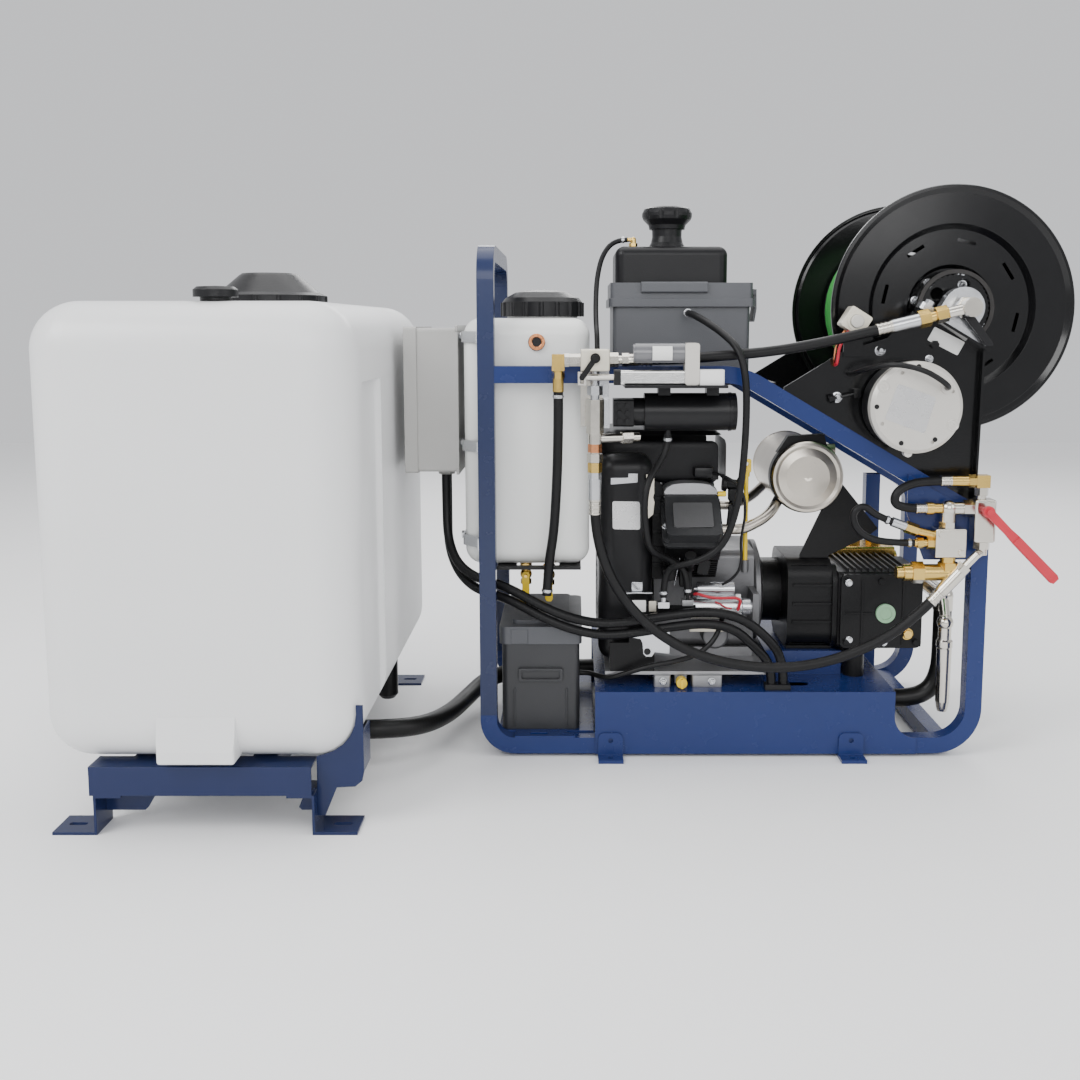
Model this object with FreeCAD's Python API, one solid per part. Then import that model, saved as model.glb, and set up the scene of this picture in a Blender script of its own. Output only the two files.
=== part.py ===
import FreeCAD, Part
import math
import os

# Engine-driven drain-jetting pressure washer: a water tank on its stand and a pump skid
# with a powered hose reel.
# Millimetres. Origin: centre of the skid's four deck bolts, on the floor. +X runs from the tank to the reel,
# +Y away from the operator's side, +Z up.

# General clearances
RUNNING_FIT = 0.05
MOVING_GAP = 0.4
SEAT_GAP = 0.3

# Skid frame
TUBE = 38.0
TUBE_WALL = 3.0
SKID_HALF_LENGTH = 582.5
SKID_HALF_WIDTH = 287.5
BASE_RAIL_BOTTOM = 8.0
HOOP_TOP = 1182.0
RAIL_TOP = 910.0
RAIL_BEND_X = 12.0
DIAGONAL_DROP = 325.0
RAIL_BEND_RADIUS = 150.0
CORNER_BEND_RADIUS = 70.0
HOOP_BEND_RADIUS = 60.0
BASE_BEND_RADIUS = 60.0
POST_SPLICE_Z = 100.0

# Base sheet metal
PAN_LEFT = -316.0
PAN_RIGHT = 381.0
PAN_TOP = 157.0
PAN_SHEET = 3.0
PAN_FILLET = 52.0
PEDESTAL_LEFT = 100.0
PEDESTAL_RIGHT = 285.0
PEDESTAL_DEPTH = 300.0
PEDESTAL_TOP = 215.0
TRAY_TOP = 50.0
BOLT_SPACING_X = 560.0
FOOT_WIDTH = 58.0
FOOT_SHEET = 8.0
FOOT_REACH = 36.0
FOOT_LEG_TOP = 60.0
DECK_BOLT_R = 5.5

# Deck plate under the top rails
DECK_LEFT = -255.0
DECK_RIGHT = 95.0
DECK_FRONT = -384.0
DECK_BACK = 287.5
DECK_SHEET = 6.0

# Water tank and stand
TANK_LEFT = -1418.0
TANK_RIGHT = -785.0
TANK_FRONT = -715.0
TANK_BACK = 330.0
TANK_BOTTOM = 141.0
TANK_TOP = 1048.0
TANK_WALL = 8.0
TANK_EDGE_R = 95.0
RECESS_DEPTH = 14.0
RECESS_FRONT = -600.0
RECESS_BACK = -375.0
RECESS_TOP = 890.0
RECESS_EDGE_R = 12.0
MANWAY_X = -1030.0
MANWAY_Y = -330.0
MANWAY_R = 122.0
MANWAY_NECK_R = 100.0
MANWAY_NECK_H = 14.0
STAND_SHEET = 5.0
BEAM_LEFT = -1320.0
BEAM_RIGHT = -882.0
BEAM_BOTTOM = 81.0
BEAM_DEPTH = 60.0
STAND_LEG_DEPTH = 80.0
STAND_FOOT_REACH = 84.0
STAND_FOOT_SHEET = 6.0

# Engine, gearbox and pump line
CRANK_Z = 335.0
CRANK_Y = 0.0
GEAR_OFFSET_Y = -80.0
GEAR_OFFSET_Z = -15.0
PUMP_Y = CRANK_Y + GEAR_OFFSET_Y
PUMP_Z = CRANK_Z + GEAR_OFFSET_Z
SHAFT_R = 14.3
PUMP_SHAFT_R = 12.5
GEAR_RATIO = 2.2

# Hose reel
REEL_X = 503.7
REEL_Z = 1040.0
BRACKET_SHEET = 6.0
PLATE_BACK = -SKID_HALF_WIDTH + TUBE + BRACKET_SHEET
PLATE_FRONT = PLATE_BACK - BRACKET_SHEET
REAR_PLATE_FRONT = SKID_HALF_WIDTH
FLANGE_R = 279.0
FLANGE_SHEET = 2.0
FLANGE_FRONT_ROOM = 35.5
FLANGE_BACK_ROOM = 25.5
FLANGE_FRONT = PLATE_BACK + FLANGE_FRONT_ROOM
FLANGE_BACK = REAR_PLATE_FRONT - FLANGE_BACK_ROOM
DRUM_R = 182.0
HOSE_LAYER_R = 200.0
AXLE_R = 20.0
BEARING_HEIGHT = 50.0
SHELF_DEPTH = 52.0

# Hose and cable sizes, outer radii
HP_R = 11.5
REEL_HOSE_R = 8.8
SUCTION_R = 22.0
BYPASS_R = 11.0
THIN_R = 8.0
VENT_R = 6.0
LOOM_R = 11.0

# Derived places
POST_X = SKID_HALF_LENGTH - TUBE / 2
RAIL_Y = SKID_HALF_WIDTH - TUBE / 2
RAIL_Z = RAIL_TOP - TUBE / 2
BASE_Z = BASE_RAIL_BOTTOM + TUBE / 2
BASE_TOP = BASE_RAIL_BOTTOM + TUBE
DIAGONAL_END_Z = RAIL_Z - DIAGONAL_DROP
DIAGONAL_ANGLE = math.atan2(DIAGONAL_DROP, POST_X - RAIL_BEND_X)
DECK_TOP = RAIL_TOP - TUBE
DECK_BOTTOM = DECK_TOP - DECK_SHEET


def vec(x, y, z):
    return FreeCAD.Vector(x, y, z)


def box(x0, x1, y0, y1, z0, z1):
    return Part.makeBox(x1 - x0, y1 - y0, z1 - z0, vec(x0, y0, z0))


def rod(radius, start, end):
    """A solid cylinder between two points."""
    a, b = vec(*start), vec(*end)
    return Part.makeCylinder(radius, (b - a).Length, a, b - a)


def pipe(outer, inner, start, end):
    """A straight tube; its bore is cut right through."""
    return rod(outer, start, end).cut(rod(inner, start, end))


def cone(r0, r1, start, end):
    a, b = vec(*start), vec(*end)
    return Part.makeCone(r0, r1, (b - a).Length, a, b - a)


def hexagon(flats, start, end):
    """A hexagonal bar between two points, sized across its flats."""
    a, b = vec(*start), vec(*end)
    radius = flats / math.sqrt(3)
    corners = [
        vec(radius * math.cos(math.radians(60 * i)), radius * math.sin(math.radians(60 * i)), 0)
        for i in range(7)
    ]
    bar = Part.Face(Part.makePolygon(corners)).extrude(vec(0, 0, (b - a).Length))
    bar.Placement = FreeCAD.Placement(a, FreeCAD.Rotation(vec(0, 0, 1), b - a))
    return bar


def plate_xz(points, y0, y1):
    """A flat plate with a polygon outline in X and Z, from y0 to y1."""
    outline = [vec(x, y0, z) for x, z in points]
    return Part.Face(Part.makePolygon(outline + outline[:1])).extrude(vec(0, y1 - y0, 0))


def plate_yz(points, x0, x1):
    outline = [vec(x0, y, z) for y, z in points]
    return Part.Face(Part.makePolygon(outline + outline[:1])).extrude(vec(x1 - x0, 0, 0))


def plate_xy(points, z0, z1):
    outline = [vec(x, y, z0) for x, y in points]
    return Part.Face(Part.makePolygon(outline + outline[:1])).extrude(vec(0, 0, z1 - z0))


def edges_along(shape, axis):
    """The straight edges that run along one axis: 0 for X, 1 for Y, 2 for Z."""
    picked = []
    for edge in shape.Edges:
        if len(edge.Vertexes) < 2 or edge.Curve.TypeId != "Part::GeomLine":
            continue
        run = edge.Vertexes[1].Point - edge.Vertexes[0].Point
        if abs(abs(run[axis]) - run.Length) < 1e-6:
            picked.append(edge)
    return picked


def rounded_box(x0, x1, y0, y1, z0, z1, radius, axes=(0, 1, 2)):
    """A box whose edges along the given axes are rounded."""
    block = box(x0, x1, y0, y1, z0, z1)
    edges = [edge for axis in axes for edge in edges_along(block, axis)]
    return block.makeFillet(radius, edges)


def fuse(parts):
    """Joins touching pieces into one solid."""
    whole = parts[0]
    if len(parts) > 1:
        whole = whole.multiFuse(parts[1:])
    return whole.removeSplitter()


def group(parts):
    """Separate solids kept together in one sub-part."""
    solids = [solid for part in parts for solid in part.Solids]
    return Part.makeCompound(solids)


def screwed_together(parts):
    """Separate pieces that enter one another; each gives way where an earlier one already stands."""
    kept = [parts[0]]
    for part in parts[1:]:
        kept.append(part.cut(Part.makeCompound(kept)))
    return group(kept)


def revolve_y(profile, centre_x, centre_z):
    """A turned piece on an axis along Y; the profile is a list of (radius, y)."""
    outline = [vec(centre_x + radius, y, centre_z) for radius, y in profile]
    face = Part.Face(Part.makePolygon(outline + outline[:1]))
    return face.revolve(vec(centre_x, 0, centre_z), vec(0, 1, 0), 360)


def revolve_x(profile, centre_y, centre_z):
    """A turned piece on an axis along X; the profile is a list of (radius, x)."""
    outline = [vec(x, centre_y, centre_z + radius) for radius, x in profile]
    face = Part.Face(Part.makePolygon(outline + outline[:1]))
    return face.revolve(vec(0, centre_y, centre_z), vec(1, 0, 0), 360)


def revolve_z(profile, centre_x, centre_y):
    """A turned piece on an upright axis; the profile is a list of (radius, z)."""
    outline = [vec(centre_x + radius, centre_y, z) for radius, z in profile]
    face = Part.Face(Part.makePolygon(outline + outline[:1]))
    return face.revolve(vec(centre_x, centre_y, 0), vec(0, 0, 1), 360)


def bend_edges(points, radii):
    """Straight edges and tangent arcs through a list of points; one radius for each inner point."""
    corners = [vec(*point) for point in points]
    edges = []
    start = corners[0]
    for index in range(1, len(corners) - 1):
        corner = corners[index]
        back = (corners[index - 1] - corner).normalize()
        ahead = (corners[index + 1] - corner).normalize()
        half_turn = (math.pi - back.getAngle(ahead)) / 2
        reach = radii[index - 1] * math.tan(half_turn)
        arc_start = corner + back * reach
        arc_end = corner + ahead * reach
        middle_way = (back + ahead).normalize()
        depth = radii[index - 1] * (1 / math.cos(half_turn) - 1)
        edges.append(Part.LineSegment(start, arc_start).toShape())
        edges.append(Part.Arc(arc_start, corner + middle_way * depth, arc_end).toShape())
        start = arc_end
    edges.append(Part.LineSegment(start, corners[-1]).toShape())
    return edges


def offset_corners(points, distance):
    """A flat open outline moved sideways, to the left of its direction when distance is positive."""
    moved = []
    for index, point in enumerate(points):
        directions = []
        if index > 0:
            directions.append((point[0] - points[index - 1][0], point[1] - points[index - 1][1]))
        if index < len(points) - 1:
            directions.append((points[index + 1][0] - point[0], points[index + 1][1] - point[1]))
        normals = [(-dy / math.hypot(dx, dy), dx / math.hypot(dx, dy)) for dx, dy in directions]
        nx = sum(normal[0] for normal in normals) / len(normals)
        ny = sum(normal[1] for normal in normals) / len(normals)
        scale = distance / (nx * nx + ny * ny)
        moved.append((point[0] + nx * scale, point[1] + ny * scale))
    return moved


def turn_side(points, index):
    """+1 where a flat outline turns left at a point, -1 where it turns right."""
    ax, az = points[index - 1]
    bx, bz = points[index]
    cx, cz = points[index + 1]
    return 1 if (bx - ax) * (cz - bz) - (bz - az) * (cx - bx) > 0 else -1


def bent_bar(points, radii, half_height, lift, place):
    """A bar of rectangular section along a flat bent path; place turns (u, v) into a 3-D point."""
    sides = []
    for distance in (half_height, -half_height):
        moved = offset_corners(points, distance)
        side_radii = [
            radius - turn_side(points, index + 1) * distance for index, radius in enumerate(radii)
        ]
        sides.append((moved, side_radii))
    (left, left_radii), (right, right_radii) = sides
    edges = bend_edges([place(*point) for point in left], left_radii)
    edges.append(Part.LineSegment(vec(*place(*left[-1])), vec(*place(*right[-1]))).toShape())
    edges += bend_edges([place(*point) for point in reversed(right)], list(reversed(right_radii)))
    edges.append(Part.LineSegment(vec(*place(*right[0])), vec(*place(*left[0]))).toShape())
    return Part.Face(Part.Wire(Part.__sortEdges__(edges))).extrude(vec(*lift))


def square_tube_xz(points, radii, y_centre):
    """Square tube bent in an X-Z plane, open at both ends."""
    outer = bent_bar(points, radii, TUBE / 2, (0, TUBE, 0), lambda u, v: (u, y_centre - TUBE / 2, v))
    half_bore = TUBE / 2 - TUBE_WALL
    first = extend(points[1], points[0], TUBE)
    last = extend(points[-2], points[-1], TUBE)
    inner = bent_bar(
        [first] + points[1:-1] + [last], radii, half_bore, (0, 2 * half_bore, 0),
        lambda u, v: (u, y_centre - half_bore, v),
    )
    return outer.cut(inner)


def square_tube_yz(points, radii, x_centre):
    """Square tube bent in a Y-Z plane, open at both ends."""
    outer = bent_bar(points, radii, TUBE / 2, (TUBE, 0, 0), lambda u, v: (x_centre - TUBE / 2, u, v))
    half_bore = TUBE / 2 - TUBE_WALL
    first = extend(points[1], points[0], TUBE)
    last = extend(points[-2], points[-1], TUBE)
    inner = bent_bar(
        [first] + points[1:-1] + [last], radii, half_bore, (2 * half_bore, 0, 0),
        lambda u, v: (x_centre - half_bore, u, v),
    )
    return outer.cut(inner)


def extend(start, end, length):
    """The end of a flat run, moved on by a length."""
    run = math.hypot(end[0] - start[0], end[1] - start[1])
    scale = length / run
    return (end[0] + (end[0] - start[0]) * scale, end[1] + (end[1] - start[1]) * scale)


def route_radii(points):
    """Arc radii of a hose: 0.45 of the shorter run beside each point, over the tangent of half the turn."""
    radii = []
    for index in range(1, len(points) - 1):
        corner = vec(*points[index])
        back = vec(*points[index - 1]) - corner
        ahead = vec(*points[index + 1]) - corner
        half_turn = (math.pi - back.getAngle(ahead)) / 2
        radii.append(0.45 * min(back.Length, ahead.Length) / math.tan(half_turn))
    return radii


def hose(name, points, radius):
    """A solid round tube along straight runs joined by tangent arcs."""
    radii = route_radii(points)
    path = Part.Wire(bend_edges(points, radii))
    start = vec(*points[0])
    direction = vec(*points[1]) - start
    section = Part.Wire(Part.makeCircle(radius, start, direction))
    sweep = Part.BRepOffsetAPI.MakePipeShell(path)
    sweep.add(section)
    sweep.build()
    sweep.makeSolid()
    tube = Part.Solid(sweep.shape())
    expected = math.pi * radius * radius * path.Length
    print(f"{name}: length {path.Length:.0f}, least radius {min(radii):.0f} for diameter {2 * radius:.0f},"
          f" volume over section times length {tube.Volume / expected:.4f}")
    return tube


def save(name, shape):
    os.makedirs("parts", exist_ok=True)
    if not shape.isValid() or not shape.Solids:
        print(f"{name}: shape is not valid")
    shape.exportStep(f"parts/{name}.step")


# Skid frame

def side_loop(y_centre):
    """One side of the skid: upper rail, diagonal, right post and base rail in one bent square tube."""
    path = [
        (-POST_X + TUBE / 2, RAIL_Z),
        (RAIL_BEND_X, RAIL_Z),
        (POST_X, DIAGONAL_END_Z),
        (POST_X, BASE_Z),
        (-POST_X, BASE_Z),
        (-POST_X, POST_SPLICE_Z),
    ]
    radii = [RAIL_BEND_RADIUS, CORNER_BEND_RADIUS, CORNER_BEND_RADIUS + TUBE / 2, BASE_BEND_RADIUS]
    return square_tube_xz(path, radii, y_centre)


def left_hoop():
    path = [
        (-RAIL_Y, POST_SPLICE_Z),
        (-RAIL_Y, HOOP_TOP - TUBE / 2),
        (RAIL_Y, HOOP_TOP - TUBE / 2),
        (RAIL_Y, POST_SPLICE_Z),
    ]
    return square_tube_yz(path, [HOOP_BEND_RADIUS, HOOP_BEND_RADIUS], -POST_X)


def cross_tube(x_centre, z_centre):
    reach = RAIL_Y - TUBE / 2
    outer = box(
        x_centre - TUBE / 2, x_centre + TUBE / 2, -reach, reach, z_centre - TUBE / 2, z_centre + TUBE / 2
    )
    half_bore = TUBE / 2 - TUBE_WALL
    bore = box(
        x_centre - half_bore, x_centre + half_bore, -reach, reach, z_centre - half_bore, z_centre + half_bore
    )
    return outer.cut(bore)


UPRIGHT_X = 455.0
GUSSET_LEFT = 392.0
GUSSET_SHEET = 5.0


def diagonal_z(x):
    return RAIL_Z - (x - RAIL_BEND_X) * DIAGONAL_DROP / (POST_X - RAIL_BEND_X)


def diagonal_top_z(x):
    return diagonal_z(x) + TUBE / 2 / math.cos(DIAGONAL_ANGLE)


def diagonal_under_z(x):
    return diagonal_z(x) - TUBE / 2 / math.cos(DIAGONAL_ANGLE)


def cross_tubes():
    """Base and splice cross tubes, with the rear upright that stiffens the reel end."""
    half_bore = TUBE / 2 - TUBE_WALL
    top = diagonal_under_z(UPRIGHT_X + TUBE / 2)
    y0, y1 = RAIL_Y - TUBE / 2, RAIL_Y + TUBE / 2
    upright = box(UPRIGHT_X - TUBE / 2, UPRIGHT_X + TUBE / 2, y0, y1, BASE_TOP, top)
    bore = box(
        UPRIGHT_X - half_bore, UPRIGHT_X + half_bore, y0 + TUBE_WALL, y1 - TUBE_WALL, BASE_TOP, top
    )
    return group([
        cross_tube(-POST_X + BASE_BEND_RADIUS, BASE_Z),
        cross_tube(PAN_LEFT - TUBE, BASE_Z),
        cross_tube(POST_X - CORNER_BEND_RADIUS, BASE_Z),
        upright.cut(bore),
    ])


def gusset_plate():
    """The flat corner plate on the outer face of the front diagonal; the water controls hang on it."""
    right = POST_X - TUBE / 2 - 1
    outline = [
        (GUSSET_LEFT, diagonal_z(GUSSET_LEFT)),
        (right, diagonal_z(right)),
        (right, GUSSET_BOTTOM),
        (right - 110, GUSSET_BOTTOM),
        (GUSSET_LEFT, diagonal_z(GUSSET_LEFT) - 90),
    ]
    return plate_xz(outline, -SKID_HALF_WIDTH - GUSSET_SHEET, -SKID_HALF_WIDTH)


GUSSET_BOTTOM = 470.0


def base_pan():
    """The folded base sheet over the base rails, its rounded run-out to the rail, and the gearbox pedestal."""
    front = -SKID_HALF_WIDTH - PAN_SHEET
    back = SKID_HALF_WIDTH + PAN_SHEET
    top = box(PAN_LEFT, PAN_RIGHT, front, back, PAN_TOP - PAN_SHEET, PAN_TOP)
    skirts = []
    for outer, inner in ((front, -SKID_HALF_WIDTH), (SKID_HALF_WIDTH, back)):
        sheet = box(PAN_LEFT, PAN_RIGHT, outer, inner, BASE_RAIL_BOTTOM, PAN_TOP - PAN_SHEET)
        tail = box(PAN_RIGHT, PAN_RIGHT + PAN_FILLET, outer, inner, BASE_RAIL_BOTTOM, BASE_TOP + PAN_FILLET)
        scoop_x = PAN_RIGHT + PAN_FILLET
        scoop_z = BASE_TOP + PAN_FILLET
        scoop = rod(PAN_FILLET, (scoop_x, outer - 1, scoop_z), (scoop_x, inner + 1, scoop_z))
        skirts.append(fuse([sheet, tail.cut(scoop)]))
    deck = box(
        PEDESTAL_LEFT, PEDESTAL_RIGHT, -PEDESTAL_DEPTH / 2, PEDESTAL_DEPTH / 2, PAN_TOP, PEDESTAL_TOP
    )
    hollow = box(
        PEDESTAL_LEFT + PAN_SHEET, PEDESTAL_RIGHT - PAN_SHEET, -PEDESTAL_DEPTH / 2 + PAN_SHEET,
        PEDESTAL_DEPTH / 2 - PAN_SHEET, PAN_TOP, PEDESTAL_TOP - PAN_SHEET,
    )
    pan = fuse([top] + skirts + [deck.cut(hollow)])
    slot_y, slot_x, slot_r = -225.0, 115.0, 16.0
    slot = fuse([
        rod(slot_r, (slot_x, slot_y, PAN_TOP - 10), (slot_x, slot_y, PAN_TOP + 10)),
        rod(slot_r, (slot_x + 60, slot_y, PAN_TOP - 10), (slot_x + 60, slot_y, PAN_TOP + 10)),
        box(slot_x, slot_x + 60, slot_y - slot_r, slot_y + slot_r, PAN_TOP - 10, PAN_TOP + 10),
    ])
    return pan.cut(slot)


def deck_feet():
    """Four folded hold-down feet outside the base rails, each with a bolt hole to the vehicle's deck."""
    feet = []
    for side_x in (-1, 1):
        for side_y in (-1, 1):
            x = side_x * BOLT_SPACING_X / 2
            rail_face = SKID_HALF_WIDTH + PAN_SHEET
            sheet = FOOT_SHEET - 2
            leg = box(
                x - FOOT_WIDTH / 2, x + FOOT_WIDTH / 2, *sorted(
                    (side_y * rail_face, side_y * (rail_face + sheet))
                ),
                FOOT_SHEET, FOOT_LEG_TOP,
            )
            leg = leg.makeFillet(FOOT_WIDTH / 4, [
                edge for edge in edges_along(leg, 1) if edge.CenterOfMass.z > FOOT_LEG_TOP - 1
            ])
            sole = box(
                x - FOOT_WIDTH / 2, x + FOOT_WIDTH / 2,
                *sorted((side_y * (SKID_HALF_WIDTH - TUBE), side_y * (rail_face + sheet + FOOT_REACH))),
                0, FOOT_SHEET,
            )
            hole_y = side_y * DECK_BOLT_Y
            hole = rod(DECK_BOLT_R, (x, hole_y, -1), (x, hole_y, FOOT_SHEET + 1))
            lug_hole = rod(
                DECK_BOLT_R, (x, side_y * rail_face - 20, FOOT_LEG_TOP - 18),
                (x, side_y * rail_face + 20, FOOT_LEG_TOP - 18),
            )
            feet.append(fuse([leg.cut(lug_hole), sole]).cut(hole))
    return group(feet)


DECK_BOLT_Y = SKID_HALF_WIDTH + PAN_SHEET + FOOT_SHEET - 2 + FOOT_REACH / 2


def battery_tray():
    """A sheet across the base rails under the battery, with the slotted tab that shows in front."""
    left, right = -POST_X + TUBE / 2 + 2, PAN_LEFT - 2
    sheet = box(left, right, -RAIL_Y + TUBE / 2, RAIL_Y - TUBE / 2, BASE_TOP, TRAY_TOP)
    tab = plate_xy(
        [
            (-503, -SKID_HALF_WIDTH), (-362, -SKID_HALF_WIDTH), (-385, -RAIL_Y + TUBE / 2),
            (-503, -RAIL_Y + TUBE / 2),
        ],
        BASE_TOP, TRAY_TOP,
    )
    slot_y = -RAIL_Y
    slot = fuse([
        rod(6, (-462, slot_y, BASE_TOP - 5), (-462, slot_y, TRAY_TOP + 5)),
        rod(6, (-432, slot_y, BASE_TOP - 5), (-432, slot_y, TRAY_TOP + 5)),
        box(-462, -432, slot_y - 6, slot_y + 6, BASE_TOP - 5, TRAY_TOP + 5),
    ])
    return fuse([sheet, tab]).cut(slot)


def deck_plate():
    """The flat plate over the front rail and the rails behind it, cut back beside the thin hose."""
    plate = box(DECK_LEFT, DECK_RIGHT, DECK_FRONT, DECK_BACK, DECK_BOTTOM, DECK_TOP)
    inside = RAIL_Y - TUBE / 2
    front_notch = box(DECK_FRONT_RIGHT, DECK_RIGHT + 1, DECK_FRONT - 1, -inside, DECK_BOTTOM - 1, DECK_TOP + 1)
    rear_notch = box(DECK_FRONT_RIGHT, DECK_RIGHT + 1, inside, DECK_BACK + 1, DECK_BOTTOM - 1, DECK_TOP + 1)
    return plate.cut(front_notch).cut(rear_notch)


DECK_FRONT_RIGHT = -31.0


# Water tank unit

def tank_body_outline(shrink):
    """The tank's outer form, or its inner form when shrunk by the wall."""
    main = rounded_box(
        TANK_LEFT + shrink, TANK_RIGHT - shrink, TANK_FRONT + shrink, TANK_BACK - shrink,
        TANK_BOTTOM + shrink, TANK_TOP - shrink, TANK_EDGE_R - shrink,
    )
    recess = rounded_box(
        TANK_RIGHT - RECESS_DEPTH - shrink, TANK_RIGHT + 60, RECESS_FRONT - shrink, RECESS_BACK + shrink,
        TANK_BOTTOM - 60, RECESS_TOP + shrink, RECESS_EDGE_R + shrink,
    )
    return main.cut(recess)


def water_tank():
    outer = tank_body_outline(0)
    inner = tank_body_outline(TANK_WALL)
    neck = pipe(
        MANWAY_NECK_R, MANWAY_NECK_R - TANK_WALL, (MANWAY_X, MANWAY_Y, TANK_TOP - TANK_WALL),
        (MANWAY_X, MANWAY_Y, TANK_TOP + MANWAY_NECK_H),
    )
    mouth = rod(
        MANWAY_NECK_R - TANK_WALL, (MANWAY_X, MANWAY_Y, TANK_TOP - 3 * TANK_WALL),
        (MANWAY_X, MANWAY_Y, TANK_TOP + MANWAY_NECK_H),
    )
    sump = rod(SUMP_R, (SUMP_X, SUMP_Y, TANK_BOTTOM - 1), (SUMP_X, SUMP_Y, TANK_BOTTOM + TANK_WALL + 1))
    lug_bottom = TANK_BOTTOM + 12
    lug = rounded_box(
        LUG_X - LUG_HALF_WIDTH, LUG_X + LUG_HALF_WIDTH, TANK_FRONT - LUG_REACH, TANK_FRONT + 120,
        lug_bottom, lug_bottom + 110, 6,
    )
    lug = lug.common(plate_yz(
        [
            (TANK_FRONT - LUG_REACH, lug_bottom), (TANK_FRONT - LUG_REACH, lug_bottom + 26),
            (TANK_FRONT - 1, lug_bottom + 92), (TANK_FRONT + 110, lug_bottom + 92), (TANK_FRONT + 110, lug_bottom),
        ],
        LUG_X - LUG_HALF_WIDTH, LUG_X + LUG_HALF_WIDTH,
    ))
    shell = fuse([outer, neck, lug.cut(inner)])
    return shell.cut(inner).cut(mouth).cut(sump)


STAND_SET_BACK = 10.0
BEAM_TOP = TANK_BOTTOM - 1.0
LUG_X = -1100.0
LUG_HALF_WIDTH = 76.0
LUG_REACH = 16.0
SUMP_X = -905.0
SUMP_Y = -330.0
SUMP_R = 27.0
SUMP_Z = 82.0


def tank_lid():
    """The manway lid: a flat rim that caps the neck, a cone and a flat top."""
    seat = TANK_TOP + MANWAY_NECK_H + SEAT_GAP
    rim_under = TANK_TOP + 3
    skirt_in = MANWAY_NECK_R + 1.2
    profile = [
        (0, seat), (skirt_in, seat), (skirt_in, rim_under), (MANWAY_R, rim_under), (MANWAY_R, rim_under + 14),
        (MANWAY_R - 14, rim_under + 20), (64, rim_under + 58), (58, rim_under + 62), (0, rim_under + 62),
    ]
    lid = revolve_z(profile, MANWAY_X, MANWAY_Y)
    grips = []
    for index in range(16):
        angle = math.radians(360 / 16 * index)
        x = MANWAY_X + (MANWAY_R - 2) * math.cos(angle)
        y = MANWAY_Y + (MANWAY_R - 2) * math.sin(angle)
        grips.append(rod(5, (x, y, rim_under), (x, y, rim_under + 13)))
    return fuse([lid] + grips)


def tank_vent_cap():
    x, y = -1066.0, -600.0
    profile = [
        (0, TANK_TOP), (30, TANK_TOP), (30, TANK_TOP + 8), (43, TANK_TOP + 8), (43, TANK_TOP + 22),
        (36, TANK_TOP + 28), (0, TANK_TOP + 30),
    ]
    return revolve_z(profile, x, y)


def stand_beam(y0, y1):
    """A folded channel across the stand, open towards the middle of the tank."""
    outer = box(BEAM_LEFT, BEAM_RIGHT, y0, y1, BEAM_BOTTOM, BEAM_TOP)
    inward = 1 if y0 < 0 else -1
    shift = STAND_SHEET * inward
    inner = box(
        BEAM_LEFT - 1, BEAM_RIGHT + 1, y0 + (shift if inward > 0 else -1), y1 + (1 if inward > 0 else shift),
        BEAM_BOTTOM + STAND_SHEET, BEAM_TOP - STAND_SHEET,
    )
    return outer.cut(inner)


def stand_leg(side_x, y0, y1):
    """A folded leg with an outward foot flange under one end of a beam."""
    web_in = BEAM_LEFT + 12 if side_x < 0 else BEAM_RIGHT
    web_out = web_in + side_x * STAND_SHEET
    tip = web_out + side_x * STAND_FOOT_REACH
    outline = [
        (web_in, BEAM_BOTTOM), (web_in, 0), (tip, 0), (tip, STAND_FOOT_SHEET), (web_out, STAND_FOOT_SHEET),
        (web_out, BEAM_BOTTOM),
    ]
    leg = plate_xz(outline, y0, y1)
    slot_x = web_out + side_x * 48
    middle = (y0 + y1) / 2
    slot = fuse([
        rod(6.5, (slot_x - 12, middle, -1), (slot_x - 12, middle, 10)),
        rod(6.5, (slot_x + 12, middle, -1), (slot_x + 12, middle, 10)),
        box(slot_x - 12, slot_x + 12, middle - 6.5, middle + 6.5, -1, 10),
    ])
    gusset_y = middle + (14 if y0 < 0 else -14)
    top_reach, low_reach = (112, 84) if side_x < 0 else (20, 38)
    gusset = plate_xz(
        [
            (web_in, BEAM_BOTTOM), (web_in - side_x * top_reach, BEAM_BOTTOM), (web_in - side_x * low_reach, 36),
            (web_in - side_x * (low_reach - 6), 30), (web_in, 30),
        ],
        gusset_y - STAND_SHEET / 2, gusset_y + STAND_SHEET / 2,
    )
    flange = plate_xz(
        [
            (web_out, BEAM_BOTTOM - STAND_SHEET), (web_out, BEAM_BOTTOM), (web_in - side_x * 50, BEAM_BOTTOM),
            (web_in - side_x * 50, BEAM_BOTTOM - STAND_SHEET),
        ],
        y0, y1,
    )
    return fuse([leg.cut(slot), gusset, flange])


def tank_stand():
    front = TANK_FRONT + STAND_SET_BACK
    back = TANK_BACK
    pieces = []
    for y0, y1, leg0, leg1 in (
        (front, front + BEAM_DEPTH, front, front + STAND_LEG_DEPTH),
        (back - BEAM_DEPTH, back, back - STAND_LEG_DEPTH, back),
    ):
        pieces.append(fuse([
            stand_beam(y0, y1), stand_leg(-1, leg0, leg1), stand_leg(1, leg0, leg1),
        ]))
    return group(pieces)


def stand_rails():
    """Two channels that run between the beams and carry the tank's floor."""
    y0 = TANK_FRONT + STAND_SET_BACK + BEAM_DEPTH
    y1 = TANK_BACK - BEAM_DEPTH
    rails = []
    for x in (BEAM_LEFT + 70, BEAM_RIGHT - 130):
        outer = box(x, x + 50, y0, y1, BEAM_BOTTOM + 20, BEAM_TOP)
        inner = box(x + STAND_SHEET, x + 50 - STAND_SHEET, y0, y1, BEAM_BOTTOM + 19, BEAM_TOP - STAND_SHEET)
        rails.append(outer.cut(inner))
    return group(rails)


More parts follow.
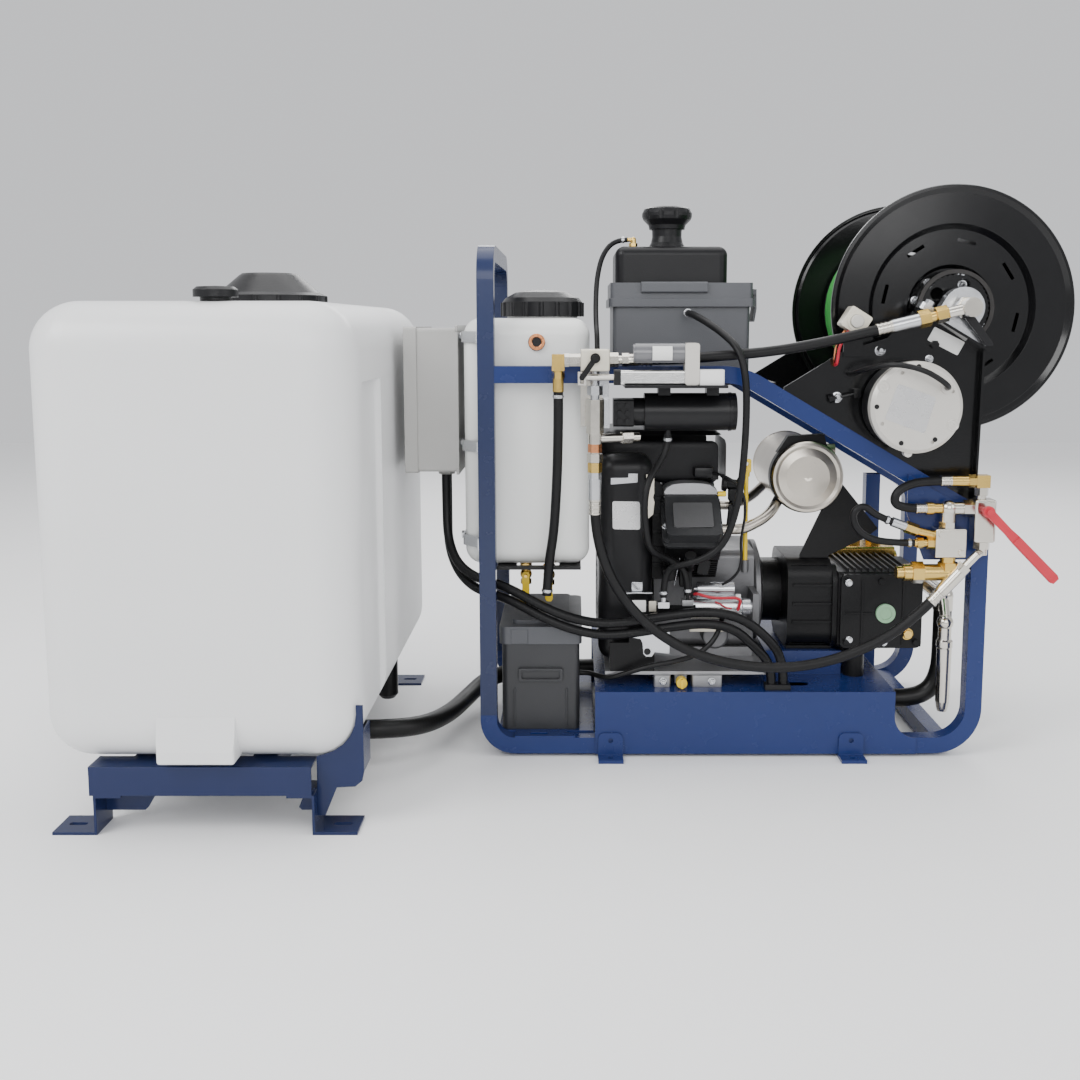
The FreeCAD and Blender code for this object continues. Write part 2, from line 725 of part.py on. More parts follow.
def outlet_guard():
    """The folded guard that rises from the right front leg and follows the tank's rounded corner at a gap."""
    y0 = TANK_FRONT + 40
    y1 = y0 + GUARD_SHEET
    leg_face = BEAM_RIGHT + STAND_SHEET
    right = TANK_RIGHT + 2
    top = TANK_BOTTOM + 114
    corner_x, corner_z = TANK_RIGHT - TANK_EDGE_R, TANK_BOTTOM + TANK_EDGE_R
    inset = TANK_EDGE_R - (y1 - TANK_FRONT)
    clear = math.sqrt(TANK_EDGE_R ** 2 - inset ** 2) + 3
    under_corner = [
        (corner_x + clear * math.cos(math.radians(angle)), corner_z - clear * math.sin(math.radians(angle)))
        for angle in (0, 16, 32, 48, 64, 78)
    ]
    plate = plate_xz(
        [
            (leg_face, 28), (leg_face + 15, 28), (leg_face + 39, 86), (right - 18, 88), (right - 4, 100),
            (right, 118), (right, top), (corner_x + clear, top),
        ] + under_corner + [(leg_face, 150)],
        y0, y1,
    )
    side = box(right - GUARD_SHEET, right, y1, y0 + 74, 118, TANK_BOTTOM + 58)
    return fuse([plate, side])


GUARD_SHEET = 4.0


def sump_boot():
    """A rubber boot over the second outlet, below the tank's right edge."""
    x, y = -826.0, -110.0
    body = fuse([rod(25, (x, y, 96), (x, y, TANK_BOTTOM + 54)), cone(17, 25, (x, y, 86), (x, y, 96))])
    return body.cut(tank_body_outline(-SEAT_GAP))


def sump_elbow():
    low = SUMP_Z - SUMP_R + 1
    drop = rod(SUMP_R - 1, (SUMP_X, SUMP_Y, low + 8), (SUMP_X, SUMP_Y, TANK_BOTTOM + TANK_WALL + 10))
    nut = hexagon(66, (SUMP_X, SUMP_Y, TANK_BOTTOM - 18), (SUMP_X, SUMP_Y, TANK_BOTTOM - SEAT_GAP))
    heel = cone(SUMP_R - 9, SUMP_R - 1, (SUMP_X, SUMP_Y, low), (SUMP_X, SUMP_Y, low + 8))
    spigot = rod(SUMP_R - 6, (SUMP_X, SUMP_Y, SUMP_Z), (SUMP_X + 52, SUMP_Y, SUMP_Z))
    collar = hexagon(50, (SUMP_X + SUMP_R + 3, SUMP_Y, SUMP_Z), (SUMP_X + SUMP_R + 15, SUMP_Y, SUMP_Z))
    return fuse([drop, nut, heel, spigot, collar])


# Battery in its box

BATTERY_LEFT = -535.0
BATTERY_RIGHT = -352.0
BATTERY_FRONT = -240.0
BATTERY_BACK = 70.0
BATTERY_BOX_TOP = 284.0
BATTERY_WALL = 5.0
BATTERY_LID_TOP = 300.0
BATTERY_LID_SKIRT = 42.0


def battery_box():
    bottom = TRAY_TOP
    body = rounded_box(
        BATTERY_LEFT, BATTERY_RIGHT, BATTERY_FRONT, BATTERY_BACK, bottom, BATTERY_BOX_TOP, 14, axes=(2,)
    )
    hollow = rounded_box(
        BATTERY_LEFT + BATTERY_WALL, BATTERY_RIGHT - BATTERY_WALL, BATTERY_FRONT + BATTERY_WALL,
        BATTERY_BACK - BATTERY_WALL, bottom + BATTERY_WALL, BATTERY_BOX_TOP + 1, 9, axes=(2,),
    )
    middle = (BATTERY_LEFT + BATTERY_RIGHT) / 2
    grip = rounded_box(middle - 52, middle + 52, BATTERY_FRONT - 8, BATTERY_FRONT + 3, 168, 200, 5, axes=(1,))
    grip_recess = rounded_box(
        middle - 45, middle + 45, BATTERY_FRONT - 9, BATTERY_FRONT - 1, 174, 194, 4, axes=(1,)
    )
    ribs = [
        box(x - 2, x + 2, BATTERY_FRONT - 3, BATTERY_FRONT + 2, bottom + 10, 150)
        for x in (BATTERY_LEFT + 30, BATTERY_RIGHT - 30)
    ]
    return fuse([body, grip] + ribs).cut(hollow).cut(grip_recess)


def battery_lid():
    gap = MOVING_GAP
    skirt_bottom = BATTERY_LID_TOP - BATTERY_LID_SKIRT
    out = BATTERY_WALL + gap
    lid = rounded_box(
        BATTERY_LEFT - out, BATTERY_RIGHT + out, BATTERY_FRONT - out, BATTERY_BACK + out,
        skirt_bottom, BATTERY_LID_TOP, 16, axes=(2,),
    )
    hollow = rounded_box(
        BATTERY_LEFT - gap, BATTERY_RIGHT + gap, BATTERY_FRONT - gap, BATTERY_BACK + gap,
        skirt_bottom - 1, BATTERY_BOX_TOP + SEAT_GAP, 14, axes=(2,),
    )
    crown = rounded_box(
        BATTERY_LEFT + 24, BATTERY_RIGHT - 24, BATTERY_FRONT + 20, BATTERY_BACK - 20,
        BATTERY_LID_TOP - 2, BATTERY_LID_TOP + 10, 12, axes=(2,),
    )
    strap_seat = box(
        BATTERY_LEFT + 22, BATTERY_LEFT + 62, BATTERY_FRONT - out - 1, BATTERY_FRONT - out + 2.5,
        skirt_bottom - 1, BATTERY_LID_TOP - 6,
    )
    return fuse([lid, crown]).cut(hollow).cut(strap_seat)


def battery():
    block = box(
        BATTERY_LEFT + 12, BATTERY_RIGHT - 12, BATTERY_FRONT + 16, BATTERY_BACK - 16,
        TRAY_TOP + BATTERY_WALL, 248,
    )
    posts = [
        rod(9, (x, BATTERY_FRONT + 50, 248), (x, BATTERY_FRONT + 50, 266))
        for x in (BATTERY_LEFT + 45, BATTERY_RIGHT - 45)
    ]
    return fuse([block] + posts)


# Antifreeze tank

CHEM_LEFT = -620.0
CHEM_RIGHT = -329.0
CHEM_INSET = 52.5
CHEM_FRONT = -SKID_HALF_WIDTH + CHEM_INSET
CHEM_BACK = 65.0
CHEM_BOTTOM = 443.0
CHEM_TOP = 1018.0
CHEM_WALL = 5.0
CHEM_EDGE_R = 40.0
CHEM_CAP_X = -441.0
CHEM_CAP_Y = -85.0
CHEM_CAP_R = 100.0
CHEM_CAP_RIBS = 16
CHEM_NECK_R = 84.0
CHEM_NECK_H = 28.0
CHEM_PORT_X = -450.0
CHEM_PORT_Z = 963.0
FRONT_DRAIN = (-479.0, -190.0)
REAR_DRAIN = (-424.0, -200.0)


def chem_tank():
    outer = rounded_box(
        CHEM_LEFT, CHEM_RIGHT, CHEM_FRONT, CHEM_BACK, CHEM_BOTTOM, CHEM_TOP, CHEM_EDGE_R
    )
    inner = rounded_box(
        CHEM_LEFT + CHEM_WALL, CHEM_RIGHT - CHEM_WALL, CHEM_FRONT + CHEM_WALL, CHEM_BACK - CHEM_WALL,
        CHEM_BOTTOM + CHEM_WALL, CHEM_TOP - CHEM_WALL, CHEM_EDGE_R - CHEM_WALL,
    )
    top = CHEM_TOP + CHEM_NECK_H
    neck = rod(CHEM_NECK_R, (CHEM_CAP_X, CHEM_CAP_Y, CHEM_TOP - CHEM_WALL), (CHEM_CAP_X, CHEM_CAP_Y, top))
    mouth = rod(
        CHEM_NECK_R - CHEM_WALL, (CHEM_CAP_X, CHEM_CAP_Y, CHEM_TOP - 3 * CHEM_WALL),
        (CHEM_CAP_X, CHEM_CAP_Y, top + 1),
    )
    port = rod(
        19, (CHEM_PORT_X, CHEM_FRONT - 5, CHEM_PORT_Z), (CHEM_PORT_X, CHEM_FRONT + 1, CHEM_PORT_Z)
    )
    bore = rod(6, (CHEM_PORT_X, CHEM_FRONT - 6, CHEM_PORT_Z), (CHEM_PORT_X, CHEM_FRONT + 4, CHEM_PORT_Z))
    taps = [
        rod(DRAIN_THREAD_R, (x, y, CHEM_BOTTOM - 1), (x, y, CHEM_BOTTOM + CHEM_WALL + 1))
        for x, y in (FRONT_DRAIN, REAR_DRAIN)
    ]
    tank = fuse([outer, neck, port]).cut(inner).cut(mouth).cut(bore)
    for tap in taps:
        tank = tank.cut(tap)
    return tank


DRAIN_THREAD_R = 10.0


def chem_tank_cap():
    """A ribbed screw cap with a domed top."""
    under = CHEM_TOP + 4
    seat = CHEM_TOP + CHEM_NECK_H + SEAT_GAP
    inner = CHEM_NECK_R + 1.2
    profile = [
        (0, seat), (inner, seat), (inner, under), (CHEM_CAP_R - 4, under), (CHEM_CAP_R - 4, under + 34),
        (CHEM_CAP_R - 12, under + 44), (CHEM_CAP_R - 36, under + 57), (CHEM_CAP_R - 70, under + 63),
        (0, under + 64),
    ]
    cap = revolve_z(profile, CHEM_CAP_X, CHEM_CAP_Y)
    ribs = []
    for index in range(CHEM_CAP_RIBS):
        angle = math.radians(360 / CHEM_CAP_RIBS * index)
        x = CHEM_CAP_X + (CHEM_CAP_R - 6) * math.cos(angle)
        y = CHEM_CAP_Y + (CHEM_CAP_R - 6) * math.sin(angle)
        ribs.append(rod(6, (x, y, under), (x, y, under + 33)))
    return fuse([cap] + ribs)


def chem_tank_straps():
    """Three flat bands round the tank's outer side, from post to post, and the shelf that the tank stands on."""
    post_face = -SKID_HALF_LENGTH
    gap = 2.0
    half = 1.5
    outside = CHEM_LEFT - gap - half
    path = [
        (post_face - half, -SKID_HALF_WIDTH), (post_face - half, -RAIL_Y + 16), (outside, CHEM_FRONT + 20),
        (outside, -CHEM_FRONT - 20), (post_face - half, RAIL_Y - 16), (post_face - half, SKID_HALF_WIDTH),
    ]
    bands = []
    for z in CHEM_BAND_HEIGHTS:
        band = bent_bar(path, [12, 12, 12, 12], half, (0, 0, 25), lambda u, v: (u, v, z - 12.5))
        heads = [
            hexagon(16, (outside - half, y, z), (outside - half - 9, y, z)) for y in BOX_BOLT_YS
        ]
        bands.append(fuse([band] + heads))
    shelf = box(
        -POST_X + TUBE / 2, CHEM_RIGHT - 20, -RAIL_Y + TUBE / 2, RAIL_Y - TUBE / 2, CHEM_BOTTOM - 6,
        CHEM_BOTTOM - SEAT_GAP / 3,
    )
    lip = box(
        -POST_X + TUBE / 2, CHEM_RIGHT - 20, RAIL_Y - TUBE / 2 - 5, RAIL_Y - TUBE / 2, CHEM_BOTTOM - 60,
        CHEM_BOTTOM - 6,
    )
    window = box(-500, -400, CHEM_FRONT + 10, CHEM_FRONT + 70, CHEM_BOTTOM - 8, CHEM_BOTTOM + 2)
    return group(bands + [fuse([shelf, lip]).cut(window)])


CHEM_BAND_HEIGHTS = (975.0, 725.0, 503.0)
BOX_BOLT_YS = (-150.0, 50.0)


def drain_valve_body(x, y, length):
    """A small brass ball valve under the antifreeze tank, its stem towards the operator."""
    top = CHEM_BOTTOM + CHEM_WALL
    z = CHEM_BOTTOM - DRAIN_VALVE_DROP
    thread = rod(DRAIN_THREAD_R - RUNNING_FIT, (x, y, z), (x, y, top))
    upper_hex = hexagon(24, (x, y, z + 14), (x, y, z + 26))
    ball_case = Part.makeSphere(14, vec(x, y, z))
    lower_hex = hexagon(22, (x, y, z - 24), (x, y, z - 12))
    tail = rod(8, (x, y, z - length), (x, y, z))
    boss = rod(9, (x, y, z), (x, y - 17, z))
    stem = rod(4, (x, y, z), (x, y - 30, z))
    return fuse([thread, upper_hex, ball_case, lower_hex, tail, boss, stem])


DRAIN_VALVE_DROP = 28.0


def drain_valves():
    return group([drain_valve_body(*FRONT_DRAIN, 52.0), drain_valve_body(*REAR_DRAIN, 44.0)])


def drain_lever(x, y):
    """A stamped yellow lever that hangs beside its valve when open."""
    z = CHEM_BOTTOM - DRAIN_VALVE_DROP
    y0 = y - 17 - MOVING_GAP
    eye = rod(9, (x, y0, z), (x, y0 - 3, z))
    arm = plate_xz(
        [(x - 8, z), (x + 8, z), (x + 9, z - 54), (x + 5, z - 60), (x - 5, z - 60), (x - 9, z - 54)], y0 - 3, y0
    )
    hole = rod(4 + MOVING_GAP / 2, (x, y0 + 1, z), (x, y0 - 4, z))
    return fuse([eye, arm]).cut(hole)


# Control box

CONTROL_LEFT = -760.0
CONTROL_SEAM = -730.0
CONTROL_RIGHT = -634.0
CONTROL_FRONT = -200.0
CONTROL_BACK = 100.0
CONTROL_BOTTOM = 660.0
CONTROL_TOP = 995.0
CONTROL_WALL = 3.0


def control_box():
    body = rounded_box(
        CONTROL_SEAM, CONTROL_RIGHT, CONTROL_FRONT, CONTROL_BACK, CONTROL_BOTTOM, CONTROL_TOP, 8, axes=(0,)
    )
    hollow = box(
        CONTROL_SEAM - 1, CONTROL_RIGHT - CONTROL_WALL, CONTROL_FRONT + CONTROL_WALL,
        CONTROL_BACK - CONTROL_WALL,
        CONTROL_BOTTOM + CONTROL_WALL, CONTROL_TOP - CONTROL_WALL,
    )
    rims = [
        rounded_box(CONTROL_RIGHT - 6, CONTROL_RIGHT, CONTROL_FRONT - 4, CONTROL_BACK + 4, z0, z1, 3, axes=(0,))
        for z0, z1 in ((CONTROL_BOTTOM - 6, CONTROL_BOTTOM + 8), (CONTROL_TOP - 8, CONTROL_TOP + 6))
    ]
    gland = hexagon(
        34, (LOOM_EXIT[0], LOOM_EXIT[1], CONTROL_BOTTOM + 1), (LOOM_EXIT[0], LOOM_EXIT[1], CONTROL_BOTTOM - 14)
    )
    studs = [
        rod(5, (CONTROL_RIGHT - 1, y, z), (STUD_END_X, y, z))
        for z in CHEM_BAND_HEIGHTS[:2] for y in BOX_BOLT_YS
    ]
    return fuse([body.cut(hollow), gland] + rims + studs)


LOOM_EXIT = (-672.0, -120.0)
STUD_END_X = CHEM_LEFT - 14


def control_box_lid():
    lid = rounded_box(
        CONTROL_LEFT, CONTROL_SEAM, CONTROL_FRONT - 3, CONTROL_BACK + 3, CONTROL_BOTTOM - 3, CONTROL_TOP + 3, 8,
        axes=(0,),
    )
    hollow = box(
        CONTROL_LEFT + CONTROL_WALL, CONTROL_SEAM + 1, CONTROL_FRONT + 2, CONTROL_BACK - 2, CONTROL_BOTTOM + 2,
        CONTROL_TOP - 2,
    )
    screws = [
        rod(5, (CONTROL_LEFT + 1, y, z), (CONTROL_LEFT - 3, y, z))
        for y in (CONTROL_FRONT + 16, CONTROL_BACK - 16) for z in (CONTROL_BOTTOM + 16, CONTROL_TOP - 16)
    ]
    return fuse([lid.cut(hollow)] + screws)


# Fuel tank in its case

CASE_LEFT = -272.0
CASE_RIGHT = 56.0
CASE_FRONT = -100.0
CASE_BACK = 140.0
CASE_RIM_Z = 1045.0
CASE_RIM_HEIGHT = 20.0
CASE_TOP = CASE_RIM_Z + 57.0
CASE_WALL = 4.0
FUEL_LEFT = -266.0
FUEL_RIGHT = 4.0
FUEL_FRONT = -84.0
FUEL_BACK = 124.0
FUEL_TOP = 1190.0
FUEL_WALL = 4.0
FUEL_CAP_X = -137.0
FUEL_CAP_Y = 0.0
FUEL_NECK_R = 37.0
FUEL_NECK_TOP = 1246.0
FUEL_CAP_R = 61.0
FUEL_CAP_TOP = 1287.0


def fuel_case():
    """The open-topped case and its stepped lid, which the fuel tank rises through."""
    body = rounded_box(CASE_LEFT, CASE_RIGHT, CASE_FRONT, CASE_BACK, DECK_TOP, CASE_RIM_Z, 10, axes=(2,))
    body = body.cut(rounded_box(
        CASE_LEFT + CASE_WALL, CASE_RIGHT - CASE_WALL, CASE_FRONT + CASE_WALL, CASE_BACK - CASE_WALL,
        DECK_TOP + CASE_WALL, CASE_RIM_Z + 1, 6, axes=(2,),
    ))
    reach = 10
    rim = rounded_box(
        CASE_LEFT - reach, CASE_RIGHT + reach, CASE_FRONT - reach, CASE_BACK + reach, CASE_RIM_Z,
        CASE_RIM_Z + CASE_RIM_HEIGHT,
        10, axes=(2,),
    )
    cover = rounded_box(
        CASE_LEFT - 6, CASE_RIGHT + 6, CASE_FRONT - 6, CASE_BACK + 6, CASE_RIM_Z + CASE_RIM_HEIGHT, CASE_TOP,
        10, axes=(2,)
    )
    lid_hollow = rounded_box(
        CASE_LEFT, CASE_RIGHT, CASE_FRONT, CASE_BACK, CASE_RIM_Z - 1, CASE_TOP - CASE_WALL, 8, axes=(2,)
    )
    mouth = rounded_box(
        FUEL_LEFT - 1, FUEL_RIGHT + 1, FUEL_FRONT - 1, FUEL_BACK + 1, CASE_TOP - 10, CASE_TOP + 10, 24,
        axes=(2,)
    )
    clip = rounded_box(-205, -48, CASE_FRONT - 16, CASE_FRONT - 4, CASE_TOP - 24, CASE_TOP + 2, 4, axes=(0,))
    lid = fuse([rim, cover, clip]).cut(lid_hollow).cut(mouth)
    ear_gap = MOVING_GAP
    ears = []
    for y0, y1 in ((LATCH_Y0 - 6 - ear_gap, LATCH_Y0 - ear_gap), (LATCH_Y1 + ear_gap, LATCH_Y1 + 6 + ear_gap)):
        ears.append(box(CASE_RIGHT + 5, LATCH_X + 7, y0, y1, LATCH_Z - 7, LATCH_Z + 7))
    pin = rod(3, (LATCH_X, LATCH_Y0 - 6, LATCH_Z), (LATCH_X, LATCH_Y1 + 6, LATCH_Z))
    return group([fuse([body]), fuse([lid, pin] + ears)])


LATCH_X = CASE_RIGHT + 20.0
LATCH_Z = CASE_TOP - 20.0
LATCH_Y0 = -14.0
LATCH_Y1 = 46.0


def case_latch():
    """A sprung over-centre plate that hangs on its pin at the lid and hooks over the case rim."""
    hub = rod(8, (LATCH_X, LATCH_Y0, LATCH_Z), (LATCH_X, LATCH_Y1, LATCH_Z))
    blade = plate_xz(
        [(LATCH_X + 1, LATCH_Z), (LATCH_X + 8, LATCH_Z), (LATCH_X + 9, LATCH_Z - 40), (LATCH_X + 4, LATCH_Z - 72),
         (LATCH_X - 2, LATCH_Z - 72), (LATCH_X + 3, LATCH_Z - 40)],
        LATCH_Y0, LATCH_Y1,
    )
    bore = rod(3 + MOVING_GAP, (LATCH_X, LATCH_Y0 - 1, LATCH_Z), (LATCH_X, LATCH_Y1 + 1, LATCH_Z))
    return fuse([hub, blade]).cut(bore)


def fuel_tank():
    floor = DECK_TOP + CASE_WALL + 2
    outer = rounded_box(FUEL_LEFT, FUEL_RIGHT, FUEL_FRONT, FUEL_BACK, floor, FUEL_TOP, 22)
    inner = rounded_box(
        FUEL_LEFT + FUEL_WALL, FUEL_RIGHT - FUEL_WALL, FUEL_FRONT + FUEL_WALL, FUEL_BACK - FUEL_WALL,
        floor + FUEL_WALL, FUEL_TOP - FUEL_WALL, 18,
    )
    neck_profile = [
        (0, FUEL_TOP - FUEL_WALL), (FUEL_NECK_R + 9, FUEL_TOP - FUEL_WALL), (FUEL_NECK_R + 9, FUEL_TOP),
        (FUEL_NECK_R + 2, FUEL_TOP + 12), (FUEL_NECK_R - 1, FUEL_TOP + 26), (FUEL_NECK_R, FUEL_NECK_TOP),
        (0, FUEL_NECK_TOP),
    ]
    neck = revolve_z(neck_profile, FUEL_CAP_X, FUEL_CAP_Y)
    mouth = rod(
        FUEL_NECK_R - 7, (FUEL_CAP_X, FUEL_CAP_Y, FUEL_TOP - 20), (FUEL_CAP_X, FUEL_CAP_Y, FUEL_NECK_TOP + 1)
    )
    barb_x, barb_y, barb_z = VENT_BARB[0] + 14, VENT_BARB[1], VENT_BARB[2]
    barb = fuse([
        rod(7, (barb_x, barb_y, FUEL_TOP - 2), (barb_x, barb_y, barb_z)),
        Part.makeSphere(7, vec(barb_x, barb_y, barb_z)),
        rod(5, (barb_x, barb_y, barb_z), VENT_BARB),
    ])
    nut = hexagon(18, (barb_x, barb_y, FUEL_TOP), (barb_x, barb_y, FUEL_TOP + 8))
    foot = [
        box(x, x + 20, FUEL_FRONT + 20, FUEL_BACK - 20, DECK_TOP + CASE_WALL, floor + 1) for x in (-240, -40)
    ]
    return group([fuse([outer, neck] + foot).cut(inner).cut(mouth), fuse([barb, nut]).cut(outer)])


VENT_BARB = (-236.0, -50.0, 1206.0)


def fuel_cap():
    """A fluted mushroom cap whose skirt reaches down over the neck."""
    top = FUEL_CAP_TOP
    inner = FUEL_NECK_R + 1.2
    seat = FUEL_NECK_TOP + SEAT_GAP
    profile = [
        (0, seat), (inner, seat), (inner, FUEL_NECK_TOP - 12), (inner + 5, FUEL_NECK_TOP - 12),
        (inner + 7, FUEL_NECK_TOP - 2), (FUEL_CAP_R - 3, FUEL_NECK_TOP + 11), (FUEL_CAP_R, FUEL_NECK_TOP + 19),
        (FUEL_CAP_R, top - 14), (FUEL_CAP_R - 5, top - 4), (FUEL_CAP_R - 14, top), (0, top),
    ]
    cap = revolve_z(profile, FUEL_CAP_X, FUEL_CAP_Y)
    flutes = []
    for index in range(10):
        angle = math.radians(360 / 10 * index)
        x = FUEL_CAP_X + (FUEL_CAP_R + 5) * math.cos(angle)
        y = FUEL_CAP_Y + (FUEL_CAP_R + 5) * math.sin(angle)
        flutes.append(rod(8, (x, y, FUEL_NECK_TOP), (x, y, top + 1)))
    for flute in flutes:
        cap = cap.cut(flute)
    return cap


# Engine

BLOCK_LEFT = -170.0
BLOCK_RIGHT = 75.0
BLOCK_HALF = 115.0
BLOCK_BOTTOM = 215.0
BLOCK_TOP = 455.0
BLOCK_WALL = 9.0
COVER_R = 126.0
COVER_RIGHT = 100.0
CYLINDER_XS = (-88.0, -62.0)
CYLINDER_TILT = 45.0
BLOWER_LEFT = -307.0
BLOWER_RIGHT = -178.0
BLOWER_WALL = 4.0
FLYWHEEL_R = 123.0
FLYWHEEL_GAP = 8.0
INTAKE_R = 104.0
DIPSTICK_X = 50.0
DIPSTICK_Y = -128.0
DIPSTICK_TUBE_TOP = 640.0
DIPSTICK_TUBE_R = 5.5
DIPSTICK_R = 2.8
STARTER_Y = -172.0
STARTER_Z = 330.0


def shaft_bore(x0, x1, radius, y=CRANK_Y, z=CRANK_Z):
    return rod(radius, (x0, y, z), (x1, y, z))


def engine_block():
    """The aluminium crankcase, its shaft cover, the starter ear and the dipstick tube's boss."""
    case = rounded_box(BLOCK_LEFT, BLOCK_RIGHT, -BLOCK_HALF, BLOCK_HALF, BLOCK_BOTTOM, BLOCK_TOP, 22, axes=(0,))
    hollow = box(
        BLOCK_LEFT + BLOCK_WALL, BLOCK_RIGHT - BLOCK_WALL, -BLOCK_HALF + BLOCK_WALL, BLOCK_HALF - BLOCK_WALL,
        BLOCK_BOTTOM + BLOCK_WALL, BLOCK_TOP - BLOCK_WALL,
    )
    cover = revolve_x(
        [(0, BLOCK_RIGHT), (COVER_R - 6, BLOCK_RIGHT), (COVER_R, BLOCK_RIGHT + 6), (COVER_R, COVER_RIGHT - 8),
         (COVER_R - 22, COVER_RIGHT), (0, COVER_RIGHT)],
        CRANK_Y, CRANK_Z,
    )
    cover = cover.cut(box(BLOCK_RIGHT - 1, COVER_RIGHT + 1, -200, 200, 0, BLOCK_BOTTOM))
    ribs = []
    for index in range(8):
        angle = math.radians(360 / 8 * index + 22.5)
        dy, dz = math.cos(angle), math.sin(angle)
        ribs.append(rod(
            5, (COVER_RIGHT - 6, dy * 92, CRANK_Z + dz * 92), (COVER_RIGHT + 2, dy * 92, CRANK_Z + dz * 92)
        ))
    ear = box(BLOCK_RIGHT - 15, BLOCK_RIGHT, STARTER_Y - 30, -BLOCK_HALF + 1, STARTER_Z - 38, STARTER_Z + 38)
    boss = rod(
        11, (DIPSTICK_X, -BLOCK_HALF + 1, 418), (DIPSTICK_X, DIPSTICK_Y, 418)
    )
    elbow = rod(9, (DIPSTICK_X, DIPSTICK_Y, 406), (DIPSTICK_X, DIPSTICK_Y, DIPSTICK_TUBE_FOOT))
    well = rod(
        DIPSTICK_R + 0.8, (DIPSTICK_X, DIPSTICK_Y, 412), (DIPSTICK_X, DIPSTICK_Y, DIPSTICK_TUBE_FOOT + 1)
    )
    filter_can = rod(32, (-25, -BLOCK_HALF + 1, 258), (-25, -BLOCK_HALF - 62, 258))
    filter_can = filter_can.makeFillet(8, [
        edge for edge in filter_can.Edges if edge.CenterOfMass.y < -BLOCK_HALF - 50 and len(edge.Vertexes) == 1
    ][:1])
    block = fuse([case, cover, ear, boss, elbow, filter_can] + ribs).cut(hollow).cut(well)
    return block.cut(shaft_bore(BLOCK_LEFT - 1, COVER_RIGHT + 5, SHAFT_R + RUNNING_FIT))


DIPSTICK_TUBE_FOOT = 436.0


def dipstick_tube():
    """The yellow filler tube, with the clip that steadies it."""
    return pipe(
        DIPSTICK_TUBE_R, DIPSTICK_R + 0.8, (DIPSTICK_X, DIPSTICK_Y, DIPSTICK_TUBE_FOOT),
        (DIPSTICK_X, DIPSTICK_Y, DIPSTICK_TUBE_TOP),
    )


def dipstick():
    top = DIPSTICK_TUBE_TOP + SEAT_GAP
    blade = rod(DIPSTICK_R, (DIPSTICK_X, DIPSTICK_Y, 420), (DIPSTICK_X, DIPSTICK_Y, top + 6))
    stopper = rod(8, (DIPSTICK_X, DIPSTICK_Y, top), (DIPSTICK_X, DIPSTICK_Y, top + 12))
    grip = rounded_box(
        DIPSTICK_X - 11, DIPSTICK_X + 11, DIPSTICK_Y - 4, DIPSTICK_Y + 4, top + 10, top + 42, 3.5, axes=(1,)
    )
    hole = rod(5, (DIPSTICK_X, DIPSTICK_Y - 6, top + 30), (DIPSTICK_X, DIPSTICK_Y + 6, top + 30))
    return fuse([blade, stopper, grip]).cut(hole)


def tilt(shape, x, angle):
    """Places a cylinder built on a vertical axis at its angle about the crankshaft."""
    shape.Placement = FreeCAD.Placement(vec(x, CRANK_Y, CRANK_Z), FreeCAD.Rotation(vec(1, 0, 0), angle))
    return shape


BARREL_FOOT = 142.0
FIN_PITCH = 9.0
FIN_COUNT = 8
HEAD_FOOT = 232.0
HEAD_TOP = 286.0
VALVE_COVER_TOP = 326.0


def cylinder_pair():
    """Two finned cylinders with their heads, each on the crankcase corner that faces it."""
    pieces = []
    for x, angle in zip(CYLINDER_XS, (CYLINDER_TILT, -CYLINDER_TILT)):
        core = rod(50, (0, 0, BARREL_FOOT), (0, 0, HEAD_FOOT))
        fins = [
            box(-64, 64, -64, 64, BARREL_FOOT + 12 + FIN_PITCH * index, BARREL_FOOT + 15 + FIN_PITCH * index)
            for index in range(FIN_COUNT)
        ]
        head = box(-65, 65, -66, 66, HEAD_FOOT, HEAD_TOP)
        block = box(
            BLOCK_LEFT - x, BLOCK_RIGHT - x, -BLOCK_HALF, BLOCK_HALF, BLOCK_BOTTOM - CRANK_Z, BLOCK_TOP - CRANK_Z
        )
        whole = tilt(fuse([core, head] + fins), x, angle)
        block.translate(vec(x, CRANK_Y, CRANK_Z))
        pieces.append(whole.cut(block))
    return group(pieces)


def valve_covers():
    """The pressed covers over the valves, each with a raised panel and two cap bolts."""
    pieces = []
    for x, angle in zip(CYLINDER_XS, (CYLINDER_TILT, -CYLINDER_TILT)):
        flange = rounded_box(-71, 71, -70, 70, HEAD_TOP, HEAD_TOP + 8, 14, axes=(2,))
        dome = rounded_box(-64, 64, -60, 60, HEAD_TOP + 4, VALVE_COVER_TOP, 14, axes=(2,))
        panel = rounded_box(-46, 46, -40, 30, VALVE_COVER_TOP - 1, VALVE_COVER_TOP + 4, 6, axes=(2,))
        bolts = [
            hexagon(13, (bx, by, HEAD_TOP + 7), (bx, by, HEAD_TOP + 17)) for bx in (-62, 62) for by in (-58, 58)
        ]
        pieces.append(tilt(fuse([flange, dome, panel] + bolts), x, angle))
    return group(pieces)


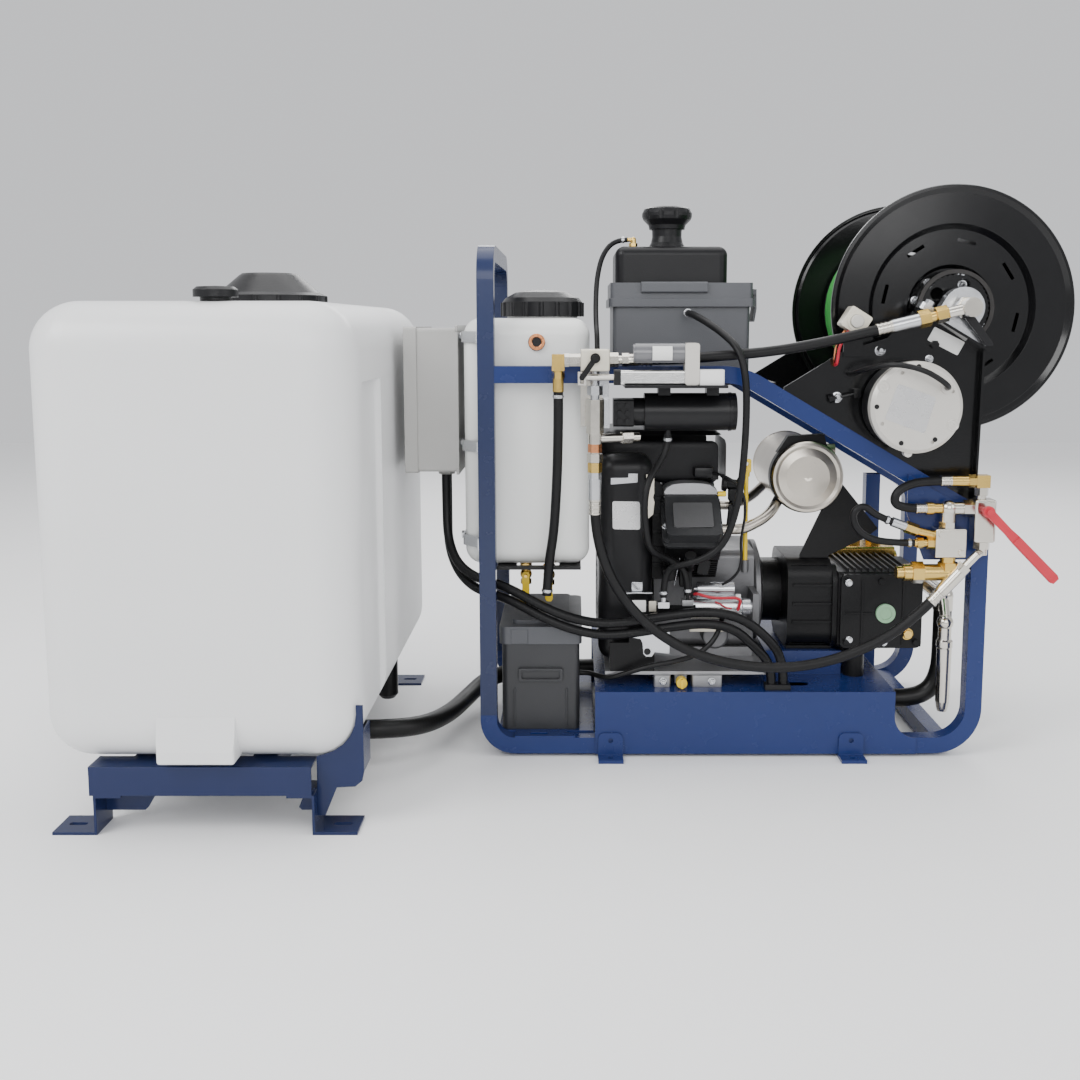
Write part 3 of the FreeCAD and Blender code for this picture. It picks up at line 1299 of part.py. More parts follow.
def blower_housing():
    """The moulded shroud: fan housing at the left end and the duct over both cylinders."""
    fan_case = rounded_box(BLOWER_LEFT, BLOWER_RIGHT, -205, 205, 200, 700, 38)
    duct = rounded_box(BLOWER_LEFT, 6, -128, 128, 600, 750, 42)
    shell = fuse([fan_case, duct])
    fan_room = rod(
        FLYWHEEL_R + FLYWHEEL_GAP + 6, (BLOWER_LEFT + BLOWER_WALL, CRANK_Y, CRANK_Z),
        (BLOWER_RIGHT - BLOWER_WALL, CRANK_Y, CRANK_Z),
    )
    fan_room = fan_room.common(box(BLOWER_LEFT, BLOWER_RIGHT, -205 + BLOWER_WALL, 205, 200 + BLOWER_WALL, 800))
    duct_room = box(
        BLOWER_RIGHT - 90, 6 - BLOWER_WALL, -128 + BLOWER_WALL, 128 - BLOWER_WALL, 596, 750 - BLOWER_WALL - 8
    )
    throat = box(BLOWER_LEFT + BLOWER_WALL + 30, BLOWER_RIGHT - BLOWER_WALL, -110, 110, 420, 640)
    intake = rod(INTAKE_R, (BLOWER_LEFT - 1, CRANK_Y, CRANK_Z), (BLOWER_LEFT + 8, CRANK_Y, CRANK_Z))
    shaft_hole = rod(46, (BLOWER_RIGHT - 12, CRANK_Y, CRANK_Z), (BLOWER_RIGHT + 1, CRANK_Y, CRANK_Z))
    duct_mouth = box(BLOWER_RIGHT, 6 - 12, -110, 110, 590, 620)
    shell = shell.cut(fan_room).cut(duct_room).cut(throat).cut(intake).cut(shaft_hole).cut(duct_mouth)
    rings = [
        pipe(radius + 2, radius - 2, (BLOWER_LEFT, CRANK_Y, CRANK_Z), (BLOWER_LEFT + 3, CRANK_Y, CRANK_Z))
        for radius in (30, 55, 80, INTAKE_R)
    ]
    spokes = []
    for index in range(4):
        spoke = box(BLOWER_LEFT, BLOWER_LEFT + 3, -INTAKE_R - 1, INTAKE_R + 1, -2, 2)
        spoke.rotate(vec(0, 0, 0), vec(1, 0, 0), 45 * index)
        spoke.translate(vec(0, CRANK_Y, CRANK_Z))
        spokes.append(spoke)
    return fuse([shell] + rings + spokes)


PINION_X0 = 186.0
PINION_X1 = 212.0
CENTRE_DISTANCE = math.hypot(GEAR_OFFSET_Y, GEAR_OFFSET_Z)
PINION_R = CENTRE_DISTANCE / (1 + GEAR_RATIO) - MOVING_GAP
GEAR_R = CENTRE_DISTANCE * GEAR_RATIO / (1 + GEAR_RATIO) - MOVING_GAP
CRANK_THROW = 31.0


def crankshaft():
    """Shaft, flywheel with fan blades, two webs with the crank pin between, and the pinion in the gearbox."""
    shaft_left = rod(SHAFT_R, (BLOWER_LEFT + 30, 0, 0), (-70, 0, 0))
    shaft_right = rod(SHAFT_R, (-10, 0, 0), (PINION_X1 + 14, 0, 0))
    webs = [rod(48, (x, 0, 0), (x + 16, 0, 0)) for x in (-76, -20)]
    pin = rod(15, (-66, 0, CRANK_THROW), (-12, 0, CRANK_THROW))
    wheel = rod(FLYWHEEL_R, (BLOWER_RIGHT - 40, 0, 0), (BLOWER_RIGHT - 22, 0, 0))
    blades = []
    for index in range(14):
        blade = box(BLOWER_RIGHT - 84, BLOWER_RIGHT - 38, -1.5, 1.5, 74, FLYWHEEL_R - 4)
        blade.rotate(vec(0, 0, 110), vec(1, 0, 0), 25)
        blade.rotate(vec(0, 0, 0), vec(1, 0, 0), 360 / 14 * index)
        blades.append(blade)
    pinion = rod(PINION_R, (PINION_X0, 0, 0), (PINION_X1, 0, 0))
    whole = fuse([shaft_left, shaft_right, pin, wheel, pinion] + webs + blades)
    whole.translate(vec(0, CRANK_Y, CRANK_Z))
    return whole


def starter_motor():
    motor = revolve_x(
        [(0, -92), (24, -92), (30, -86), (30, 34), (20, 38), (20, 60), (0, 60)], STARTER_Y, STARTER_Z
    )
    solenoid = rod(17, (-70, STARTER_Y, STARTER_Z + 44), (18, STARTER_Y, STARTER_Z + 44))
    saddle = box(-50, 0, STARTER_Y - 10, STARTER_Y + 10, STARTER_Z + 20, STARTER_Z + 36)
    terminal = rod(5, (-78, STARTER_Y, STARTER_Z + 44), (-69, STARTER_Y, STARTER_Z + 44))
    return fuse([motor, solenoid, saddle, terminal])


MUFFLER_X = 194.0
MUFFLER_Z = 640.0
MUFFLER_R = 84.0
MUFFLER_FRONT = -146.0
MUFFLER_BACK = 150.0
PIPE_R = 12.5


def exhaust():
    """The muffler drum with rolled ends and the two pipes from the cylinder heads, welded into one piece."""
    drum = revolve_y(
        [(0, MUFFLER_FRONT - 8), (52, MUFFLER_FRONT - 6), (70, MUFFLER_FRONT - 1),
         (MUFFLER_R - 7, MUFFLER_FRONT - 5),
         (MUFFLER_R - 1, MUFFLER_FRONT - 4), (MUFFLER_R + 2, MUFFLER_FRONT + 2), (MUFFLER_R, MUFFLER_FRONT + 9),
         (MUFFLER_R, MUFFLER_BACK - 9), (MUFFLER_R + 2, MUFFLER_BACK - 2), (MUFFLER_R - 1, MUFFLER_BACK + 4),
         (70, MUFFLER_BACK + 1), (0, MUFFLER_BACK + 6)],
        MUFFLER_X, MUFFLER_Z,
    )
    pieces = [drum]
    for side, head_x in ((-1, CYLINDER_XS[0]), (1, CYLINDER_XS[1])):
        face = head_x + 65
        y = side * 184.0
        route = [(face + 6, y, 522), (face + 58, y, 520), (104, side * 150, 548), (150, side * 92, 610)]
        radii = route_radii(route)
        path = Part.Wire(bend_edges(route, radii))
        section = Part.Wire(Part.makeCircle(PIPE_R, vec(*route[0]), vec(1, 0, 0)))
        sweep = Part.BRepOffsetAPI.MakePipeShell(path)
        sweep.add(section)
        sweep.build()
        sweep.makeSolid()
        pieces.append(Part.Solid(sweep.shape()))
        pieces.append(rod(20, (face + SEAT_GAP / 3, y, 522), (face + 8, y, 522)))
    tail = rod(
        15, (MUFFLER_X, MUFFLER_BACK - 40, MUFFLER_Z + 40), (MUFFLER_X + 120, MUFFLER_BACK - 40, MUFFLER_Z + 40)
    )
    return fuse(pieces + [tail])


def muffler_band():
    """The dark clamp band round the muffler's front with its top bracket and the stay down to the gearbox."""
    band = pipe(
        MUFFLER_R + 4, MUFFLER_R + 0.6, (MUFFLER_X, MUFFLER_FRONT + 14, MUFFLER_Z),
        (MUFFLER_X, MUFFLER_FRONT + 40, MUFFLER_Z),
    )
    top = MUFFLER_Z + MUFFLER_R
    bracket = plate_xz(
        [(MUFFLER_X - 72, top - 26), (MUFFLER_X - 46, top + 14), (MUFFLER_X + 40, top + 18),
         (MUFFLER_X + 48, top - 10),
         (MUFFLER_X + 20, top + 1), (MUFFLER_X - 20, top + 1), (MUFFLER_X - 50, top - 14)],
        MUFFLER_FRONT + 14, MUFFLER_FRONT + 40,
    )
    stay_y = MUFFLER_FRONT + 22
    stay = plate_xz(
        [(MUFFLER_X + 50, MUFFLER_Z - 60), (MUFFLER_X + 88, MUFFLER_Z - 18), (MUFFLER_X + 178, MUFFLER_Z - 128),
         (MUFFLER_X + 150, MUFFLER_Z - 150), (MUFFLER_X + 60, GEARBOX_TOP + 6),
         (MUFFLER_X + 60, GEARBOX_TOP + SEAT_GAP / 3),
         (MUFFLER_X - 10, GEARBOX_TOP + SEAT_GAP / 3), (MUFFLER_X - 10, GEARBOX_TOP + 8)],
        stay_y, stay_y + 6,
    )
    drum_room = rod(
        MUFFLER_R + 0.6, (MUFFLER_X, MUFFLER_FRONT, MUFFLER_Z), (MUFFLER_X, MUFFLER_BACK, MUFFLER_Z)
    )
    return fuse([band, bracket, stay]).cut(drum_room)


MOUNT_PLATE_BOTTOM = 185.0
MOUNT_PLATE_SHEET = 8.0
DRAIN_X = -113.0
DRAIN_Z = 171.0
DRAIN_TIP_Y = -262.0


def engine_mounts():
    """The engine's base plate on rubber blocks, its two spacer bars, the front bracket and the drain nipple."""
    plate = box(-292, 92, -246, 246, MOUNT_PLATE_BOTTOM, MOUNT_PLATE_BOTTOM + MOUNT_PLATE_SHEET)
    bars = [
        box(BLOCK_LEFT, BLOCK_RIGHT, y0, y0 + 44, MOUNT_PLATE_BOTTOM + MOUNT_PLATE_SHEET, BLOCK_BOTTOM)
        for y0 in (-BLOCK_HALF, BLOCK_HALF - 44)
    ]
    front = box(-281, -176, -246, -240, MOUNT_PLATE_BOTTOM, 262)
    web = box(-281, -275, -240, -207, MOUNT_PLATE_BOTTOM, 240)
    nipple = rod(9, (DRAIN_X, -200, DRAIN_Z), (DRAIN_X, DRAIN_TIP_Y, DRAIN_Z))
    hanger = box(DRAIN_X - 14, DRAIN_X + 14, -236, -210, DRAIN_Z - 10, MOUNT_PLATE_BOTTOM + 1)
    rack = fuse([
        box(-236, -178, -246, -241, MOUNT_PLATE_BOTTOM, 352), box(-236, -80, -246, -241, 334, 352),
    ])
    barbs = []
    for x, y, z in (THIN_ONE_END, THIN_TWO_END):
        barbs.append(box(x - 13, x + 13, y - 11, y + 11, 350, 364))
        barbs.append(rod(6, (x, y, 363), (x, y, z)))
    return fuse([plate, front, web, nipple, hanger, rack] + bars + barbs)


def mount_blocks():
    """Four rubber blocks between the base pan and the engine's plate."""
    blocks = []
    for y0, y1 in ((-254, -206), (206, 254)):
        for x0, x1 in ((-177, -138), (-88, -17)):
            blocks.append(rounded_box(x0, x1, y0, y1, PAN_TOP, MOUNT_PLATE_BOTTOM, 4, axes=(2,)))
    return group(blocks)


def drain_cap():
    """The yellow cap pushed on the oil drain nipple."""
    y = DRAIN_TIP_Y
    cap = rod(12.5, (DRAIN_X, y + 12, DRAIN_Z), (DRAIN_X, y - 8, DRAIN_Z))
    grip = box(DRAIN_X - 2.5, DRAIN_X + 2.5, y - 16, y - 7, DRAIN_Z - 11, DRAIN_Z + 11)
    bore = rod(9 + MOVING_GAP, (DRAIN_X, y + 13, DRAIN_Z), (DRAIN_X, y - SEAT_GAP, DRAIN_Z))
    return fuse([cap, grip]).cut(bore)


# Gearbox and pump

GEARBOX_LEFT = 150.0
GEARBOX_RIGHT = 256.0
GEARBOX_FRONT = -160.0
GEARBOX_BACK = 72.0
GEARBOX_BOTTOM = 222.0
GEARBOX_TOP = 440.0
GEARBOX_WALL = 9.0
PUMP_LEFT = 268.0
PUMP_RIGHT = 470.0
PUMP_FRONT = -190.0
PUMP_BACK = 30.0
PUMP_BOTTOM = 230.0
PUMP_TOP = 415.0
PUMP_WALL = 9.0
SIGHT_X = 378.0
SIGHT_Z = 319.0
HEAD_BACK = 140.0
INLET_X = 528.0
INLET_Y = -150.0
INLET_Z = 352.0
INLET_HOSE_TOP = 318.0
STRAINER_X = 515.0
STRAINER_Y = -212.0


def gearbox():
    body = rounded_box(
        GEARBOX_LEFT, GEARBOX_RIGHT, GEARBOX_FRONT, GEARBOX_BACK, GEARBOX_BOTTOM, GEARBOX_TOP, 46, axes=(0,)
    )
    flange = rounded_box(
        GEARBOX_RIGHT, PUMP_LEFT, GEARBOX_FRONT - 12, GEARBOX_BACK - 10, GEARBOX_BOTTOM, GEARBOX_TOP - 12, 46,
        axes=(0,)
    )
    neck = rod(80, (COVER_RIGHT, CRANK_Y, CRANK_Z), (GEARBOX_LEFT + 1, CRANK_Y, CRANK_Z))
    neck_hollow = rod(66, (COVER_RIGHT - 1, CRANK_Y, CRANK_Z), (GEARBOX_LEFT - 3, CRANK_Y, CRANK_Z))
    hollow = box(
        GEARBOX_LEFT + GEARBOX_WALL, GEARBOX_RIGHT - GEARBOX_WALL, GEARBOX_FRONT + GEARBOX_WALL + 4,
        GEARBOX_BACK - GEARBOX_WALL - 4, GEARBOX_BOTTOM + GEARBOX_WALL, GEARBOX_TOP - GEARBOX_WALL - 4,
    )
    foot = box(GEARBOX_LEFT + 4, PUMP_LEFT - 4, -132, 60, PEDESTAL_TOP, GEARBOX_BOTTOM + 1)
    ribs = [
        box(GEARBOX_LEFT + 12, GEARBOX_RIGHT, GEARBOX_FRONT - 5, GEARBOX_FRONT + 2, z - 3, z + 3)
        for z in (290, 335, 380)
    ]
    body = fuse([body, flange, neck, foot] + ribs).cut(neck_hollow).cut(hollow)
    body = body.cut(shaft_bore(GEARBOX_LEFT - 5, GEARBOX_LEFT + GEARBOX_WALL + 1, SHAFT_R + RUNNING_FIT))
    return body.cut(shaft_bore(
        GEARBOX_RIGHT - GEARBOX_WALL - 1, PUMP_LEFT + 1, PUMP_SHAFT_R + RUNNING_FIT, PUMP_Y, PUMP_Z
    ))


def pump_crankcase():
    """The pump's oil-filled crankcase with its bolted front cover, and the two posts under it."""
    case = rounded_box(PUMP_LEFT, PUMP_RIGHT, PUMP_FRONT + 12, PUMP_BACK, PUMP_BOTTOM, PUMP_TOP, 12, axes=(0,))
    cover = rounded_box(
        PUMP_LEFT + 4, PUMP_RIGHT - 4, PUMP_FRONT, PUMP_FRONT + 13, PUMP_BOTTOM + 3, PUMP_TOP - 3, 14, axes=(1,)
    )
    hollow = box(
        PUMP_LEFT + PUMP_WALL, PUMP_RIGHT - PUMP_WALL, PUMP_FRONT + 12 + PUMP_WALL, PUMP_BACK - PUMP_WALL,
        PUMP_BOTTOM + PUMP_WALL, PUMP_TOP - PUMP_WALL,
    )
    ribs = [
        box(x - 2, x + 2, PUMP_FRONT - 3, PUMP_FRONT + 1, PUMP_BOTTOM + 12, PUMP_TOP - 12) for x in (322, 420)
    ]
    ribs.append(box(PUMP_LEFT + 16, SIGHT_X - 30, PUMP_FRONT - 3, PUMP_FRONT + 1, SIGHT_Z - 2, SIGHT_Z + 2))
    fins = [
        box(x, x + 4, PUMP_FRONT + 20, PUMP_BACK - 8, PUMP_TOP - 1, PUMP_TOP + 9) for x in range(290, 450, 16)
    ]
    posts = [rod(25, (315, y, PAN_TOP), (315, y, PUMP_BOTTOM + 1)) for y in (-150, -10)]
    bolts = [
        hexagon(13, (x, PUMP_FRONT + 1, z), (x, PUMP_FRONT - 8, z))
        for x in (PUMP_LEFT + 18, 366, PUMP_RIGHT - 18) for z in (PUMP_BOTTOM + 18, PUMP_TOP - 18)
    ]
    case = fuse([case, cover] + ribs + fins + posts + bolts).cut(hollow)
    bore = shaft_bore(PUMP_LEFT - 1, PUMP_RIGHT - PUMP_WALL + 1, PUMP_SHAFT_R + RUNNING_FIT, PUMP_Y, PUMP_Z)
    sight_seat = rod(15, (SIGHT_X, PUMP_FRONT - 4, SIGHT_Z), (SIGHT_X, PUMP_FRONT + 8, SIGHT_Z))
    return case.cut(bore).cut(sight_seat)


def oil_sight():
    """The green-rimmed sight glass and the brass oil plug on the pump cover."""
    ring = pipe(23, 15, (SIGHT_X, PUMP_FRONT - 7, SIGHT_Z), (SIGHT_X, PUMP_FRONT, SIGHT_Z))
    lens = rod(14.8, (SIGHT_X, PUMP_FRONT - 5, SIGHT_Z), (SIGHT_X, PUMP_FRONT + 6, SIGHT_Z))
    return fuse([ring, rod(15, (SIGHT_X, PUMP_FRONT - 4, SIGHT_Z), (SIGHT_X, PUMP_FRONT, SIGHT_Z)), lens])


def pump_manifold():
    """The brass head behind the crankcase, its valve caps, the inlet pipe with elbow, and the strainer."""
    head = rounded_box(PUMP_LEFT + 8, PUMP_RIGHT - 12, PUMP_BACK, HEAD_BACK, 262, 436, 6, axes=(0,))
    caps = []
    for x in (310, 363, 416):
        caps.append(hexagon(34, (x, 85, 435), (x, 85, 450)))
        caps.append(hexagon(34, (x, HEAD_BACK - 1, 300), (x, HEAD_BACK + 14, 300)))
    outlet_nut = hexagon(30, (PUMP_RIGHT - 13, 85, 400), (PUMP_RIGHT + 6, 85, 400))
    brass = fuse([head, outlet_nut] + caps)
    inlet_run = rod(20, (INLET_X, INLET_Y, INLET_Z), (INLET_X, 85, INLET_Z))
    corner = Part.makeSphere(24, vec(INLET_X, INLET_Y, INLET_Z))
    back_corner = Part.makeSphere(22, vec(INLET_X, 85, INLET_Z))
    to_head = rod(20, (INLET_X, 85, INLET_Z), (PUMP_RIGHT - 12, 85, INLET_Z))
    drop = rod(SUCTION_R + 1.5, (INLET_X, INLET_Y, INLET_HOSE_TOP), (INLET_X, INLET_Y, INLET_Z))
    link = rod(12, (INLET_X, INLET_Y, INLET_Z), (STRAINER_X, STRAINER_Y, INLET_Z - 40))
    knuckle = Part.makeSphere(19, vec(STRAINER_X, STRAINER_Y, 302))
    bowl = revolve_z(
        [(0, 86), (11, 86), (13, 92), (16, 110), (17.5, 240), (19, 244), (19, 258), (15, 262), (15, 302),
         (0, 302)],
        STRAINER_X, STRAINER_Y,
    )
    nickel = fuse([inlet_run, corner, back_corner, to_head, drop, link, knuckle, bowl])
    return group([brass, nickel])


def pump_shaft():
    """Pump shaft with its gear wheel in the gearbox and three eccentrics in the crankcase."""
    shaft = rod(PUMP_SHAFT_R, (PINION_X0 - 6, 0, 0), (PUMP_RIGHT - PUMP_WALL - 1, 0, 0))
    wheel = rod(GEAR_R, (PINION_X0, 0, 0), (PINION_X1, 0, 0))
    lobes = []
    for index, x in enumerate((310, 363, 416)):
        angle = math.radians(120 * index)
        dy, dz = 11 * math.cos(angle), 11 * math.sin(angle)
        lobes.append(rod(27, (x - 13, dy, dz), (x + 13, dy, dz)))
    whole = fuse([shaft, wheel] + lobes)
    whole.translate(vec(0, PUMP_Y, PUMP_Z))
    return whole


# Hose reel

CHAIN_PITCH = 12.7
ROLLER_R = 3.9
REEL_TEETH = 41
MOTOR_TEETH = 14
MOTOR_X = REEL_X - 116.7
MOTOR_Z = REEL_Z - 218.0
MOTOR_R = 101.5
MOTOR_REACH = 109.5
MOTOR_FRONT = PLATE_FRONT - MOTOR_REACH
CHAIN_ROOM = 15.5
CHAIN_Y = PLATE_BACK + CHAIN_ROOM
SPROCKET_SHEET = 5.0
HUB_R = 98.0
MID_R = 184.0
SLOT_COUNT = 8
LAYER_PITCH = 18.3
LAYER_SIDE_ROOM = 28.0
LAYER_TURNS = math.floor((FLANGE_BACK - FLANGE_FRONT - 2 * LAYER_SIDE_ROOM) / LAYER_PITCH * 2) / 2
REEL_MIDDLE = (FLANGE_FRONT + FLANGE_BACK) / 2


def pitch_radius(teeth):
    return CHAIN_PITCH / (2 * math.sin(math.pi / teeth))


def sprocket(teeth, y0, y1, x, z):
    """A chain wheel whose teeth stop short of the fixed chain's rollers."""
    tip = pitch_radius(teeth) - ROLLER_R - MOVING_GAP
    root = tip - 4.0
    outline = []
    for index in range(teeth):
        step = 2 * math.pi / teeth
        for share, radius in ((0.0, root), (0.28, root), (0.42, tip), (0.58, tip), (0.72, root)):
            angle = step * (index + share)
            outline.append((x + radius * math.cos(angle), z + radius * math.sin(angle)))
    return plate_xz(outline, y0, y1)


def flange(front):
    """One dished flange with a rolled rim; the rear one is its mirror about the reel's middle."""
    t = FLANGE_SHEET
    face = FLANGE_FRONT
    profile = [
        (AXLE_R - 1, face + 30), (HUB_R - 6, face + 30), (HUB_R + 2, face + 14), (MID_R - 4, face + 14),
        (MID_R + 8, face), (FLANGE_R - 18, face), (FLANGE_R - 8, face - 8), (FLANGE_R - 2, face - 8),
        (FLANGE_R, face - 5), (FLANGE_R, face + 1), (FLANGE_R - 3, face + 1), (FLANGE_R - 3, face - 5),
        (FLANGE_R - 7, face - 5), (FLANGE_R - 16, face + t), (MID_R + 9, face + t), (MID_R - 3, face + 14 + t),
        (HUB_R + 3, face + 14 + t), (HUB_R - 5, face + 30 + t), (AXLE_R - 1, face + 30 + t),
    ]
    if not front:
        profile = [(radius, 2 * REEL_MIDDLE - y) for radius, y in profile]
    plate = revolve_y(profile, REEL_X, REEL_Z)
    slots = []
    slot_r = (HUB_R + MID_R) / 2 + 14
    y_low = min(y for radius, y in profile) - 5
    y_high = max(y for radius, y in profile) + 5
    for index in range(SLOT_COUNT):
        slot = box(slot_r - 4, slot_r + 4, y_low, y_high, -22, 22)
        slot.rotate(vec(0, 0, 0), vec(0, 1, 0), 360 / SLOT_COUNT * index + 12)
        slot.translate(vec(REEL_X, 0, REEL_Z))
        slots.append(slot)
    return plate.cut(Part.makeCompound(slots))


def end_stop(turn_angle, y, facing):
    """A block on the drum whose face is square to the hose end that butts against it."""
    half_width = REEL_HOSE_R - 1
    block = box(0, 26, -half_width, half_width, DRUM_R - 3, HOSE_LAYER_R)
    if facing < 0:
        block = box(-26, 0, -half_width, half_width, DRUM_R - 3, HOSE_LAYER_R)
    block.rotate(vec(0, 0, 0), vec(0, 1, 0), turn_angle)
    block.translate(vec(REEL_X, y, REEL_Z))
    return block


LAYER_START_Y = REEL_MIDDLE - LAYER_PITCH * LAYER_TURNS / 2


def layer_point(turns):
    """A point on the winding's centre line, and its direction."""
    radius = HOSE_LAYER_R - REEL_HOSE_R
    angle = 2 * math.pi * turns
    point = vec(
        REEL_X + radius * math.sin(angle), LAYER_START_Y + LAYER_PITCH * turns,
        REEL_Z + radius * math.cos(angle)
    )
    climb = LAYER_PITCH / (2 * math.pi * radius)
    direction = vec(math.cos(angle), climb, -math.sin(angle)).normalize()
    return point, direction


def arc_between(start, direction, end):
    """The arc that leaves start along a direction and reaches end."""
    chord = end - start
    along = vec(chord.x, chord.y, chord.z).normalize()
    side = direction - along * direction.dot(along)
    lean = math.acos(max(-1.0, min(1.0, direction.dot(along))))
    side.normalize()
    middle = (start + end) * 0.5 + side * (chord.Length / 2 * math.tan(lean / 2))
    return Part.Arc(start, middle, end).toShape()


def wound_hose():
    """The outer layer of hose on the drum: one tube on quarter-turn biarcs, its ends straight."""
    quarters = int(LAYER_TURNS * 4)
    edges = []
    lead = 2 * REEL_HOSE_R
    first, first_way = layer_point(0)
    edges.append(Part.LineSegment(first - first_way * lead, first).toShape())
    for quarter in range(quarters):
        p0, t0 = layer_point(quarter / 4)
        p1, t1 = layer_point((quarter + 1) / 4)
        run = p1 - p0
        both = t0 + t1
        bend = 2 * (1 - t0.dot(t1))
        reach = (-run.dot(both) + math.sqrt(run.dot(both) ** 2 + bend * run.dot(run))) / bend
        joint = (p0 + p1 + (t0 - t1) * reach) * 0.5
        edges.append(arc_between(p0, t0, joint))
        middle_way = (joint - (p0 + t0 * reach)).normalize()
        edges.append(arc_between(joint, middle_way, p1))
    last, last_way = layer_point(quarters / 4)
    edges.append(Part.LineSegment(last, last + last_way * lead).toShape())
    path = Part.Wire(edges)
    section = Part.Wire(Part.makeCircle(REEL_HOSE_R, first - first_way * lead, first_way))
    sweep = Part.BRepOffsetAPI.MakePipeShell(path)
    sweep.add(section)
    sweep.build()
    sweep.makeSolid()
    tube = Part.Solid(sweep.shape())
    samples = [layer_point(index / 48)[0] for index in range(quarters * 12)]
    least = min(
        (samples[i] - samples[j]).Length
        for i in range(0, len(samples), 7)
        for j in range(i + 36, min(i + 62, len(samples)))
    )
    expected = math.pi * REEL_HOSE_R ** 2 * path.Length
    print(f"wound_hose: length {path.Length:.0f}, least gap {least - 2 * REEL_HOSE_R:.2f},"
          f" volume over section times length {tube.Volume / expected:.4f}")
    return tube


def reel_drum():
    """The drum: both flanges, the core, the hub tubes, the axle, the chain wheel and the hose stops."""
    inner = FLANGE_FRONT + 14 + FLANGE_SHEET - 0.5
    outer = 2 * REEL_MIDDLE - inner
    core = pipe(DRUM_R, DRUM_R - FLANGE_SHEET, (REEL_X, inner, REEL_Z), (REEL_X, outer, REEL_Z))
    axle = rod(AXLE_R, (REEL_X, AXLE_FRONT, REEL_Z), (REEL_X, AXLE_BACK, REEL_Z))
    hub_front = rod(34, (REEL_X, CHAIN_Y - SPROCKET_SHEET / 2, REEL_Z), (REEL_X, FLANGE_FRONT + 31, REEL_Z))
    wheel = sprocket(REEL_TEETH, CHAIN_Y - SPROCKET_SHEET / 2, CHAIN_Y + SPROCKET_SHEET / 2, REEL_X, REEL_Z)
    windows = []
    for index in range(5):
        window = rod(15, (54, CHAIN_Y - 5, 0), (54, CHAIN_Y + 5, 0))
        window.rotate(vec(0, 0, 0), vec(0, 1, 0), 72 * index)
        window.translate(vec(REEL_X, 0, REEL_Z))
        windows.append(window)
    wheel = wheel.cut(Part.makeCompound(windows))
    hub_back = rod(34, (REEL_X, 2 * REEL_MIDDLE - FLANGE_FRONT - 31, REEL_Z), (REEL_X, FLANGE_BACK + 6, REEL_Z))
    bolts = []
    for index in range(6):
        angle = math.radians(60 * index + 12)
        x, z = REEL_X + 79 * math.cos(angle), REEL_Z + 79 * math.sin(angle)
        face = FLANGE_FRONT + 30
        bolts.append(hexagon(17, (x, face - 9, z), (x, face + 1, z)))
    stops = [
        end_stop(0, LAYER_START_Y - layer_point(0)[1].y * 2 * REEL_HOSE_R, -1),
        end_stop(360 * (LAYER_TURNS % 1), LAYER_START_Y + LAYER_PITCH * LAYER_TURNS + 0.3, 1),
    ]
    for stop, way in zip(stops, (-1, 1)):
        turns = 0 if way < 0 else LAYER_TURNS
        stop.translate(layer_point(turns)[1] * (way * (2 * REEL_HOSE_R + SEAT_GAP)))
    return fuse([flange(True), flange(False), core, axle, hub_front, hub_back, wheel] + bolts + stops)


AXLE_FRONT_REACH = 52.5
AXLE_BACK_REACH = 57.5
AXLE_FRONT = PLATE_FRONT - AXLE_FRONT_REACH
AXLE_BACK = REAR_PLATE_FRONT + AXLE_BACK_REACH


def turned(shape, x, z):
    """Tips a piece built square at the origin to the diagonal's slope and moves it to its place."""
    shape.rotate(vec(0, 0, 0), vec(0, 1, 0), math.degrees(DIAGONAL_ANGLE))
    shape.translate(vec(x, 0, z))
    return shape


def bearing(y):
    """A pillow block square to the bracket shelf, with its bore as a running fit on the axle."""
    foot = rounded_box(-88, 88, y - 19, y + 19, -BEARING_HEIGHT, -BEARING_HEIGHT + 15, 8, axes=(2,))
    ring = rod(46, (0, y - 17, 0), (0, y + 17, 0))
    waist = box(-46, 46, y - 17, y + 17, -BEARING_HEIGHT + 10, 0)
    bolts = [hexagon(19, (x, y, -BEARING_HEIGHT + 14), (x, y, -BEARING_HEIGHT + 27)) for x in (-68, 68)]
    block = fuse([foot, ring, waist] + bolts).cut(rod(AXLE_R + RUNNING_FIT, (0, y - 30, 0), (0, y + 30, 0)))
    return turned(block, REEL_X, REEL_Z)


FRONT_BEARING_Y = PLATE_FRONT - 25
REAR_BEARING_Y = REAR_PLATE_FRONT + BRACKET_SHEET + 25


def reel_bearings():
    return group([bearing(FRONT_BEARING_Y), bearing(REAR_BEARING_Y)])


def bracket_outline():
    slope = (math.cos(DIAGONAL_ANGLE), -math.sin(DIAGONAL_ANGLE))
    foot_x = REEL_X - BEARING_HEIGHT * math.sin(DIAGONAL_ANGLE)
    foot_z = REEL_Z - BEARING_HEIGHT * math.cos(DIAGONAL_ANGLE)
    left, right = -78.0, 97.0
    shelf_left = (foot_x + slope[0] * left, foot_z + slope[1] * left)
    shelf_right = (foot_x + slope[0] * right, foot_z + slope[1] * right)
    return shelf_left, shelf_right


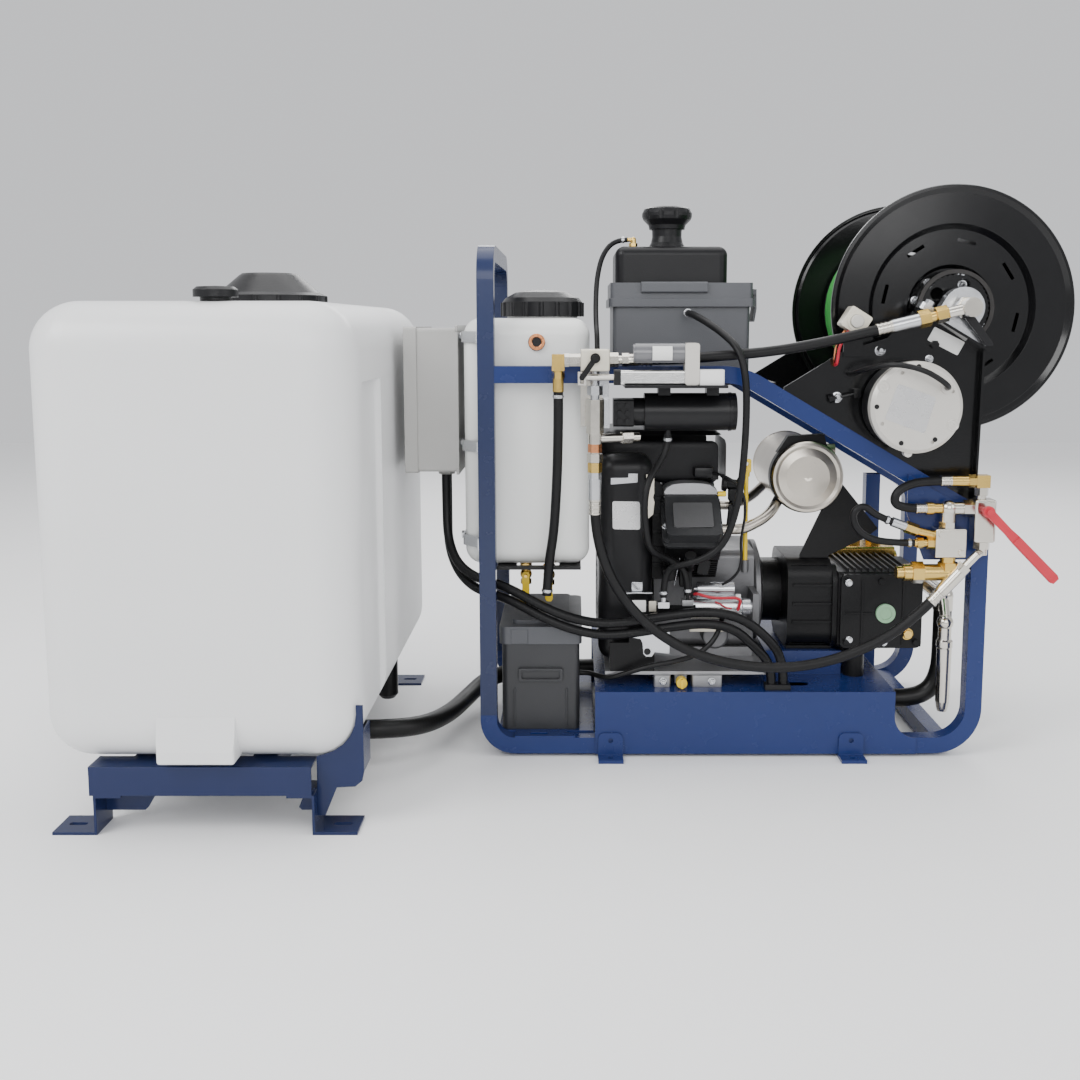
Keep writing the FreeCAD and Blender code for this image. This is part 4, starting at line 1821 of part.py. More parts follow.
def reel_bracket(y0, y1, shelf_out):
    """A plate on the diagonal with a folded shelf for the bearing and a folded right edge."""
    shelf_left, shelf_right = bracket_outline()
    right = POST_X - TUBE / 2 + 12
    outline = [
        (BRACKET_LEFT, diagonal_z(BRACKET_LEFT)), (BRACKET_LEFT, diagonal_top_z(BRACKET_LEFT) + 8), (244, 941),
        (348, 973), shelf_left, shelf_right, (right, 660), (right, diagonal_z(right)),
    ]
    plate = plate_xz(outline, y0, y1)
    dx = BRACKET_SHEET * math.sin(DIAGONAL_ANGLE)
    dz = BRACKET_SHEET * math.cos(DIAGONAL_ANGLE)
    ya, yb = (y0 - SHELF_DEPTH, y1) if shelf_out < 0 else (y0, y1 + SHELF_DEPTH)
    shelf = plate_xz(
        [shelf_left, shelf_right, (shelf_right[0] - dx, shelf_right[1] - dz),
         (shelf_left[0] - dx, shelf_left[1] - dz)],
        ya, yb,
    )
    fold_a, fold_b = (y0 - 22, y1) if shelf_out < 0 else (y0, y1 + 22)
    edge = plate_xz(
        [shelf_right, (right, 660), (right, diagonal_top_z(right) + 10), (right - 5, diagonal_top_z(right) + 10),
         (right - 5, 660), (shelf_right[0] - 5, shelf_right[1])],
        fold_a, fold_b,
    )
    plate = fuse([plate, shelf, edge])
    if shelf_out < 0:
        plate = plate.cut(rod(24, (MOTOR_X, y0 - 1, MOTOR_Z), (MOTOR_X, y1 + 1, MOTOR_Z)))
    return plate


BRACKET_LEFT = 114.0


def reel_brackets():
    front = reel_bracket(PLATE_FRONT, PLATE_BACK, -1)
    rear = reel_bracket(REAR_PLATE_FRONT, REAR_PLATE_FRONT + BRACKET_SHEET, 1)
    front_bolts = [
        hexagon(17, (x, PLATE_FRONT + 1, z), (x, PLATE_FRONT - 10, z)) for x, z in ((330, 948), (452, 958))
    ]
    adjuster = [
        rod(4, (222, PLATE_FRONT - 14, 836), (274, PLATE_FRONT - 14, 848)),
        hexagon(16, (214, PLATE_FRONT - 14, 834), (226, PLATE_FRONT - 14, 837)),
        box(268, 284, PLATE_FRONT - 24, PLATE_FRONT + 1, 838, 858),
    ]
    switch_arm = plate_xz([(246, 930), (290, 930), (290, 1012), (246, 996)], PLATE_FRONT - 5, PLATE_FRONT)
    return group([fuse([front, switch_arm] + front_bolts + adjuster), rear])


def reel_motor():
    """The round geared motor on the front bracket, with its end cap, screws and cable gland."""
    body = revolve_y(
        [(0, MOTOR_FRONT), (MOTOR_R - 8, MOTOR_FRONT), (MOTOR_R, MOTOR_FRONT + 7), (MOTOR_R, MOTOR_FRONT + 30),
         (MOTOR_R - 3, MOTOR_FRONT + 32), (MOTOR_R - 3, PLATE_FRONT - 14), (0, PLATE_FRONT - 14)],
        MOTOR_X, MOTOR_Z,
    )
    flange_plate = rod(62, (MOTOR_X, PLATE_FRONT - 15, MOTOR_Z), (MOTOR_X, PLATE_FRONT, MOTOR_Z))
    bore = rod(9 + RUNNING_FIT, (MOTOR_X, PLATE_FRONT - 60, MOTOR_Z), (MOTOR_X, PLATE_FRONT + 1, MOTOR_Z))
    screws = []
    for index in range(4):
        angle = math.radians(90 * index + 205)
        x, z = MOTOR_X + 84 * math.cos(angle), MOTOR_Z + 84 * math.sin(angle)
        screws.append(rod(4, (x, MOTOR_FRONT - 1, z), (x, MOTOR_FRONT + 5, z)))
    gland = rod(
        13, (MOTOR_GLAND[0], MOTOR_FRONT - 7, MOTOR_GLAND[1]), (MOTOR_GLAND[0], MOTOR_FRONT + 1, MOTOR_GLAND[1])
    )
    lug = rod(
        9, (MOTOR_X - 14, MOTOR_FRONT + 10, MOTOR_Z - MOTOR_R), (MOTOR_X - 14, MOTOR_FRONT + 28, MOTOR_Z - MOTOR_R)
    )
    motor = fuse([body, flange_plate, gland, lug]).cut(bore)
    return motor.cut(Part.makeCompound(screws))


MOTOR_GLAND = (448.0, 866.0)


def motor_sprocket():
    shaft = rod(9, (MOTOR_X, PLATE_FRONT - 50, MOTOR_Z), (MOTOR_X, CHAIN_Y + 6, MOTOR_Z))
    wheel = sprocket(MOTOR_TEETH, CHAIN_Y - SPROCKET_SHEET / 2, CHAIN_Y + SPROCKET_SHEET / 2, MOTOR_X, MOTOR_Z)
    hub = rod(14, (MOTOR_X, CHAIN_Y - 10, MOTOR_Z), (MOTOR_X, CHAIN_Y + 5, MOTOR_Z))
    return fuse([shaft, wheel, hub])


def drive_chain():
    """The roller chain round both chain wheels: side plates as two bands, with a roller at every pitch."""
    big, small = pitch_radius(REEL_TEETH), pitch_radius(MOTOR_TEETH)
    dx, dz = MOTOR_X - REEL_X, MOTOR_Z - REEL_Z
    distance = math.hypot(dx, dz)
    heading = math.atan2(dz, dx)
    lean = math.acos((big - small) / distance)
    start = {}
    for name, x, z, radius in (("reel", REEL_X, REEL_Z, big), ("motor", MOTOR_X, MOTOR_Z, small)):
        for side in (1, -1):
            angle = heading + side * lean
            start[name, side] = vec(x + radius * math.cos(angle), CHAIN_Y, z + radius * math.sin(angle))
    far_reel = vec(REEL_X - big * math.cos(heading), CHAIN_Y, REEL_Z - big * math.sin(heading))
    far_motor = vec(MOTOR_X + small * math.cos(heading), CHAIN_Y, MOTOR_Z + small * math.sin(heading))
    loop = Part.Wire([
        Part.LineSegment(start["reel", 1], start["motor", 1]).toShape(),
        Part.Arc(start["motor", 1], far_motor, start["motor", -1]).toShape(),
        Part.LineSegment(start["motor", -1], start["reel", -1]).toShape(),
        Part.Arc(start["reel", -1], far_reel, start["reel", 1]).toShape(),
    ])
    half_height = 4.6
    outer = Part.Face(loop.makeOffset2D(half_height))
    inner = Part.Face(loop.makeOffset2D(-half_height))
    ring = outer.cut(inner)
    bands = []
    for y0 in (-SPROCKET_SHEET / 2 - 2.4, SPROCKET_SHEET / 2 + 0.9):
        band = ring.extrude(vec(0, 1.5, 0))
        band.translate(vec(0, y0, 0))
        bands.append(band)
    count = round(loop.Length / CHAIN_PITCH)
    rollers = [
        rod(
            ROLLER_R, (p.x, CHAIN_Y - SPROCKET_SHEET / 2 - 2.4, p.z),
            (p.x, CHAIN_Y + SPROCKET_SHEET / 2 + 2.4, p.z),
        )
        for p in loop.discretize(Number=count + 1)[:-1]
    ]
    return fuse(bands + rollers)


def reel_swivel():
    """The nickel swivel at the axle's front end, its torque arm, and the brass inlet towards the feed hose."""
    y0, y1 = AXLE_FRONT - MOVING_GAP, AXLE_FRONT - 50
    body = rod(21, (REEL_X, y0, REEL_Z), (REEL_X, y1, REEL_Z))
    nut = hexagon(46, (REEL_X, y0 - 6, REEL_Z), (REEL_X, y0 - 16, REEL_Z))
    middle = y1 + 18
    way_x, way_z = SWIVEL_WAY
    def along(distance):
        return (REEL_X - way_x * distance, middle, REEL_Z - way_z * distance)
    stem = rod(12, along(0), along(52))
    brass_nut = hexagon(32, along(52), along(78))
    ferrule = rod(11, along(78), along(92))
    big_nut = hexagon(34, along(92), along(116))
    crimp = rod(15, along(116), along(176))
    arm = plate_xz([
        (REEL_X - 10, REEL_Z - 16), (REEL_X + 14, REEL_Z - 16), (REEL_X + 60, REEL_Z - 78),
        (REEL_X + 44, REEL_Z - 84),
    ], y0 - 10, y0 - 6)
    tab = box(REEL_X + 44, REEL_X + 60, y0 - 10, FRONT_BEARING_Y - 19, REEL_Z - 84, REEL_Z - 78)
    return screwed_together([fuse([body, nut, stem, arm, tab]), fuse([brass_nut, ferrule, big_nut]), crimp])


SWIVEL_WAY = (0.972, 0.235)
SWIVEL_Y = AXLE_FRONT - 50 + 18


SWITCH_X = 264.0
SWITCH_Z = 1010.0
SWITCH_TILT = 32.0
BUTTON_R = 15.0
BUTTON_TRAVEL = 4.0


def switch_turn(shape):
    shape.rotate(vec(0, 0, 0), vec(0, 1, 0), SWITCH_TILT)
    shape.translate(vec(SWITCH_X, 0, SWITCH_Z))
    return shape


SWITCH_FRONT = PLATE_FRONT - 48
SWITCH_BACK = PLATE_FRONT - 5


def reel_switch():
    """A square switch body on its arm, open in front for the button."""
    case = rounded_box(-27, 27, SWITCH_FRONT, SWITCH_BACK, -25, 25, 5, axes=(1,))
    well = rod(BUTTON_R + MOVING_GAP, (0, SWITCH_FRONT - 1, 0), (0, SWITCH_FRONT + 22, 0))
    ring = pipe(21, BUTTON_R + MOVING_GAP, (0, SWITCH_FRONT - 3, 0), (0, SWITCH_FRONT + 1, 0))
    return switch_turn(fuse([case, ring]).cut(well))


def reel_button():
    cap = rod(BUTTON_R, (0, SWITCH_FRONT - 3 - BUTTON_TRAVEL - 2, 0), (0, SWITCH_FRONT + 14, 0))
    cap = cap.makeFillet(2.5, [edge for edge in cap.Edges if edge.CenterOfMass.y < SWITCH_FRONT - 4])
    return switch_turn(cap)


# Water controls

VALVE_X = -318.5
VALVE_REACH = 37.5
VALVE_Y = -SKID_HALF_WIDTH - VALVE_REACH
VALVE_BOTTOM = 901.0
VALVE_TOP = 949.0
VALVE_FRONT = -350.0
VALVE_STEM_Z = 930.0
VALVE_STEM_R = 7.0
PORT_Z = 925.0
BYPASS_X = -400.0
BYPASS_TOP = 855.0
STACK_HOSE_TOP = 614.0
FEED_HOSE_X = -226.0
FEED_HOSE_Y = -310.0
ACTUATOR_Y = -352.0
ACTUATOR_Z = 888.0
ROD_R = 7.0
ROD_PIN_X = -347.5
ROD_EYE_HALF = 9.0
ACTUATOR_END = -278.0
LEVER_PIN_R = 3.0
LEVER_PIN_ROOM = 1.3


def turned_stack(steps, x, y):
    """An upright stack of round and hexagonal fittings: (kind, size, bottom, top) from the top down."""
    pieces = []
    for kind, size, bottom, top in steps:
        make = hexagon if kind == "hex" else rod
        pieces.append(make(size, (x, y, bottom), (x, y, top)))
    return fuse(pieces)


def valve_block():
    """The three-way valve on its plate, with its elbow, nipples and the stack that feeds the pump hose."""
    body = rounded_box(
        VALVE_X - 32, VALVE_X + 32, VALVE_FRONT, VALVE_Y + 25, VALVE_BOTTOM, VALVE_TOP, 3
    )
    stem_hole = rod(
        VALVE_STEM_R + RUNNING_FIT, (VALVE_X, VALVE_FRONT - 1, VALVE_STEM_Z), (VALVE_X, VALVE_Y, VALVE_STEM_Z)
    )
    body = body.cut(stem_hole)
    left_nipple = hexagon(24, (VALVE_X - 31, VALVE_Y, PORT_Z), (VALVE_X - 58, VALVE_Y, PORT_Z))
    right_nipple = fuse([
        hexagon(28, (VALVE_X + 31, FEED_HOSE_Y, PORT_Z), (VALVE_X + 52, FEED_HOSE_Y, PORT_Z)),
        rod(10, (VALVE_X + 50, FEED_HOSE_Y, PORT_Z), (VALVE_X + 62, FEED_HOSE_Y, PORT_Z)),
        hexagon(26, (VALVE_X + 60, FEED_HOSE_Y, PORT_Z), (VALVE_X + 76, FEED_HOSE_Y, PORT_Z)),
        rod(14, (VALVE_X + 74, FEED_HOSE_Y, PORT_Z), (FEED_HOSE_X, FEED_HOSE_Y, PORT_Z)),
    ])
    elbow = fuse([
        hexagon(26, (VALVE_X - 57, VALVE_Y, PORT_Z), (BYPASS_X + 13, VALVE_Y, PORT_Z)),
        box(BYPASS_X - 14, BYPASS_X + 14, VALVE_Y - 13, VALVE_Y + 13, PORT_Z - 24, PORT_Z + 13),
        rod(11, (BYPASS_X, VALVE_Y, 896), (BYPASS_X, VALVE_Y, PORT_Z - 20)),
        hexagon(25, (BYPASS_X, VALVE_Y, 884), (BYPASS_X, VALVE_Y, 898)),
        rod(12.5, (BYPASS_X, VALVE_Y, BYPASS_TOP), (BYPASS_X, VALVE_Y, 885)),
    ])
    plate = box(VALVE_X - 32, VALVE_X + 32, VALVE_Y + 25, VALVE_Y + 28, 776, VALVE_TOP)
    spacer = box(VALVE_X - 20, VALVE_X + 20, VALVE_Y + 27, -SKID_HALF_WIDTH, DECK_TOP + 4, RAIL_TOP - 6)
    hanger = box(VALVE_X + 20, VALVE_X + 32, VALVE_Y - 20, VALVE_Y + 26, 776, 838)
    bracket = fuse([plate, spacer, hanger])
    nickel = turned_stack([
        ("rod", 10, 836, VALVE_BOTTOM + 1), ("hex", 30, 848, 868), ("hex", 34, 762, 838), ("rod", 15, 739, 763),
    ], VALVE_X, VALVE_Y)
    tee = rod(10, (VALVE_X, VALVE_Y, 751), (VALVE_X + 100, VALVE_Y + 40, 751))
    tee_nut = hexagon(24, (VALVE_X + 60, VALVE_Y + 24, 751), (VALVE_X + 84, VALVE_Y + 33.6, 751))
    nickel = fuse([nickel, tee, tee_nut])
    copper = turned_stack([("hex", 27, 720, 739)], VALVE_X, VALVE_Y)
    middle = turned_stack(
        [("rod", 11, 716, 720), ("hex", 31, 698, 717), ("rod", 12, 697, 699)], VALVE_X, VALVE_Y
    )
    brass = turned_stack([("hex", 28, 675, 697)], VALVE_X, VALVE_Y)
    crimp = turned_stack([("hex", 26, 658, 675), ("rod", 14.5, STACK_HOSE_TOP, 660)], VALVE_X, VALVE_Y)
    return screwed_together(
        [body, left_nipple, right_nipple, elbow, bracket, nickel, copper, middle, brass, crimp]
    )


def valve_lever():
    """The valve's stem and lever, with the pin that rides in the slot of the actuator's rod."""
    back, front = VALVE_FRONT - 12, VALVE_FRONT - 17
    stem = rod(VALVE_STEM_R, (VALVE_X, VALVE_Y - SEAT_GAP, VALVE_STEM_Z), (VALVE_X, back, VALVE_STEM_Z))
    hub = rod(11, (VALVE_X, VALVE_FRONT - 4, VALVE_STEM_Z), (VALVE_X, front - 2, VALVE_STEM_Z))
    nut = hexagon(13, (VALVE_X, front - 1, VALVE_STEM_Z), (VALVE_X, front - 7, VALVE_STEM_Z))
    lean = math.atan2(ROD_PIN_X - VALVE_X, ACTUATOR_Z - VALVE_STEM_Z)
    side_x, side_z = 6 * math.cos(lean), -6 * math.sin(lean)
    arm = plate_xz([
        (VALVE_X - side_x, VALVE_STEM_Z - side_z), (VALVE_X + side_x, VALVE_STEM_Z + side_z),
        (ROD_PIN_X + side_x, ACTUATOR_Z + side_z), (ROD_PIN_X - side_x, ACTUATOR_Z - side_z),
    ], front, back)
    eye = rod(6, (ROD_PIN_X, back, ACTUATOR_Z), (ROD_PIN_X, front, ACTUATOR_Z))
    pin = rod(LEVER_PIN_R, (ROD_PIN_X, back - 1, ACTUATOR_Z), (ROD_PIN_X, ACTUATOR_Y + 6, ACTUATOR_Z))
    return fuse([stem, hub, nut, arm, eye, pin])


def actuator_body():
    """The linear actuator on its bracket: extruded cylinder, front seal cap, gear block and motor tube."""
    y = ACTUATOR_Y
    barrel = rounded_box(-264, -123, y - 17, y + 17, ACTUATOR_Z - 16, ACTUATOR_Z + 16, 5, axes=(0,))
    grooves = [
        box(-262, -126, y - 18, y - 15.5, ACTUATOR_Z + dz - 1.5, ACTUATOR_Z + dz + 1.5) for dz in (-8, 8)
    ]
    barrel = barrel.cut(Part.makeCompound(grooves))
    front_cap = rounded_box(
        ACTUATOR_END, -263, y - 18, y + 18, ACTUATOR_Z - 16.5, ACTUATOR_Z + 17, 4, axes=(0,)
    )
    bore = rod(ROD_R + RUNNING_FIT, (ACTUATOR_END - 1, y, ACTUATOR_Z), (-140, y, ACTUATOR_Z))
    gear_block = rounded_box(-124, -93, y - 25, y + 25, DECK_TOP, 963, 6, axes=(1,))
    motor = rod(22, (-231, y, 941), (-123, y, 941))
    motor_cap = rod(20, (-236, y, 941), (-230, y, 941))
    foot = box(-94, -38, y - 24, y + 24, DECK_TOP, ACTUATOR_Z + 17)
    foot = foot.makeFillet(5, edges_along(foot, 2))
    pad = box(-250, -224, y - 10, y + 10, DECK_TOP, ACTUATOR_Z - 15)
    return fuse([barrel.cut(bore), front_cap.cut(bore), gear_block, motor, motor_cap, foot, pad])


def actuator_rod():
    """The actuator's rod and its end block, with the upright slot for the lever's pin."""
    y = ACTUATOR_Y
    shaft = rod(ROD_R, (ROD_PIN_X + ROD_EYE_HALF - 1, y, ACTUATOR_Z), (-210, y, ACTUATOR_Z))
    block = box(
        ROD_PIN_X - ROD_EYE_HALF, ROD_PIN_X + ROD_EYE_HALF, y - 8, y + 8, ACTUATOR_Z - 17, ACTUATOR_Z + 12
    )
    half_slot = LEVER_PIN_R + LEVER_PIN_ROOM
    slot = box(ROD_PIN_X - half_slot, ROD_PIN_X + half_slot, y - 9, y + 9, ACTUATOR_Z - 14, ACTUATOR_Z + 8)
    return fuse([shaft, block]).cut(slot)


MANIFOLD_REACH = 48.5
MANIFOLD_Y0 = -SKID_HALF_WIDTH - MANIFOLD_REACH
MANIFOLD_Y1 = -SKID_HALF_WIDTH - GUSSET_SHEET
BALL_X = 551.0
BALL_Z = 592.0
LEVER_Y = -366.0
NIPPLE_Z = 654.0
MANIFOLD_Y = (MANIFOLD_Y0 + MANIFOLD_Y1) / 2
LOOP_TOP = (482.0, MANIFOLD_Y, NIPPLE_Z)
LOOP_END = (428.0, MANIFOLD_Y, BALL_Z)
PUMP_HOSE_END = (462.0, -336.0, 406.0)
PUMP_HOSE_WAY = (0.6717, 0.7408)
RELIEF_START = (404.0, MANIFOLD_Y, 513.0)
RELIEF_END = (352.0, MANIFOLD_Y, 562.0)
RELIEF_WAY = (0.94, -0.341)


def regulator_block():
    """The outlet manifold on the corner plate: block, elbow, ball valve, brass unloader and hose ends."""
    y = MANIFOLD_Y
    block = rounded_box(446, 516, MANIFOLD_Y0, MANIFOLD_Y1, 482, 548, 4)
    block_bolts = [
        hexagon(13, (x, MANIFOLD_Y0 - 7, z), (x, MANIFOLD_Y0 + 1, z)) for x, z in ((458, 536), (504, 494))
    ]
    riser = fuse([
        hexagon(34, (478, y, 547), (478, y, 562)), rod(17, (478, y, 560), (478, y, 592)),
        Part.makeSphere(19, vec(478, y, 592)), rod(15, (478, y, 592), (534, y, 592)),
        hexagon(34, (510, y, 592), (534, y, 592)),
    ])
    steel = fuse([block] + block_bolts + [riser])
    valve_body = rounded_box(532, 580, y - 21.5, y + 21.5, 516, 614, 6)
    valve_body = valve_body.cut(rod(6 + RUNNING_FIT, (BALL_X, y - 30, BALL_Z), (BALL_X, y - 4, BALL_Z)))
    neck = rod(11, (BALL_X, y, 612), (BALL_X, y, 628))
    nut = hexagon(27, (BALL_X, y, 622), (BALL_X, y, 640))
    outlet = hexagon(32, (556, y, 500), (556, y, 518))
    outlet_cap = rod(13, (556, y, 486), (556, y, 502))
    valve = fuse([valve_body, neck, nut, outlet, outlet_cap])
    elbow = fuse([
        box(BALL_X - 15, BALL_X + 15, y - 14, y + 14, 640, NIPPLE_Z + 14),
        hexagon(26, (BALL_X - 14, y, NIPPLE_Z), (520, y, NIPPLE_Z)),
        rod(12, (521, y, NIPPLE_Z), (LOOP_TOP[0], y, NIPPLE_Z)),
    ])
    regulator = fuse([
        rod(17, (480, y - 4, 482.5), (480, y - 4, 440)), hexagon(40, (480, y - 4, 470), (480, y - 4, 452)),
        rod(19, (498, y - 4, 446), (380, y - 4, 446)), hexagon(44, (398, y - 4, 446), (424, y - 4, 446)),
        rod(14, (382, y - 4, 446), (364, y - 4, 446)), Part.makeSphere(20, vec(480, y - 4, 446)),
    ])
    left_port = fuse([
        hexagon(26, (447, y, 513), (432, y, 513)), rod(9, (434, y, 513), (RELIEF_START[0], y, 513)),
        hexagon(22, (424, y, 513), (410, y, 513)),
    ])
    crimp_start = vec(*RELIEF_END)
    relief_way = vec(RELIEF_WAY[0], 0, RELIEF_WAY[1])
    relief_crimp = rod(11, tuple(crimp_start), tuple(crimp_start + relief_way * 34))
    upper_port = fuse([
        hexagon(24, tuple(crimp_start + relief_way * 33), tuple(crimp_start + relief_way * 62)),
        rod(9, tuple(crimp_start + relief_way * 60), (447, y, 532)),
    ])
    loop_port = fuse([
        rod(12, (462, y, BALL_Z), (442, y, BALL_Z)), rod(15, (443, y, BALL_Z), LOOP_END),
    ])
    way = vec(PUMP_HOSE_WAY[0], 0, PUMP_HOSE_WAY[1])
    tip = vec(*PUMP_HOSE_END)
    crimp_end = tip + way * 62
    nut_end = tip + way * 78
    pump_crimp = fuse([
        rod(15.5, tuple(tip), tuple(crimp_end)), hexagon(30, tuple(tip + way * 60), tuple(nut_end)),
        rod(9, tuple(tip + way * 76), tuple(tip + way * 116)), rod(9, tuple(tip + way * 112), (556, y, 492)),
    ])
    brass = [elbow, regulator, left_port, upper_port]
    return screwed_together([steel, valve] + brass + [relief_crimp, loop_port, pump_crimp])


def red_lever():
    """The ball valve's long lever with its gold end sleeve."""
    y = MANIFOLD_Y
    stem = rod(6, (BALL_X, y - 4 - SEAT_GAP, BALL_Z), (BALL_X, LEVER_Y + 2, BALL_Z))
    hub = rod(13, (BALL_X, LEVER_Y + 6, BALL_Z), (BALL_X, LEVER_Y - 4, BALL_Z))
    nut = hexagon(13, (BALL_X, LEVER_Y - 3, BALL_Z), (BALL_X, LEVER_Y - 10, BALL_Z))
    run = math.hypot(158, 159)
    way = (158 / run, -159 / run)
    side = (-way[1], way[0])

    def place(along, across):
        return (BALL_X + way[0] * along + side[0] * across, BALL_Z + way[1] * along + side[1] * across)

    blade = plate_xz([
        place(0, 10), place(60, 9), place(90, 11), place(run - 12, 12), place(run - 4, 8),
        place(run - 4, -8), place(run - 12, -12), place(90, -11), place(60, -9), place(0, -10),
    ], LEVER_Y - 3, LEVER_Y + 3)
    grip = plate_xz([
        place(88, 10), place(run - 18, 11), place(run - 18, -11), place(88, -10),
    ], LEVER_Y - 6, LEVER_Y + 6)
    return fuse([stem, hub, nut, blade, grip])


AUX_X0 = -205.0
AUX_X1 = 4.0
AUX_Y = -246.0
AUX_Z = 805.0
AUX_R = 43.0
THIN_TOP = (-150.0, AUX_Y, 752.0)


def aux_motor():
    """The antifreeze transfer pump: black motor, terminal end and pump head, on a hanger under the deck."""
    motor = rod(AUX_R, (AUX_X0, AUX_Y, AUX_Z), (AUX_X1, AUX_Y, AUX_Z))
    end_ring = rod(AUX_R + 1.5, (AUX_X1 - 16, AUX_Y, AUX_Z), (AUX_X1 - 10, AUX_Y, AUX_Z))
    neck = rod(32, (AUX_X0 - 26, AUX_Y, AUX_Z), (AUX_X0 + 1, AUX_Y, AUX_Z))
    head = rounded_box(-276, -230, AUX_Y - 34, AUX_Y + 34, AUX_Z - 32, AUX_Z + 30, 6, axes=(0,))
    terminals = [rod(6, (x, AUX_Y - 42, z), (x, AUX_Y - 30, z)) for x in (-262, -244) for z in (786, 804, 822)]
    hangers = [box(x - 14, x + 14, AUX_Y - 20, AUX_Y + 20, AUX_Z + 30, DECK_BOTTOM) for x in (-160, -50)]
    barb = rod(6, (THIN_TOP[0], AUX_Y, THIN_TOP[2]), (THIN_TOP[0], AUX_Y, AUX_Z - 30))
    return fuse([motor, end_ring, neck, head, barb] + terminals + hangers)


# Hoses and cables

def high_pressure_hoses():
    """Pump outlet to valve, valve to reel swivel, and the short regulator loop."""
    end_x, end_y, end_z = PUMP_HOSE_END
    way_x, way_z = PUMP_HOSE_WAY
    pump_hose = hose("pump_hose", [
        (VALVE_X, VALVE_Y, STACK_HOSE_TOP), (VALVE_X, VALVE_Y, 548), (-290, -332, 448), (-240, -336, 369),
        (-170, -338, 304), (-80, -340, 256), (34, -342, 231), (147, -342, 231), (259, -340, 258),
        (end_x - way_x * 114, end_y, end_z - way_z * 114), PUMP_HOSE_END,
    ], HP_R)
    way_x, way_z = SWIVEL_WAY
    reel_end = (REEL_X - way_x * 176, SWIVEL_Y, REEL_Z - way_z * 176)
    feed_hose = hose("reel_feed_hose", [
        (FEED_HOSE_X, FEED_HOSE_Y, PORT_Z), (-150, FEED_HOSE_Y, PORT_Z), (-50, -296, 932), (60, -292, 941),
        (160, -306, 957), (reel_end[0] - way_x * 80, SWIVEL_Y, reel_end[2] - way_z * 80), reel_end,
    ], HP_R)
    loop_hose = hose("regulator_loop", [
        LOOP_TOP, (442, MANIFOLD_Y, NIPPLE_Z), (394, -318, 650), (358, -322, 632), (352, -322, 604),
        (384, MANIFOLD_Y, BALL_Z), LOOP_END,
    ], 10)
    return group([pump_hose, feed_hose, loop_hose])


BYPASS_END = (-428.0, -262.0, 380.0)
THIN_ONE_END = (-157.0, -258.0, 374.0)
THIN_TWO_END = (-99.0, -236.0, 374.0)
CASE_OUTLET = (-95.0, CASE_FRONT - 12, 1030.0)


def low_pressure_hoses():
    """Bypass hose, the two thin hoses in front of the engine, the fuel tank's vent and the relief hose."""
    bypass = hose("bypass_hose", [
        (BYPASS_X, VALVE_Y, BYPASS_TOP), (BYPASS_X, VALVE_Y, 760), (-404, -310, 640), (-411, -286, 530),
        (-424, -263, 452), BYPASS_END,
    ], BYPASS_R)
    thin_one = hose("thin_hose_one", [
        CASE_OUTLET, (CASE_OUTLET[0], -156, CASE_OUTLET[2]), (-76, -212, 1018), (-36, -272, 988),
        (0, -322, 950),
        (14, -336, 890), (17, -334, 810), (15, -328, 725), (9, -324, 645), (-3, -320, 575), (-25, -316, 512),
        (-62, -310, 478), (-112, -290, 458), (THIN_ONE_END[0], THIN_ONE_END[1], 440), THIN_ONE_END,
    ], THIN_R)
    thin_two = hose("thin_hose_two", [
        THIN_TOP, (THIN_TOP[0], THIN_TOP[1], 722), (-172, -262, 686), (-198, -290, 650), (-207, -298, 596),
        (-202, -298, 540), (-192, -284, 490), (-150, -246, 462), (THIN_TWO_END[0], THIN_TWO_END[1], 436),
        THIN_TWO_END,
    ], THIN_R)
    vent = hose("vent_hose", [
        VENT_BARB, (-266, -50, 1206), (-296, -66, 1172), (-310, -96, 1118), (-314, -138, 1058),
        (-314, -186, 1004),
        (-312, -238, 972), (-312, -238, 922),
    ], VENT_R)
    relief = hose("relief_hose", [
        RELIEF_START, (352, MANIFOLD_Y, 513), (298, MANIFOLD_Y, 523), (268, -312, 550), (264, -310, 584),
        (288, -312, 600), (RELIEF_END[0] - RELIEF_WAY[0] * 38, MANIFOLD_Y, RELIEF_END[2] - RELIEF_WAY[1] * 38),
        RELIEF_END,
    ], THIN_R)
    clip = fuse([
        box(-324, -300, -268, -262, RAIL_TOP, 936), box(-324, -300, -268, -230, 928, 934),
    ])
    clip = clip.cut(rod(VENT_R, (-312, -238, 920), (-312, -238, 950)))
    return group([bypass, thin_one, thin_two, vent, relief, clip])


def suction_hose():
    """The thick hose from the tank's sump to the pump inlet, behind the battery and through the base."""
    return hose("suction_hose", [
        (SUMP_X + 52, SUMP_Y, SUMP_Z), (-796, SUMP_Y, SUMP_Z), (-716, -270, 70), (-668, -156, 60),
        (-636, -20, 58),
        (-596, 78, 74), (-520, 112, 86), (-400, 118, 92), (-250, 118, 94), (-80, 80, 98), (80, 0, 100),
        (230, -84, 100), (340, -136, 98), (430, -148, 94), (498, -149, 108), (526, -150, 160),
        (INLET_X, INLET_Y, 240), (INLET_X, INLET_Y, INLET_HOSE_TOP),
    ], SUCTION_R)


LOOM_BOX_Z = 646.0
LOOM_FOOT_XS = (124.0, 96.0)
LOOM_FOOT_Y = -264.0
LOOM_FOOT_Z = 170.0


